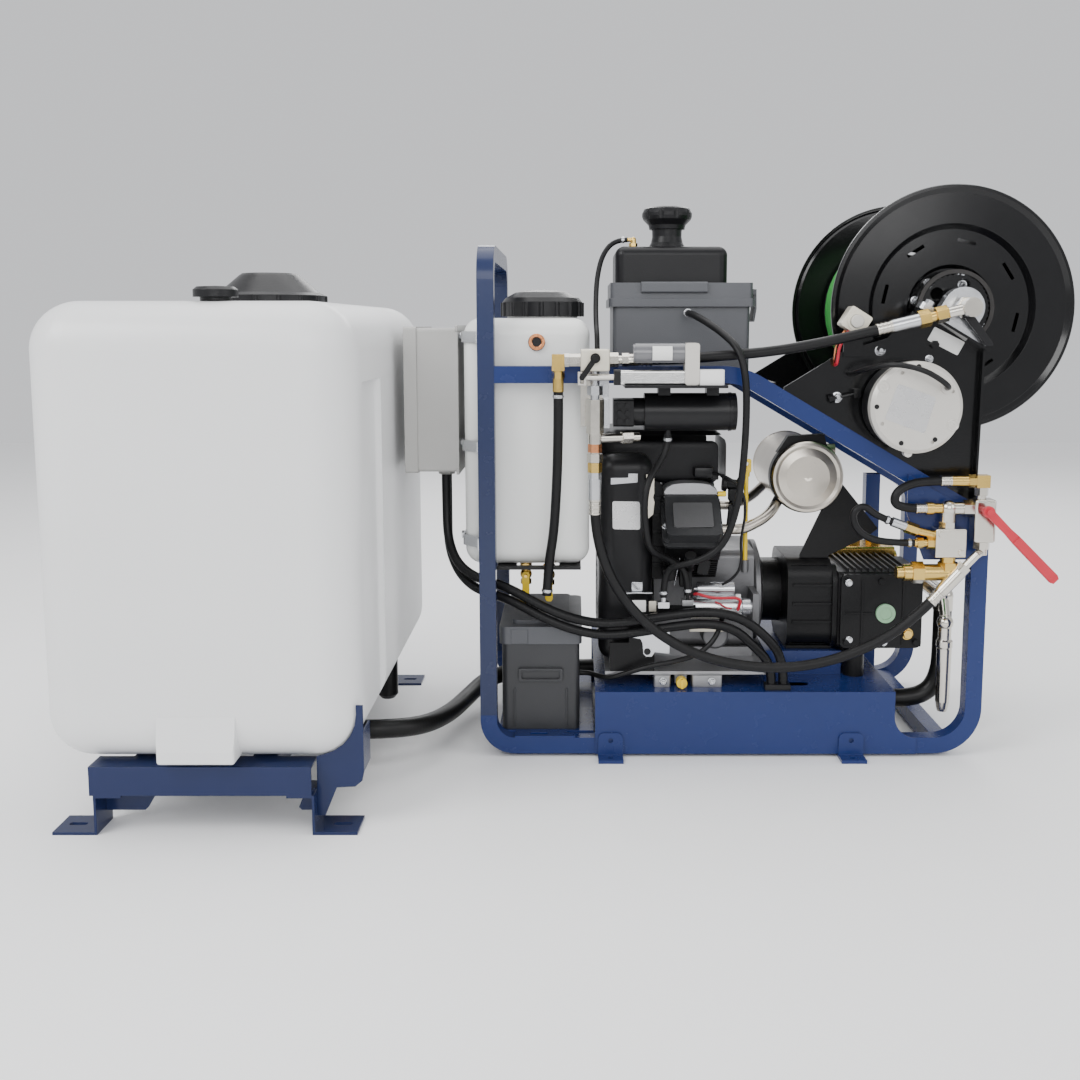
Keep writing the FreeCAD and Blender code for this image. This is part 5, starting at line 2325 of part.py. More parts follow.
def wiring():
    """Two looms from the control box past the battery to the base, and the starter, motor and switch cables."""
    x, y = LOOM_EXIT
    upper, lower = LOOM_FOOT_XS
    loom_one = hose("loom_one", [
        (x, y - 13, LOOM_BOX_Z), (x, y - 13, 564), (-668, -150, 492), (-644, -190, 442), (-600, -222, 414),
        (-548, -234, 402), (-500, -254, 386), (-440, -272, 356), (-378, -277, 331), (-308, -273, 314),
        (-236, -270, 318), (-150, -270, 333), (-62, -270, 344), (16, -270, 332), (76, -267, 290),
        (upper, LOOM_FOOT_Y, 230), (upper, LOOM_FOOT_Y, LOOM_FOOT_Z),
    ], LOOM_R)
    loom_two = hose("loom_two", [
        (x, y + 13, LOOM_BOX_Z), (x, y + 13, 552), (-670, -124, 470), (-642, -170, 414), (-598, -218, 385),
        (-546, -235, 374), (-497, -256, 359), (-434, -274, 328), (-374, -278, 304), (-306, -273, 287),
        (-232, -270, 291), (-146, -271, 306), (-62, -272, 317), (6, -272, 304), (52, -269, 262),
        (lower, LOOM_FOOT_Y, 216), (lower, LOOM_FOOT_Y, LOOM_FOOT_Z),
    ], LOOM_R)
    clamp = box(lower - 16, upper + 16, LOOM_FOOT_Y - 15, LOOM_FOOT_Y + 15, PAN_TOP, LOOM_FOOT_Z)
    starter_cable = hose("starter_cable", [
        (BATTERY_RIGHT, -200, 176), (-330, -200, 176), (-308, -226, 176), (-282, -254, 178), (-240, -268, 196),
        (-190, -272, 214), (-130, -272, 224), (-76, -270, 240), (-38, -262, 272), (-20, -250, 312),
        (-16, -232, STARTER_Z), (-16, STARTER_Y - 30, STARTER_Z),
    ], 6)
    gland_x, gland_z = MOTOR_GLAND
    motor_cable = hose("motor_cable", [
        (gland_x, MOTOR_FRONT - 7, gland_z), (gland_x, MOTOR_FRONT - 28, gland_z), (428, -400, 882),
        (386, -404, 906), (336, -386, 918), (296, -350, 912), (268, -312, 900), (262, -278, 892),
        (262, PLATE_FRONT, 892),
    ], 6)
    switch_cable = hose("switch_cable", [
        (250.75, -277, 988.8), (240.2, -277, 971.9), (230, -278, 950), (228, -278, 928), (228, -268, 912),
        (228, PLATE_FRONT, 912),
    ], 3.5)
    return group([loom_one, loom_two, clamp, starter_cable, motor_cable, switch_cable])


save("water_tank", water_tank())
save("tank_lid", tank_lid())
save("tank_vent_cap", tank_vent_cap())
save("tank_stand", group([tank_stand(), stand_rails()]))
save("tank_outlet", group([outlet_guard(), sump_elbow(), sump_boot()]))
save("suction_hose", suction_hose())
save("left_hoop", left_hoop())
save("front_rail", group([side_loop(-RAIL_Y), gusset_plate()]))
save("rear_rail", side_loop(RAIL_Y))
save("cross_tubes", group([cross_tubes(), deck_plate()]))
save("base_pan", group([base_pan(), deck_feet(), battery_tray()]))
save("battery_box", battery_box())
save("battery_lid", battery_lid())
save("battery", battery())
save("chem_tank", chem_tank())
save("chem_tank_cap", chem_tank_cap())
save("chem_tank_straps", chem_tank_straps())
save("drain_valves", drain_valves())
save("front_valve_lever", drain_lever(*FRONT_DRAIN))
save("rear_valve_lever", drain_lever(*REAR_DRAIN))
save("control_box", control_box())
save("control_box_lid", control_box_lid())
save("fuel_case", fuel_case())
save("fuel_tank", fuel_tank())
save("fuel_cap", fuel_cap())
save("case_latch", case_latch())
save("engine_block", group([engine_block(), dipstick_tube()]))
save("dipstick", dipstick())
save("cylinder_pair", cylinder_pair())
save("valve_covers", valve_covers())
save("blower_housing", blower_housing())
save("crankshaft", crankshaft())
save("starter_motor", starter_motor())
save("exhaust", screwed_together([exhaust(), muffler_band()]))
save("engine_mounts", group([engine_mounts(), mount_blocks()]))
save("drain_cap", drain_cap())
save("gearbox", gearbox())
save("pump_crankcase", group([pump_crankcase(), oil_sight()]))
save("pump_manifold", pump_manifold())
save("pump_shaft", pump_shaft())
save("reel_drum", reel_drum())
save("wound_hose", wound_hose())
save("reel_bearings", reel_bearings())
save("reel_brackets", reel_brackets())
save("reel_motor", reel_motor())
save("motor_sprocket", motor_sprocket())
save("drive_chain", drive_chain())
save("reel_swivel", reel_swivel())
save("reel_switch", reel_switch())
save("reel_button", reel_button())
save("valve_block", valve_block())
save("valve_lever", valve_lever())
save("actuator_body", actuator_body())
save("actuator_rod", actuator_rod())
save("regulator_block", regulator_block())
save("red_lever", red_lever())
save("aux_motor", aux_motor())
save("high_pressure_hoses", high_pressure_hoses())
save("low_pressure_hoses", low_pressure_hoses())
save("wiring", wiring())
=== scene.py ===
import math

import bmesh
import bpy
from mathutils import Matrix, Vector


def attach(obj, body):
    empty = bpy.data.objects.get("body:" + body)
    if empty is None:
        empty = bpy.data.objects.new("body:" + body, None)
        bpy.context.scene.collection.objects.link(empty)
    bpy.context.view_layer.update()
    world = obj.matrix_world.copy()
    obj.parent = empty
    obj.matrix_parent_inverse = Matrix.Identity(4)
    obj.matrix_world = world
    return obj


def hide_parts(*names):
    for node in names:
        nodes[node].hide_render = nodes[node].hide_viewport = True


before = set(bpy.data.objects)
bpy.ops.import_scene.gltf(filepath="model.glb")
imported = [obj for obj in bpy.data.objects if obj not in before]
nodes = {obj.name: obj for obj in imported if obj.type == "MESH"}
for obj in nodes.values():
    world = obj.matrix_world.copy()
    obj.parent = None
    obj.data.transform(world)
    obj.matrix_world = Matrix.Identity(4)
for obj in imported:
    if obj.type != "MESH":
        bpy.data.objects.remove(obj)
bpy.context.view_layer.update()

# Where the reel's axle is, in metres, and the way towards the camera
REEL_X = 0.5037
REEL_Z = 1.040
FORWARD = (0, -1, 0)


# Camera and light

# Degrees below level
CAMERA_DOWN = 7


def add_camera():
    """The photograph's view, from a little right of the skid's left hoop."""
    data = bpy.data.cameras.new("camera")
    camera = bpy.data.objects.new("camera", data)
    bpy.context.scene.collection.objects.link(camera)
    camera.location = (-0.365, -2.8735, 1.000)
    camera.rotation_euler = (math.radians(90 - CAMERA_DOWN), 0, 0)
    data.sensor_width = 36
    data.lens = 38.33
    data.shift_x = -0.0315
    data.shift_y = -0.0676
    data.clip_start = 0.05
    bpy.context.scene.camera = camera


def area_light(name, place, target, size, power):
    data = bpy.data.lights.new(name, "AREA")
    data.shape = "RECTANGLE"
    data.size, data.size_y = size
    data.energy = power
    lamp = bpy.data.objects.new(name, data)
    bpy.context.scene.collection.objects.link(lamp)
    lamp.location = place
    lamp.rotation_euler = (Vector(target) - Vector(place)).to_track_quat("-Z", "Y").to_euler()


def add_light():
    area_light("key_left", (-3.6, -2.8, 3.6), (-0.4, 0, 0.5), (2.4, 2.4), 150)
    area_light("fill_right", (3.6, -2.6, 2.4), (0.2, 0, 0.6), (2.4, 2.4), 45)
    area_light("front_soft", (0.1, -5.2, 2.6), (0, 0, 0.6), (4.0, 2.4), 110)
    area_light("top_soft", (-0.2, 0.5, 4.4), (-0.2, 0.2, 0), (4.6, 3.6), 140)
    area_light("back_rim", (0.4, 4.2, 3.2), (0, 0, 0.6), (3.4, 1.8), 80)
    world = bpy.data.worlds.new("studio")
    bpy.context.scene.world = world
    world.use_nodes = True
    world.node_tree.nodes["Background"].inputs["Color"].default_value = (0.96, 0.97, 1.0, 1)
    world.node_tree.nodes["Background"].inputs["Strength"].default_value = 0.84


def add_floor():
    mesh = bpy.data.meshes.new("floor")
    mesh.from_pydata([(-9, -7, 0), (9, -7, 0), (9, 7, 0), (-9, 7, 0)], [], [(0, 1, 2, 3)])
    floor = bpy.data.objects.new("floor", mesh)
    bpy.context.scene.collection.objects.link(floor)
    mesh.materials.append(
        material("floor_paint", (0.93, 0.93, 0.93), 0.6, noise=6, tone=0.015, grain=0.0004, grain_scale=300)
    )


# Materials

ROUGHNESS_SPREAD = 0.12
DUST_COLOUR = (0.55, 0.53, 0.50)


def material(
    name, colour, roughness, metallic=0.0, noise=8.0, tone=0.12, grain=0.0, grain_scale=400.0, coat=0.0,
    stretch=(1, 1, 1), dust=0.0, subsurface=0.0, edge=0.0, specular=0.5,
):
    """A surface with uneven tone and gloss, and where asked fine relief, soft edges and dust on its tops.

    Noise is the scale of the uneven tone and tone its strength. Grain is the relief's height and edge the radius
    of the soft edges, both in metres.
    """
    made = bpy.data.materials.new(name)
    made.use_nodes = True
    tree = made.node_tree
    shader = tree.nodes["Principled BSDF"]
    link = tree.links.new
    place = tree.nodes.new("ShaderNodeTexCoord")
    mapping = tree.nodes.new("ShaderNodeMapping")
    mapping.inputs["Scale"].default_value = stretch
    link(place.outputs["Object"], mapping.inputs["Vector"])
    cloud = tree.nodes.new("ShaderNodeTexNoise")
    cloud.inputs["Scale"].default_value = noise
    cloud.inputs["Detail"].default_value = 6
    cloud.inputs["Roughness"].default_value = 0.6
    link(mapping.outputs["Vector"], cloud.inputs["Vector"])
    mix = tree.nodes.new("ShaderNodeMix")
    mix.data_type = "RGBA"
    mix.inputs["A"].default_value = tuple(c * (1 - tone) for c in colour) + (1,)
    mix.inputs["B"].default_value = tuple(min(1, c * (1 + tone)) for c in colour) + (1,)
    link(cloud.outputs["Fac"], mix.inputs["Factor"])
    tint = mix.outputs["Result"]
    if dust:
        facing = tree.nodes.new("ShaderNodeNewGeometry")
        split = tree.nodes.new("ShaderNodeSeparateXYZ")
        link(facing.outputs["Normal"], split.inputs["Vector"])
        up = ramp(tree, split.outputs["Z"], 0.3, 1.0)
        patch = ramp(tree, cloud.outputs["Fac"], 0.35, 0.75)
        amount = multiply(tree, multiply(tree, up, patch), dust)
        tint = blend_in(tree, tint, DUST_COLOUR, amount)
    link(tint, shader.inputs["Base Color"])
    gloss = tree.nodes.new("ShaderNodeMapRange")
    gloss.inputs["To Min"].default_value = max(0.03, roughness - ROUGHNESS_SPREAD / 2)
    gloss.inputs["To Max"].default_value = min(1.0, roughness + ROUGHNESS_SPREAD / 2)
    smear = tree.nodes.new("ShaderNodeTexNoise")
    smear.inputs["Scale"].default_value = noise * 3.1
    smear.inputs["Detail"].default_value = 4
    link(mapping.outputs["Vector"], smear.inputs["Vector"])
    link(smear.outputs["Fac"], gloss.inputs["Value"])
    link(gloss.outputs["Result"], shader.inputs["Roughness"])
    shader.inputs["Metallic"].default_value = metallic
    shader.inputs["Specular IOR Level"].default_value = specular
    if coat:
        shader.inputs["Coat Weight"].default_value = coat
        shader.inputs["Coat Roughness"].default_value = 0.12
    if subsurface:
        shader.inputs["Subsurface Weight"].default_value = subsurface
        shader.inputs["Subsurface Radius"].default_value = (0.03, 0.03, 0.03)
        shader.inputs["Subsurface Scale"].default_value = 0.4
    relief = None
    if edge:
        soft = tree.nodes.new("ShaderNodeBevel")
        soft.samples = 4
        soft.inputs["Radius"].default_value = edge
        relief = soft.outputs["Normal"]
    if grain:
        fine = tree.nodes.new("ShaderNodeTexNoise")
        fine.inputs["Scale"].default_value = grain_scale
        fine.inputs["Detail"].default_value = 3
        link(mapping.outputs["Vector"], fine.inputs["Vector"])
        bump = tree.nodes.new("ShaderNodeBump")
        bump.inputs["Distance"].default_value = grain
        bump.inputs["Strength"].default_value = 0.6
        link(fine.outputs["Fac"], bump.inputs["Height"])
        if relief:
            link(relief, bump.inputs["Normal"])
        relief = bump.outputs["Normal"]
    if relief:
        link(relief, shader.inputs["Normal"])
    return made


def ramp(tree, source, low, high):
    """0 up to low, 1 from high on, and even in between."""
    node = tree.nodes.new("ShaderNodeMapRange")
    node.inputs["From Min"].default_value = low
    node.inputs["From Max"].default_value = high
    tree.links.new(source, node.inputs["Value"])
    return node.outputs["Result"]


def multiply(tree, first, second):
    node = tree.nodes.new("ShaderNodeMath")
    node.operation = "MULTIPLY"
    tree.links.new(first, node.inputs[0])
    if isinstance(second, (int, float)):
        node.inputs[1].default_value = second
    else:
        tree.links.new(second, node.inputs[1])
    return node.outputs["Value"]


def blend_in(tree, tint, colour, amount):
    """The tint, turned towards a plain colour by the amount."""
    node = tree.nodes.new("ShaderNodeMix")
    node.data_type = "RGBA"
    node.inputs["B"].default_value = tuple(colour) + (1,)
    tree.links.new(tint, node.inputs["A"])
    tree.links.new(amount, node.inputs["Factor"])
    return node.outputs["Result"]


# The materials by name
M = {}


def keep(name, *values, **options):
    M[name] = material(name, *values, **options)


keep("tank_white", (0.75, 0.755, 0.755), 0.34, noise=3, tone=0.03, grain=0.0007, grain_scale=45,
     subsurface=0.12)
keep("chem_white", (0.78, 0.79, 0.77), 0.34, noise=5, tone=0.04, grain=0.0005, grain_scale=70,
     subsurface=0.12, edge=0.002)
keep("blue", (0.012, 0.026, 0.115), 0.26, noise=9, tone=0.06, grain=0.0001, grain_scale=220, coat=0.12,
     edge=0.002, specular=0.25)
# The left hoop's blue is the frame's paint made darker and greyer: painted shade on that one part.
keep("hoop_blue_painted_shade", (0.014, 0.023, 0.070), 0.26, noise=9, tone=0.06, grain=0.0001, grain_scale=220, coat=0.12,
     edge=0.002, specular=0.3)
# The tank stand's blue is the frame's paint made darker: painted shade for the shadow the stand lies in.
keep("stand_blue_painted_shade", (0.007, 0.015, 0.062), 0.24, noise=9, tone=0.06, grain=0.0001, grain_scale=220, coat=0.12,
     edge=0.002, specular=0.25)
keep("black_gloss", (0.004, 0.004, 0.0045), 0.17, noise=7, tone=0.2, grain=0.0001, grain_scale=240,
     coat=0.15, edge=0.0015, specular=0.28)
keep("black_satin", (0.007, 0.007, 0.008), 0.32, noise=8, tone=0.2, grain=0.0003, grain_scale=320,
     dust=0.02, edge=0.001, specular=0.28)
keep("black_plastic", (0.007, 0.007, 0.008), 0.34, noise=8, tone=0.2, grain=0.0004, grain_scale=480,
     dust=0.02, edge=0.0015, specular=0.24)
keep("lid_black", (0.008, 0.008, 0.009), 0.32, noise=10, tone=0.25, grain=0.0006, grain_scale=260,
     dust=0.04, edge=0.0015, specular=0.3)
keep("dark_grey_plastic", (0.024, 0.025, 0.028), 0.42, noise=6, tone=0.15, grain=0.0006, grain_scale=460,
     dust=0.05, edge=0.002)
keep("case_grey", (0.070, 0.073, 0.082), 0.38, noise=6, tone=0.12, grain=0.0006, grain_scale=420,
     dust=0.06, edge=0.002)
keep("box_grey", (0.385, 0.38, 0.365), 0.36, noise=6, tone=0.05, grain=0.0003, grain_scale=350, edge=0.002)
keep("hose_black", (0.006, 0.006, 0.0065), 0.40, noise=25, tone=0.25, grain=0.0004, grain_scale=900,
     dust=0.02, specular=0.22)
keep("sleeve_black", (0.006, 0.006, 0.0065), 0.33, noise=30, tone=0.3, grain=0.0006, grain_scale=500,
     dust=0.02, specular=0.25)
keep("cast_dark", (0.006, 0.006, 0.0065), 0.36, noise=14, tone=0.25, grain=0.0008, grain_scale=260,
     dust=0.03, edge=0.0015, specular=0.20)
keep("cast_mid", (0.15, 0.15, 0.155), 0.40, metallic=0.7, noise=14, tone=0.18, grain=0.0008,
     grain_scale=230, dust=0.04, edge=0.0015)
keep("cast_alu", (0.34, 0.34, 0.35), 0.42, metallic=0.8, noise=14, tone=0.18, grain=0.0009,
     grain_scale=230, dust=0.05, edge=0.0015)
keep("engine_grey", (0.028, 0.029, 0.031), 0.36, metallic=0.3, noise=12, tone=0.2, grain=0.0008,
     grain_scale=260, dust=0.05, edge=0.0015)
keep("silver_paint", (0.56, 0.54, 0.50), 0.36, metallic=0.35, noise=10, tone=0.06, grain=0.0003,
     grain_scale=420, edge=0.001)
keep("zinc", (0.56, 0.57, 0.59), 0.24, metallic=0.95, noise=20, tone=0.08, grain=0.0001, grain_scale=380,
     edge=0.001)
keep("bright_alu", (0.74, 0.74, 0.73), 0.22, metallic=1.0, noise=4, tone=0.08, grain=0.0002,
     grain_scale=60, stretch=(1, 20, 20))
keep("nickel", (0.62, 0.59, 0.53), 0.19, metallic=1.0, noise=25, tone=0.08, grain=0.0001,
     grain_scale=420, edge=0.001)
keep("stainless", (0.60, 0.575, 0.53), 0.28, metallic=1.0, noise=4, tone=0.10, grain=0.0002,
     grain_scale=60, stretch=(1, 24, 24))
keep("muffler_steel", (0.52, 0.48, 0.42), 0.30, metallic=1.0, noise=9, tone=0.16, grain=0.0003,
     grain_scale=160)
keep("machined", (0.50, 0.50, 0.51), 0.26, metallic=1.0, noise=20, tone=0.12, grain=0.0002,
     grain_scale=420, edge=0.0006)
keep("brass", (0.66, 0.45, 0.13), 0.24, metallic=1.0, noise=22, tone=0.16, grain=0.0002, grain_scale=420,
     edge=0.001)
keep("brass_dark", (0.42, 0.29, 0.10), 0.34, metallic=1.0, noise=22, tone=0.25, grain=0.0004,
     grain_scale=320, edge=0.001)
keep("copper", (0.62, 0.26, 0.12), 0.26, metallic=1.0, noise=22, tone=0.16, grain=0.0002, grain_scale=420)
keep("cream", (0.66, 0.62, 0.52), 0.34, metallic=0.55, noise=14, tone=0.06, grain=0.0003,
     grain_scale=420, edge=0.001)
keep("chain", (0.045, 0.043, 0.042), 0.30, metallic=0.9, noise=40, tone=0.3, grain=0.0003, grain_scale=500)
keep("red", (0.50, 0.015, 0.035), 0.34, noise=14, tone=0.12, grain=0.0003, grain_scale=500, edge=0.001)
keep("yellow", (0.80, 0.55, 0.015), 0.34, noise=14, tone=0.10, grain=0.0003, grain_scale=500, edge=0.0006)
keep("green_rim", (0.22, 0.40, 0.24), 0.35, noise=14, tone=0.1)
keep("label_white", (0.76, 0.76, 0.74), 0.33, noise=14, tone=0.03, grain=0.0001, grain_scale=300)
keep("label_silver", (0.60, 0.60, 0.60), 0.28, metallic=0.7, noise=14, tone=0.06, grain=0.0001,
     grain_scale=300)
keep("bracket_white", (0.80, 0.80, 0.79), 0.33, noise=12, tone=0.03, grain=0.0002, grain_scale=300,
     edge=0.001)
keep("clear_grey", (0.13, 0.13, 0.14), 0.22, noise=6, tone=0.1, grain=0.0001, grain_scale=300, coat=0.5,
     edge=0.001)
keep("panel_grey", (0.070, 0.070, 0.072), 0.42, noise=16, tone=0.15, grain=0.0006, grain_scale=420,
     edge=0.001)


def along_hose(name, colour, roughness, bands, band_depth, twist=0.0, specular=0.25):
    """A hose cover with wrap marks: bands counts them along the tube, and twist how often they go round it."""
    made = material(name, colour, roughness, noise=30, tone=0.22, specular=specular)
    tree = made.node_tree
    shader = tree.nodes["Principled BSDF"]
    link = tree.links.new
    place = tree.nodes.new("ShaderNodeTexCoord")
    split = tree.nodes.new("ShaderNodeSeparateXYZ")
    link(place.outputs["UV"], split.inputs["Vector"])
    run = multiply(tree, split.outputs["X"], bands * 2 * math.pi)
    lean = multiply(tree, split.outputs["Y"], twist * 2 * math.pi)
    total = tree.nodes.new("ShaderNodeMath")
    total.operation = "ADD"
    link(run, total.inputs[0])
    link(lean, total.inputs[1])
    wave = tree.nodes.new("ShaderNodeMath")
    wave.operation = "SINE"
    link(total.outputs["Value"], wave.inputs[0])
    fine = tree.nodes.new("ShaderNodeTexNoise")
    fine.inputs["Scale"].default_value = 900
    fine.inputs["Detail"].default_value = 2
    link(place.outputs["Object"], fine.inputs["Vector"])
    both = tree.nodes.new("ShaderNodeMath")
    both.operation = "ADD"
    link(multiply(tree, wave.outputs["Value"], band_depth), both.inputs[0])
    link(multiply(tree, fine.outputs["Fac"], 0.0002), both.inputs[1])
    bump = tree.nodes.new("ShaderNodeBump")
    bump.inputs["Distance"].default_value = 1.0
    bump.inputs["Strength"].default_value = 0.8
    link(both.outputs["Value"], bump.inputs["Height"])
    link(bump.outputs["Normal"], shader.inputs["Normal"])
    return made


M["suction_black"] = along_hose(
    "suction_black", (0.008, 0.008, 0.008), 0.33, bands=210, band_depth=0.00005, twist=1,
)
M["loom_sleeve"] = along_hose(
    "loom_sleeve", (0.006, 0.006, 0.0065), 0.30, bands=170, band_depth=0.00016, specular=0.22,
)
M["green_cover"] = along_hose(
    "green_cover", (0.03, 0.27, 0.045), 0.36, bands=2200, band_depth=0.00008, twist=3, specular=0.4,
)


# Finishes of the frame's own pieces

def finish_node(name, main, boxes=(), faces=()):
    """Gives a node its main finish, and others to some of its faces.

    Boxes are (finish, box) pairs, for faces that lie in a box. Faces are (finish, test) pairs, and the test
    gets a face's centre and normal. Places are in millimetres.
    """
    mesh = nodes[name].data
    mesh.materials.clear()
    order = [main]
    for finish, _ in list(boxes) + list(faces):
        if finish not in order:
            order.append(finish)
    for finish in order:
        mesh.materials.append(M[finish])
    slots = [0] * len(mesh.polygons)
    for finish, box in boxes:
        for face in mesh.polygons:
            if all(inside(mesh.vertices[v].co * 1000, box) for v in face.vertices):
                slots[face.index] = order.index(finish)
    for finish, test in faces:
        for face in mesh.polygons:
            if test(face.center * 1000, face.normal):
                slots[face.index] = order.index(finish)
    mesh.polygons.foreach_set("material_index", slots)


# Millimetres by which a face may reach past its box
BOX_ROOM = 0.4


def inside(place, box):
    """Whether a place is in the box (x from, x to, y from, y to, z from, z to)."""
    return all(
        low - BOX_ROOM <= value <= high + BOX_ROOM for value, low, high in zip(place, box[::2], box[1::2])
    )


def from_reel_axis(place):
    return math.hypot(place.x - REEL_X * 1000, place.z - REEL_Z * 1000)


PLAIN_FINISHES = {
    "water_tank": "tank_white", "tank_lid": "lid_black", "tank_vent_cap": "lid_black",
    # left_hoop takes a darker, greyer copy of the frame's blue paint: painted shade.
    # tank_stand takes a darkened copy of the frame's blue paint: painted shade.
    "tank_stand": "stand_blue_painted_shade", "left_hoop": "hoop_blue_painted_shade", "front_rail": "blue", "rear_rail": "blue",
    "base_pan": "blue", "battery_box": "dark_grey_plastic", "battery_lid": "case_grey",
    "battery": "black_plastic", "chem_tank_cap": "lid_black", "drain_valves": "brass",
    "front_valve_lever": "yellow", "rear_valve_lever": "yellow", "control_box": "box_grey",
    "control_box_lid": "box_grey", "fuel_case": "case_grey", "fuel_cap": "black_plastic",
    "case_latch": "case_grey", "dipstick": "yellow", "cylinder_pair": "cast_dark",
    "blower_housing": "black_plastic", "crankshaft": "machined", "starter_motor": "zinc",
    "drain_cap": "yellow", "gearbox": "cast_dark", "pump_shaft": "machined", "reel_bearings": "zinc",
    "reel_brackets": "black_gloss", "drive_chain": "chain", "motor_sprocket": "machined",
    "reel_switch": "cream", "reel_button": "silver_paint", "valve_lever": "cast_dark",
    "actuator_rod": "stainless", "aux_motor": "black_satin", "red_lever": "red",
}
for node_name, finish_name in PLAIN_FINISHES.items():
    finish_node(node_name, finish_name)
# The outlet's main blue is the same darkened copy of the frame's paint: painted shade.
finish_node("tank_outlet", "stand_blue_painted_shade", [
    ("brass_dark", (-945, -850, -365, -295, 50, 182)), ("lid_black", (-852, -800, -136, -84, 85, 200)),
])
finish_node("cross_tubes", "blue", [("black_satin", (-256, 96, -385, 290, 865, 873))])
finish_node("chem_tank", "chem_white", faces=[
    ("copper", lambda p, n: p.y < -240.2 and math.hypot(p.x + 449, p.z - 965) < 30),
])
finish_node("chem_tank_straps", "black_satin", [
    ("zinc", (-636, -580, -290, 290, 960, 990)), ("zinc", (-636, -580, -290, 290, 710, 740)),
    ("zinc", (-636, -580, -290, 290, 488, 518)),
])
finish_node("fuel_tank", "black_plastic", [("brass", (-238, -210, -61, -39, 1188, 1215))])
finish_node("engine_block", "cast_mid", [("yellow", (43, 57, -135, -121, 434, 642))])
finish_node("exhaust", "muffler_steel", [("cast_dark", (104, 374, -136, -102, 438, 744))])
finish_node("engine_mounts", "cast_alu", [("zinc", (-171, -143, -270, -246, 349, 375))], faces=[
    ("cast_dark", lambda p, n: -246.5 < p.y < -240 and p.z > 193.5),
])
finish_node("pump_crankcase", "cast_dark", [("green_rim", (354, 402, -198, -183, 295, 343))])
finish_node("pump_manifold", "brass", [("nickel", (457, 553, -232, 108, 85, 377))])
finish_node("reel_drum", "black_gloss", faces=[
    ("zinc", lambda p, n: -187.5 < p.y < -178.5 and 66 < from_reel_axis(p) < 92),
    ("machined", lambda p, n: (p.y < -234 or p.y > 270) and from_reel_axis(p) < 30),
])
finish_node("reel_motor", "black_satin", faces=[
    ("silver_paint", lambda p, n: p.y < -322),
])
finish_node("reel_swivel", "nickel", [
    ("brass", (386, 457, -351, -317, 994, 1046)), ("zinc", (329, 394, -349, -319, 984, 1027)),
], faces=[
    ("black_satin", lambda p, n: p.x > 490 and p.z < 1023),
])
finish_node("valve_block", "nickel", [
    ("zinc", (-350, -286, -345, -288, 776, 949)), ("cream", (-350, -286, -350, -300, 901, 949)),
    ("brass", (-414, -376, -338, -312, 855, 940)), ("copper", (-334, -303, -339, -311, 720, 739)),
    ("brass", (-335, -302, -339, -311, 675, 697)), ("zinc", (-334, -303, -340, -310, 614, 675)),
])
finish_node("actuator_body", "bracket_white", [
    ("bright_alu", (-264.5, -123, -400, -200, 871, 906)),
    ("black_satin", (-300, -262.5, -400, -200, 860, 912)),
    ("clear_grey", (-237, -123, -400, -200, 917, 964)),
    ("silver_paint", (-124.5, -92.5, -400, -200, 860, 964)),
    ("black_satin", (-251, -223, -400, -200, 860, 873)),
])
finish_node("regulator_block", "nickel", [
    ("brass", (482, 566, -328, -300, 639, 669)), ("brass", (364, 503, -340, -296, 421, 483)),
    ("brass", (404, 446, -327, -301, 498, 528)), ("brass", (378, 449, -326, -302, 523, 564)),
    ("zinc", (348, 387, -325, -303, 540, 572)), ("brass", (428, 465, -329, -299, 577, 607)),
])
finish_node("valve_covers", "engine_grey", faces=[
    ("panel_grey", lambda p, n: p.z + abs(p.y) > 798),
])


# Hoses and cables. Each route's points are in millimetres, in the row frame.

def metres(points):
    return [(x / 1000, y / 1000, z / 1000) for x, y, z in points]


def round_tube(name, points, radius, finish):
    """A smooth round tube on one open spline through its end points."""
    data = bpy.data.curves.new(name, "CURVE")
    data.dimensions = "3D"
    data.resolution_u = 8
    data.bevel_depth = radius
    data.bevel_resolution = 6
    data.use_fill_caps = True
    spline = data.splines.new("NURBS")
    spline.points.add(len(points) - 1)
    for point, place in zip(spline.points, points):
        point.co = (*place, 1.0)
    spline.order_u = 3
    spline.use_endpoint_u = True
    piece = bpy.data.objects.new(name, data)
    bpy.context.scene.collection.objects.link(piece)
    data.materials.append(finish)
    return piece


def spline_curve(name, points, radius, finish):
    """A round tube that rides on the skid."""
    piece = round_tube(name, points, radius, finish)
    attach(piece, "skid")
    return piece


# Degrees between faces from which an edge stays sharp, and metres within which points are one
SHARP_ANGLE = 35
WELD = 1e-6


def new_piece(name, bm, finishes, body="skid"):
    """Turns mesh code into a piece that rides on a body. Its faces pick from the finishes by number."""
    bmesh.ops.remove_doubles(bm, verts=bm.verts, dist=WELD)
    bmesh.ops.recalc_face_normals(bm, faces=bm.faces)
    mesh = bpy.data.meshes.new(name)
    bm.to_mesh(mesh)
    bm.free()
    for finish in finishes:
        mesh.materials.append(M[finish])
    piece = bpy.data.objects.new(name, mesh)
    bpy.context.scene.collection.objects.link(piece)
    for face in mesh.polygons:
        face.use_smooth = True
    mesh.set_sharp_from_angle(angle=math.radians(SHARP_ANGLE))
    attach(piece, body)
    return piece


def ring(bm, middle, side, up, radius, count):
    """Points evenly round a middle."""
    return [
        bm.verts.new(middle + (side * math.cos(turn) + up * math.sin(turn)) * radius)
        for turn in (2 * math.pi * i / count for i in range(count))
    ]


def across(way):
    """A direction, one square to it, and one square to both."""
    way = Vector(way).normalized()
    side = way.orthogonal().normalized()
    return way, side, way.cross(side)


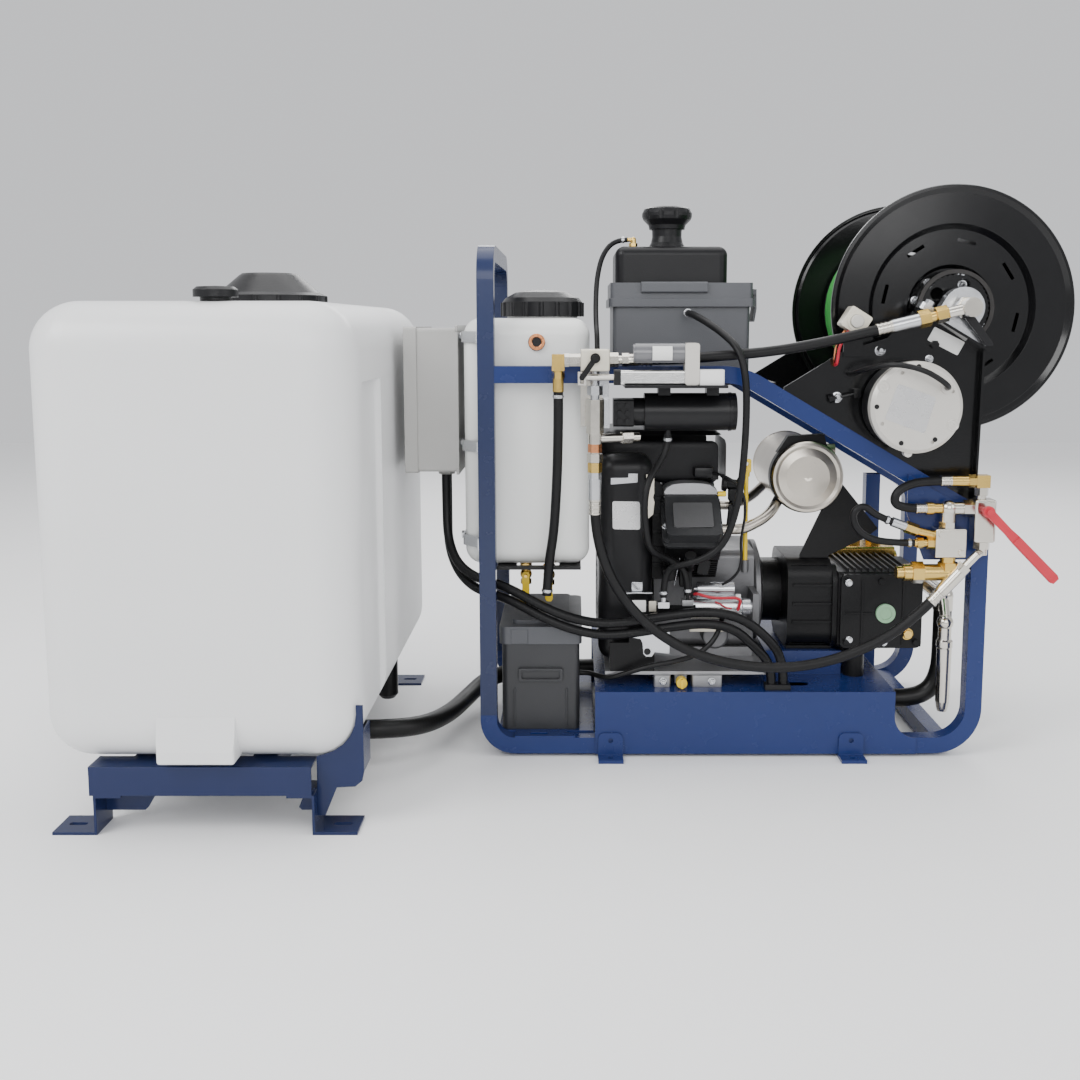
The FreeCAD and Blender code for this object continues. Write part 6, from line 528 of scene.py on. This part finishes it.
def lathe(bm, profile, place, axis, segments=32, finish=0):
    """A turned shape: profile is (distance along the axis, radius) pairs from place, in metres."""
    axis, side, up = across(axis)
    rings = []
    for along, radius in profile:
        middle = Vector(place) + axis * along
        rings.append(ring(bm, middle, side, up, radius, segments) if radius > WELD else [bm.verts.new(middle)])
    for near, far in zip(rings, rings[1:]):
        for i in range(segments):
            j = (i + 1) % segments
            corners = dict.fromkeys((
                near[i % len(near)], near[j % len(near)], far[j % len(far)], far[i % len(far)],
            ))
            if len(corners) > 2:
                bm.faces.new(list(corners)).material_index = finish


def crimp(bm, end, way, radius, length):
    """The swaged collar at a hose's end, with its three pressed bands."""
    inside_r, pressed, outer = radius - 0.002, radius + 0.0012, radius + 0.0028
    profile = [(0, inside_r), (0, outer), (length * 0.12, outer)]
    for step in range(3):
        start = length * (0.16 + step * 0.27)
        profile += [
            (start, pressed), (start + length * 0.15, pressed),
            (start + length * 0.18, outer), (start + length * 0.25, outer),
        ]
    profile += [(length, outer - 0.0006), (length, inside_r)]
    lathe(bm, profile, end, way)


def clamp_band(bm, middle, way, radius, width):
    """A clamp's band round a hose."""
    low, high = radius - 0.001, radius + 0.0012
    lathe(bm, [(-width / 2, low), (-width / 2, high), (width / 2, high), (width / 2, low)], middle, way, 24)


def block(bm, middle, size, way=(0, 0, 1), *, bevel, finish=0):
    """A small box with softened edges, its third size along way."""
    made = bmesh.ops.create_cube(bm, size=1.0)
    turn = Vector((0, 0, 1)).rotation_difference(Vector(way)).to_matrix().to_4x4()
    spread = Matrix.Diagonal((*size, 1))
    bmesh.ops.transform(bm, matrix=Matrix.Translation(middle) @ turn @ spread, verts=made["verts"])
    faces = list(dict.fromkeys(face for vert in made["verts"] for face in vert.link_faces))
    for face in faces:
        face.material_index = finish
    result = bmesh.ops.bevel(bm, geom=edges_of(faces), offset=bevel, segments=2, affect="EDGES", profile=0.6)
    for face in result["faces"]:
        face.material_index = finish


def edges_of(faces):
    return list(dict.fromkeys(edge for face in faces for edge in face.edges))


WASHER_THICKNESS = 0.0016


def hex_bolt(bm, place, way, flats, height, shank=True):
    """A bolt head on its washer, with its rounded end, standing on place and pointing along way."""
    way, side, up = across(way)
    base = Vector(place)
    rim = flats * 0.72
    lathe(bm, [
        (0, 0), (0, rim), (0.0014, rim), (WASHER_THICKNESS, flats * 0.69), (WASHER_THICKNESS, 0),
    ], base, way, 24)
    top = WASHER_THICKNESS + height
    corner = flats / math.sqrt(3)
    rings = [
        ring(bm, base + way * along, side, up, corner * share, 6)
        for along, share in ((WASHER_THICKNESS, 1.0), (top - height * 0.14, 1.0), (top, 0.90))
    ]
    for near, far in zip(rings, rings[1:]):
        for i in range(6):
            j = (i + 1) % 6
            bm.faces.new([near[i], near[j], far[j], far[i]])
    bm.faces.new(rings[-1])
    if shank:
        thread = flats * 0.30
        lathe(bm, [
            (top, thread), (top + 0.003, thread), (top + 0.004, thread * 0.8), (top + 0.004, 0),
        ], base, way, 16)


PUMP_HOSE = metres([
    (-318.5, -325, 614), (-318.5, -325, 548), (-290, -332, 448), (-240, -336, 369), (-170, -338, 304),
    (-80, -340, 256), (34, -342, 231), (147, -342, 231), (259, -340, 258), (385.4, -336, 321.5),
    (462, -336, 406),
])
FEED_HOSE = metres([
    (-226, -310, 925), (-150, -310, 925), (-50, -296, 932), (60, -292, 941), (160, -306, 957),
    (254.9, -334, 979.8), (332.6, -334, 998.6),
])
REGULATOR_LOOP = metres([
    (482, -314.25, 654), (442, -314.25, 654), (394, -318, 650), (358, -322, 632), (352, -322, 604),
    (384, -314.25, 592), (428, -314.25, 592),
])
BYPASS_HOSE = metres([
    (-400, -325, 855), (-400, -325, 760), (-404, -310, 640), (-411, -286, 530), (-424, -263, 452),
    (-428, -262, 380),
])
THIN_ONE = metres([
    (-95, -112, 1030), (-95, -156, 1030), (-76, -212, 1018), (-36, -272, 988), (0, -322, 950),
    (14, -336, 890), (17, -334, 810), (15, -328, 725), (9, -324, 645), (-3, -320, 575), (-25, -316, 512),
    (-62, -310, 478), (-112, -290, 458), (-157, -258, 440), (-157, -258, 374),
])
THIN_TWO = metres([
    (-150, -246, 752), (-150, -246, 722), (-172, -262, 686), (-198, -290, 650), (-207, -298, 596),
    (-202, -298, 540), (-192, -284, 490), (-150, -246, 462), (-99, -236, 436), (-99, -236, 374),
])
VENT_HOSE = metres([
    (-236, -50, 1206), (-266, -50, 1206), (-296, -66, 1172), (-310, -96, 1118), (-314, -138, 1058),
    (-314, -186, 1004), (-312, -238, 972), (-312, -238, 922),
])
RELIEF_HOSE = metres([
    (404, -314.25, 513), (352, -314.25, 513), (298, -314.25, 523), (268, -312, 550), (264, -310, 584),
    (288, -312, 600), (316.3, -314.25, 575), (352, -314.25, 562),
])
LOOM_ONE = metres([
    (-672, -133, 646), (-672, -133, 564), (-668, -150, 492), (-644, -190, 442), (-600, -222, 414),
    (-548, -234, 402), (-500, -254, 386), (-440, -272, 356), (-378, -277, 331), (-308, -273, 314),
    (-236, -270, 318), (-150, -270, 333), (-62, -270, 344), (16, -270, 332), (76, -267, 290),
    (124, -264, 230), (124, -264, 170),
])
LOOM_TWO = metres([
    (-672, -107, 646), (-672, -107, 552), (-670, -124, 470), (-642, -170, 414), (-598, -218, 385),
    (-546, -235, 374), (-497, -256, 359), (-434, -274, 328), (-374, -278, 304), (-306, -273, 287),
    (-232, -270, 291), (-146, -271, 306), (-62, -272, 317), (6, -272, 304), (52, -269, 262),
    (96, -264, 216), (96, -264, 170),
])
STARTER_CABLE = metres([
    (-352, -200, 176), (-330, -200, 176), (-308, -226, 176), (-282, -254, 178), (-240, -268, 196),
    (-190, -272, 214), (-130, -272, 224), (-76, -270, 240), (-38, -262, 272), (-20, -250, 312),
    (-16, -232, 330), (-16, -202, 330),
])
MOTOR_CABLE = metres([
    (448, -366, 866), (448, -387, 866), (428, -400, 882), (386, -404, 906), (336, -386, 918),
    (296, -350, 912), (268, -312, 900), (262, -278, 892), (262, -249.5, 892),
])
SWITCH_CABLE = metres([
    (250.75, -277, 988.8), (240.2, -277, 971.9), (230, -278, 950), (228, -278, 928), (228, -268, 912),
    (228, -249.5, 912),
])
SUCTION_HOSE = metres([
    (-853, -330, 82), (-796, -330, 82), (-716, -270, 70), (-668, -156, 60), (-636, -20, 58), (-596, 78, 74),
    (-520, 112, 86), (-400, 118, 92), (-250, 118, 94), (-80, 80, 98), (80, 0, 100), (230, -84, 100),
    (340, -136, 98), (430, -148, 94), (498, -149, 108), (526, -150, 160), (528, -150, 240),
    (528, -150, 318),
])


def ends(points):
    """Each end of a route, and the way from there into the hose."""
    first = (Vector(points[1]) - Vector(points[0])).normalized()
    last = (Vector(points[-2]) - Vector(points[-1])).normalized()
    return (points[0], first), (points[-1], last)


def replace_node(name, pieces):
    for piece in pieces:
        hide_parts(name)


# Outer radii in metres
PRESSURE_R = 0.0115
LOOP_R = 0.010
BYPASS_R = 0.011
THIN_R = 0.008
VENT_R = 0.006
LOOM_R = 0.011
CABLE_R = 0.006
SWITCH_R = 0.0035
SUCTION_R = 0.022


def high_pressure():
    """The high-pressure hoses, each with its radius and the length of its collars."""
    hoses = (
        ("pump_hose_rubber", PUMP_HOSE, PRESSURE_R, 0.034), ("reel_feed_rubber", FEED_HOSE, PRESSURE_R, 0.034),
        ("regulator_loop_rubber", REGULATOR_LOOP, LOOP_R, 0.024),
    )
    replace_node("high_pressure_hoses", [
        spline_curve(name, points, radius, M["hose_black"]) for name, points, radius, _ in hoses
    ])
    bm = bmesh.new()
    for _, points, radius, collar in hoses:
        for end, way in ends(points):
            crimp(bm, end, way, radius, collar)
    new_piece("hose_crimps", bm, ["nickel"])


def low_pressure():
    """The low-pressure hoses, the vent hose's clip, and a clamp at each end with a narrow raised band."""
    hoses = (
        ("bypass_rubber", BYPASS_HOSE, BYPASS_R), ("thin_one_rubber", THIN_ONE, THIN_R),
        ("thin_two_rubber", THIN_TWO, THIN_R), ("vent_rubber", VENT_HOSE, VENT_R),
        ("relief_rubber", RELIEF_HOSE, THIN_R),
    )
    pieces = [spline_curve(name, points, radius, M["hose_black"]) for name, points, radius in hoses]
    bm = bmesh.new()
    block(bm, (-0.312, -0.267, 0.915), (0.024, 0.003, 0.042), bevel=0.0008)
    block(bm, (-0.312, -0.249, 0.931), (0.024, 0.038, 0.006), bevel=0.0008)
    replace_node("low_pressure_hoses", pieces + [new_piece("vent_clip", bm, ["black_satin"])])
    bm = bmesh.new()
    for _, points, radius in hoses:
        for end, way in ends(points):
            middle = Vector(end) + way * 0.011
            clamp_band(bm, middle, way, radius, 0.007)
            clamp_band(bm, middle, way, radius + 0.0010, 0.003)
    new_piece("hose_clamps", bm, ["zinc"])


def wires():
    pieces = [
        spline_curve(name, points, radius, M[finish]) for name, points, radius, finish in (
            ("loom_one_sleeve", LOOM_ONE, LOOM_R, "loom_sleeve"),
            ("loom_two_sleeve", LOOM_TWO, LOOM_R, "loom_sleeve"),
            ("starter_cable_sleeve", STARTER_CABLE, CABLE_R, "sleeve_black"),
            ("motor_cable_sleeve", MOTOR_CABLE, CABLE_R, "sleeve_black"),
            ("switch_cable_sleeve", SWITCH_CABLE, SWITCH_R, "red"),
        )
    ]
    bm = bmesh.new()
    block(bm, (0.110, -0.264, 0.1555), (0.060, 0.030, 0.029), bevel=0.002)
    replace_node("wiring", pieces + [new_piece("loom_clamp", bm, ["black_satin"])])


# Wound hose: the outer layer on the drum, one tube from stop to stop

# The reach is from the reel's axis to the middle of the hose.
HOSE_TURNS = 22.5
HOSE_PITCH = 0.0183
HOSE_REACH = 0.1912
HOSE_RADIUS = 0.0088
DRUM_MIDDLE_Y = 0.027
POINTS_PER_TURN = 16


def wound_points():
    """The guide points of the layer, with a straight lead of one hose width at each end."""
    start_y = DRUM_MIDDLE_Y - HOSE_PITCH * HOSE_TURNS / 2
    # The spline passes each point at this share of the point's distance from the axis.
    pull = (6 + 2 * math.cos(2 * math.pi / POINTS_PER_TURN)) / 8
    count = int(HOSE_TURNS * POINTS_PER_TURN)
    points = []
    for index in range(count + 1):
        turn = index / POINTS_PER_TURN
        angle = 2 * math.pi * turn
        reach = HOSE_REACH if index in (0, count) else HOSE_REACH / pull
        points.append((
            REEL_X + reach * math.sin(angle), start_y + HOSE_PITCH * turn, REEL_Z + reach * math.cos(angle),
        ))
    climb = HOSE_PITCH / (2 * math.pi * HOSE_REACH)
    lead = 2 * HOSE_RADIUS
    first = Vector(points[0]) - Vector((1, climb, 0)).normalized() * lead
    last = Vector(points[-1]) + Vector((-1, climb, 0)).normalized() * lead
    return [tuple(first)] + points + [tuple(last)]


def wound():
    """Made into a mesh, because this long curve's bound box comes out far too large."""
    guide = round_tube("wound_hose_guide", wound_points(), HOSE_RADIUS, M["green_cover"])
    guide.data.resolution_u = 3
    guide.data.bevel_resolution = 4
    bpy.context.view_layer.update()
    mesh = bpy.data.meshes.new_from_object(guide.evaluated_get(bpy.context.evaluated_depsgraph_get()))
    bpy.data.objects.remove(guide)
    piece = bpy.data.objects.new("wound_hose_rubber", mesh)
    bpy.context.scene.collection.objects.link(piece)
    for face in mesh.polygons:
        face.use_smooth = True
    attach(piece, "reel")
    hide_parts("wound_hose")


high_pressure()
low_pressure()
wires()
replace_node("suction_hose", [spline_curve("suction_rubber", SUCTION_HOSE, SUCTION_R, M["suction_black"])])
wound()


# Small details

PLATE_THICKNESS = 0.0006


def plate_label(name, corners, finish):
    """A blank stuck-on plate with rounded corners; corners go round from its upper left, in metres."""
    a, b, c, d = (Vector(corner) for corner in corners)
    right = (b - a).normalized()
    down = (d - a).normalized()
    lift = down.cross(right).normalized() * PLATE_THICKNESS
    radius = min((b - a).length, (d - a).length) * 0.08
    outline = []
    for corner, s, t, start in ((a, 1, 1, 180), (b, -1, 1, 270), (c, -1, -1, 0), (d, 1, -1, 90)):
        centre = corner + right * radius * s + down * radius * t
        for step in range(5):
            angle = math.radians(start + step * 22.5)
            outline.append(centre + right * radius * math.cos(angle) + down * radius * math.sin(angle))
    bm = bmesh.new()
    low = [bm.verts.new(point) for point in outline]
    high = [bm.verts.new(point + lift) for point in outline]
    bm.faces.new(high)
    bm.faces.new(list(reversed(low)))
    for i in range(len(outline)):
        j = (i + 1) % len(outline)
        bm.faces.new([low[i], low[j], high[j], high[i]])
    new_piece(name, bm, [finish])


# Where the front faces of the reel's motor and bracket are
MOTOR_FACE_Y = -0.359
BRACKET_FACE_Y = -0.2495


def motor_details():
    y = MOTOR_FACE_Y
    plate_label("motor_blank_plate", [
        (0.343, y, 0.875), (0.428, y, 0.844), (0.404, y, 0.765), (0.316, y, 0.797),
    ], "label_silver")
    bm = bmesh.new()
    screw = [(0, 0.0055), (0.0012, 0.0052), (0.0012, 0.0030), (0.0002, 0.0028), (0.0002, 0)]
    for x, z in ((0.298, 0.824), (0.354, 0.744), (0.428, 0.752), (0.387, 0.912)):
        lathe(bm, screw, (x, y, z), FORWARD, 16)
    new_piece("motor_screws", bm, ["black_satin"])
    bm = bmesh.new()
    boss = [
        (0, 0.0135), (0.0016, 0.0130), (0.0020, 0.0110), (0.0008, 0.0098), (0.0008, 0.004), (0.0022, 0.0030),
        (0.0024, 0),
    ]
    for x, z in ((0.311, 0.869), (0.466, 0.784)):
        lathe(bm, boss, (x, y, z), FORWARD, 28)
    new_piece("motor_bosses", bm, ["silver_paint"])


def bracket_details():
    y = BRACKET_FACE_Y
    plate_label("bracket_blank_label", [
        (0.452, y, 0.998), (0.522, y, 0.963), (0.506, y, 0.933), (0.436, y, 0.968),
    ], "label_white")
    bm = bmesh.new()
    hex_bolt(bm, (0.330, y, 0.944), FORWARD, 0.017, 0.008)
    hex_bolt(bm, (0.442, y, 0.925), FORWARD, 0.013, 0.006)
    hex_bolt(bm, (0.235, y, 0.838), FORWARD, 0.017, 0.014)
    new_piece("bracket_bolts", bm, ["zinc"])


motor_details()
bracket_details()


# Details on the engine, pump, reel and antifreeze tank

# Where the front faces of the blower and of the engine's front mount are
BLOWER_FACE_Y = -0.2052
MOUNT_FACE_Y = -0.2462


def sheet_piece(bm, outline, front, thickness, bevel=0.0004):
    """A flat sheet cut to an outline of (x, z) points, standing across the view with its front at y = front."""
    near = [bm.verts.new((x, front, z)) for x, z in outline]
    far = [bm.verts.new((x, front + thickness, z)) for x, z in outline]
    faces = [bm.faces.new(near), bm.faces.new(list(reversed(far)))]
    for i in range(len(outline)):
        j = (i + 1) % len(outline)
        faces.append(bm.faces.new([near[j], near[i], far[i], far[j]]))
    bmesh.ops.bevel(bm, geom=edges_of(faces), offset=bevel, segments=1, affect="EDGES")


def blank_label(name, left, right, bottom, top, y, finish, tilt=0.0):
    plate_label(name, [
        (left, y, top), (right, y, top - tilt), (right + tilt, y, bottom - tilt), (left + tilt, y, bottom),
    ], finish)


def chem_port():
    place = (-0.450, -0.2400, 0.963)
    bm = bmesh.new()
    lathe(bm, [
        (0, 0.0105), (0, 0.0195), (0.0030, 0.0195), (0.0042, 0.0180), (0.0042, 0.0122), (0.0030, 0.0105),
        (0, 0.0105),
    ], place, FORWARD, 48)
    new_piece("port_ring", bm, ["copper"])
    bm = bmesh.new()
    lathe(bm, [(0, 0), (0, 0.0104), (0.0009, 0.0104), (0.0009, 0)], place, FORWARD)
    new_piece("port_dark", bm, ["black_satin"])


def engine_labels():
    blank_label(
        "blower_blank_label", -0.2750, -0.2105, 0.5250, 0.5915, BLOWER_FACE_Y, "label_silver", tilt=0.0012,
    )
    blank_label("bracket_blank_white", -0.2310, -0.1970, 0.3360, 0.3640, MOUNT_FACE_Y, "label_white")
    blank_label("bracket_blank_cream", -0.1900, -0.1730, 0.3370, 0.3620, MOUNT_FACE_Y, "cream")


LABEL_HALF_ANGLE = 42
LABEL_STEPS = 14


def tube_label():
    """A blank white label wrapped on the front of the actuator's upper tube."""
    mesh = nodes["actuator_body"].data
    tube = [v.co for v in mesh.vertices if -0.200 < v.co.x < -0.110 and 0.915 < v.co.z < 0.966]
    low_z, high_z = min(p.z for p in tube), max(p.z for p in tube)
    radius = (high_z - low_z) / 2 + 0.0003
    middle_y, middle_z = min(p.y for p in tube) + (high_z - low_z) / 2, (low_z + high_z) / 2
    bm = bmesh.new()
    rows = []
    for reach in (radius, radius + 0.0005):
        for x in (-0.1950, -0.1520):
            row = []
            for i in range(LABEL_STEPS + 1):
                angle = math.radians(LABEL_HALF_ANGLE * (2 * i / LABEL_STEPS - 1))
                row.append(bm.verts.new((
                    x, middle_y - reach * math.cos(angle), middle_z + reach * math.sin(angle),
                )))
            rows.append(row)
    inner_left, inner_right, outer_left, outer_right = rows
    for first, second in (
        (outer_left, outer_right), (inner_right, inner_left), (inner_left, outer_left),
        (outer_right, inner_right),
    ):
        for i in range(LABEL_STEPS):
            bm.faces.new([first[i], second[i], second[i + 1], first[i + 1]])
    for i in (0, LABEL_STEPS):
        bm.faces.new([inner_left[i], outer_left[i], outer_right[i], inner_right[i]])
    new_piece("actuator_blank_label", bm, ["label_white"])


def engine_plates():
    bm = bmesh.new()
    sheet_piece(bm, [
        (-0.279, 0.631), (-0.216, 0.636), (-0.216, 0.657), (-0.238, 0.657), (-0.238, 0.647), (-0.279, 0.647),
    ], BLOWER_FACE_Y - 0.002, 0.002)
    y = MOUNT_FACE_Y - 0.0023
    sheet_piece(bm, [
        (-0.2306, 0.289), (-0.2306, 0.275), (-0.2090, 0.272), (-0.2040, 0.262), (-0.2030, 0.236),
        (-0.1960, 0.2285), (-0.1820, 0.2285), (-0.1760, 0.240), (-0.1406, 0.235), (-0.1406, 0.289),
    ], y, 0.0023, 0.0006)
    lathe(bm, [
        (0, 0), (0, 0.008), (0.001, 0.008), (0.001, 0.0062), (0.0004, 0.0060), (0.0004, 0),
    ], (-0.1930, y, 0.2415), FORWARD, 24, 1)
    block(bm, (-0.2160, -0.2080, 0.3880), (0.026, 0.006, 0.022), bevel=0.0015)
    block(bm, (-0.2130, -0.2130, 0.3745), (0.066, 0.016, 0.0035), bevel=0.001)
    new_piece("engine_front_plates", bm, ["zinc", "black_satin"])
    bm = bmesh.new()
    sheet_piece(bm, [
        (-0.1960, 0.545), (-0.1790, 0.560), (-0.1760, 0.590), (-0.1800, 0.600), (-0.1770, 0.610),
        (-0.1770, 0.648), (-0.1900, 0.655), (-0.1960, 0.655), (-0.1960, 0.622), (-0.1925, 0.618),
        (-0.1925, 0.600), (-0.1960, 0.596),
    ], -0.2060, 0.002)
    block(bm, (-0.0450, -0.1795, 0.2800), (0.086, 0.007, 0.018), bevel=0.002)
    new_piece("engine_side_strips", bm, ["cream"])


ARCH_STEPS = 12


def head_shroud():
    """The bright arched shroud over the front cylinder's head, between its cover and the blower."""
    outline = [(-0.154, 0.604)]
    for i in range(ARCH_STEPS + 1):
        angle = math.pi - math.pi * i / ARCH_STEPS
        outline.append((-0.0905 + 0.0625 * math.cos(angle), 0.612 + 0.021 * math.sin(angle) ** 0.6))
    outline.append((-0.027, 0.604))
    bm = bmesh.new()
    sheet_piece(bm, outline, -0.196, 0.060, 0.003)
    new_piece("head_shroud", bm, ["cast_alu"])


def cooling_baffle():
    """The ribbed sheet left of the front cylinder."""
    bm = bmesh.new()
    sheet_piece(bm, [
        (-0.186, 0.395), (-0.150, 0.395), (-0.150, 0.606), (-0.158, 0.628), (-0.186, 0.640),
    ], -0.158, 0.003, 0.001)
    for height in (0.430, 0.470, 0.510, 0.550, 0.590):
        block(bm, (-0.168, -0.1600, height), (0.030, 0.004, 0.010), bevel=0.0015)
    new_piece("cooling_baffle", bm, ["cast_dark"])


def carburettor():
    """A coil, and the carburettor's throat, body, bowl, yellow plug and arm, right of the front cylinder."""
    bm = bmesh.new()
    block(bm, (-0.0560, -0.1450, 0.6530), (0.046, 0.034, 0.026), bevel=0.007)
    block(bm, (-0.0300, -0.1450, 0.6440), (0.020, 0.026, 0.018), bevel=0.004)
    lathe(bm, [
        (0, 0), (0, 0.017), (0.006, 0.019), (0.010, 0.019), (0.012, 0.013), (0.034, 0.012), (0.036, 0.017),
        (0.040, 0.017), (0.040, 0),
    ], (-0.012, -0.160, 0.628), (1, 0, -0.1), finish=1)
    block(bm, (0.0160, -0.1600, 0.6010), (0.026, 0.030, 0.030), bevel=0.004, finish=1)
    lathe(bm, [
        (0, 0), (0, 0.011), (0.010, 0.011), (0.012, 0.006), (0.030, 0.005), (0.030, 0),
    ], (0.016, -0.160, 0.588), (0, 0, -1), 24)
    lathe(bm, [
        (0, 0), (0, 0.0065), (0.018, 0.0065), (0.020, 0.005), (0.020, 0),
    ], (-0.026, -0.186, 0.6060), (1, 0, 0), 20, 2)
    block(bm, (0.0040, -0.1850, 0.5520), (0.012, 0.012, 0.054), (0.1, 0, 1), bevel=0.003, finish=1)
    new_piece("carburettor", bm, ["black_satin", "cast_dark", "yellow"])


def linkage():
    """The dark castings under the front cylinder, the governor's rod and the spark plug's lead."""
    bm = bmesh.new()
    lathe(bm, [
        (0, 0), (0, 0.013), (0.018, 0.015), (0.026, 0.011), (0.044, 0.009), (0.044, 0),
    ], (-0.095, -0.2560, 0.474), (0.05, 0.55, -1), 24)
    block(bm, (-0.0620, -0.2230, 0.4400), (0.028, 0.026, 0.036), (0.2, 0, 1), bevel=0.004)
    block(bm, (-0.1380, -0.1900, 0.4150), (0.034, 0.040, 0.030), (-0.15, 0, 1), bevel=0.005)
    block(bm, (-0.1000, -0.1900, 0.4050), (0.030, 0.030, 0.040), bevel=0.004)
    new_piece("linkage_blocks", bm, ["cast_dark"])
    spline_curve("governor_rod", metres([
        (-118, -236, 462), (-122, -222, 430), (-128, -212, 392),
    ]), 0.0014, M["zinc"])
    spline_curve("plug_lead", metres([
        (-34, -160, 652), (0, -196, 650), (34, -214, 610), (36, -220, 560), (24, -222, 500), (30, -222, 452),
        (16, -214, 410), (-14, -205, 392),
    ]), 0.0032, M["sleeve_black"])


def starter_leads():
    spline_curve("starter_red_lead", metres([
        (-80, -204, 368), (-76, -208, 372), (-46, -212, 362), (-12, -212, 360), (16, -212, 362),
        (30, -210, 356), (26, -208, 338), (24, -204, 330),
    ]), 0.0036, M["red"])
    spline_curve("starter_thin_lead", metres([
        (-30, -204, 350), (-18, -210, 346), (-4, -210, 336), (8, -204, 334),
    ]), 0.0018, M["red"])
    bm = bmesh.new()
    block(bm, (0.0240, -0.2060, 0.3640), (0.012, 0.010, 0.010), bevel=0.002)
    new_piece("starter_terminal", bm, ["label_white"])


def engine_bolts():
    slant = (0, -math.sqrt(0.5), math.sqrt(0.5))
    bm = bmesh.new()
    for x in (-0.1515, -0.0245):
        hex_bolt(bm, (x, -0.2179, 0.5329), slant, 0.010, 0.007)
    for place in ((0.2877, -0.198, 0.3946), (0.2937, -0.190, 0.2535), (0.3772, -0.190, 0.2467)):
        hex_bolt(bm, place, FORWARD, 0.012, 0.006, shank=False)
    for x in (-0.1560, -0.0420):
        hex_bolt(bm, (x, -0.2562, 0.1720), FORWARD, 0.013, 0.007)
    new_piece("engine_bolts", bm, ["zinc"])
    bm = bmesh.new()
    hex_bolt(bm, (0.4321, -0.190, 0.2682), FORWARD, 0.020, 0.009, shank=False)
    new_piece("oil_plug", bm, ["brass"])


def hub_bolts():
    bm = bmesh.new()
    for x, z in ((0.5339, 1.0943), (0.4263, 1.0576), (0.4740, 0.9620), (0.5810, 0.9990)):
        hex_bolt(bm, (x, -0.1780, z), FORWARD, 0.015, 0.006)
    new_piece("hub_bolts", bm, ["zinc"], body="reel")


def switch_leads():
    spline_curve("switch_brown_lead", metres([
        (243, -277, 990), (232, -280, 976), (222, -279, 956), (221, -276, 936), (222, -262, 918),
        (224, -250, 910),
    ]), 0.0024, M["copper"])


chem_port()
engine_labels()
tube_label()
engine_plates()
head_shroud()
cooling_baffle()
carburettor()
linkage()
starter_leads()
engine_bolts()
hub_bolts()
switch_leads()


add_camera()
add_light()
add_floor()

bpy.context.view_layer.update()
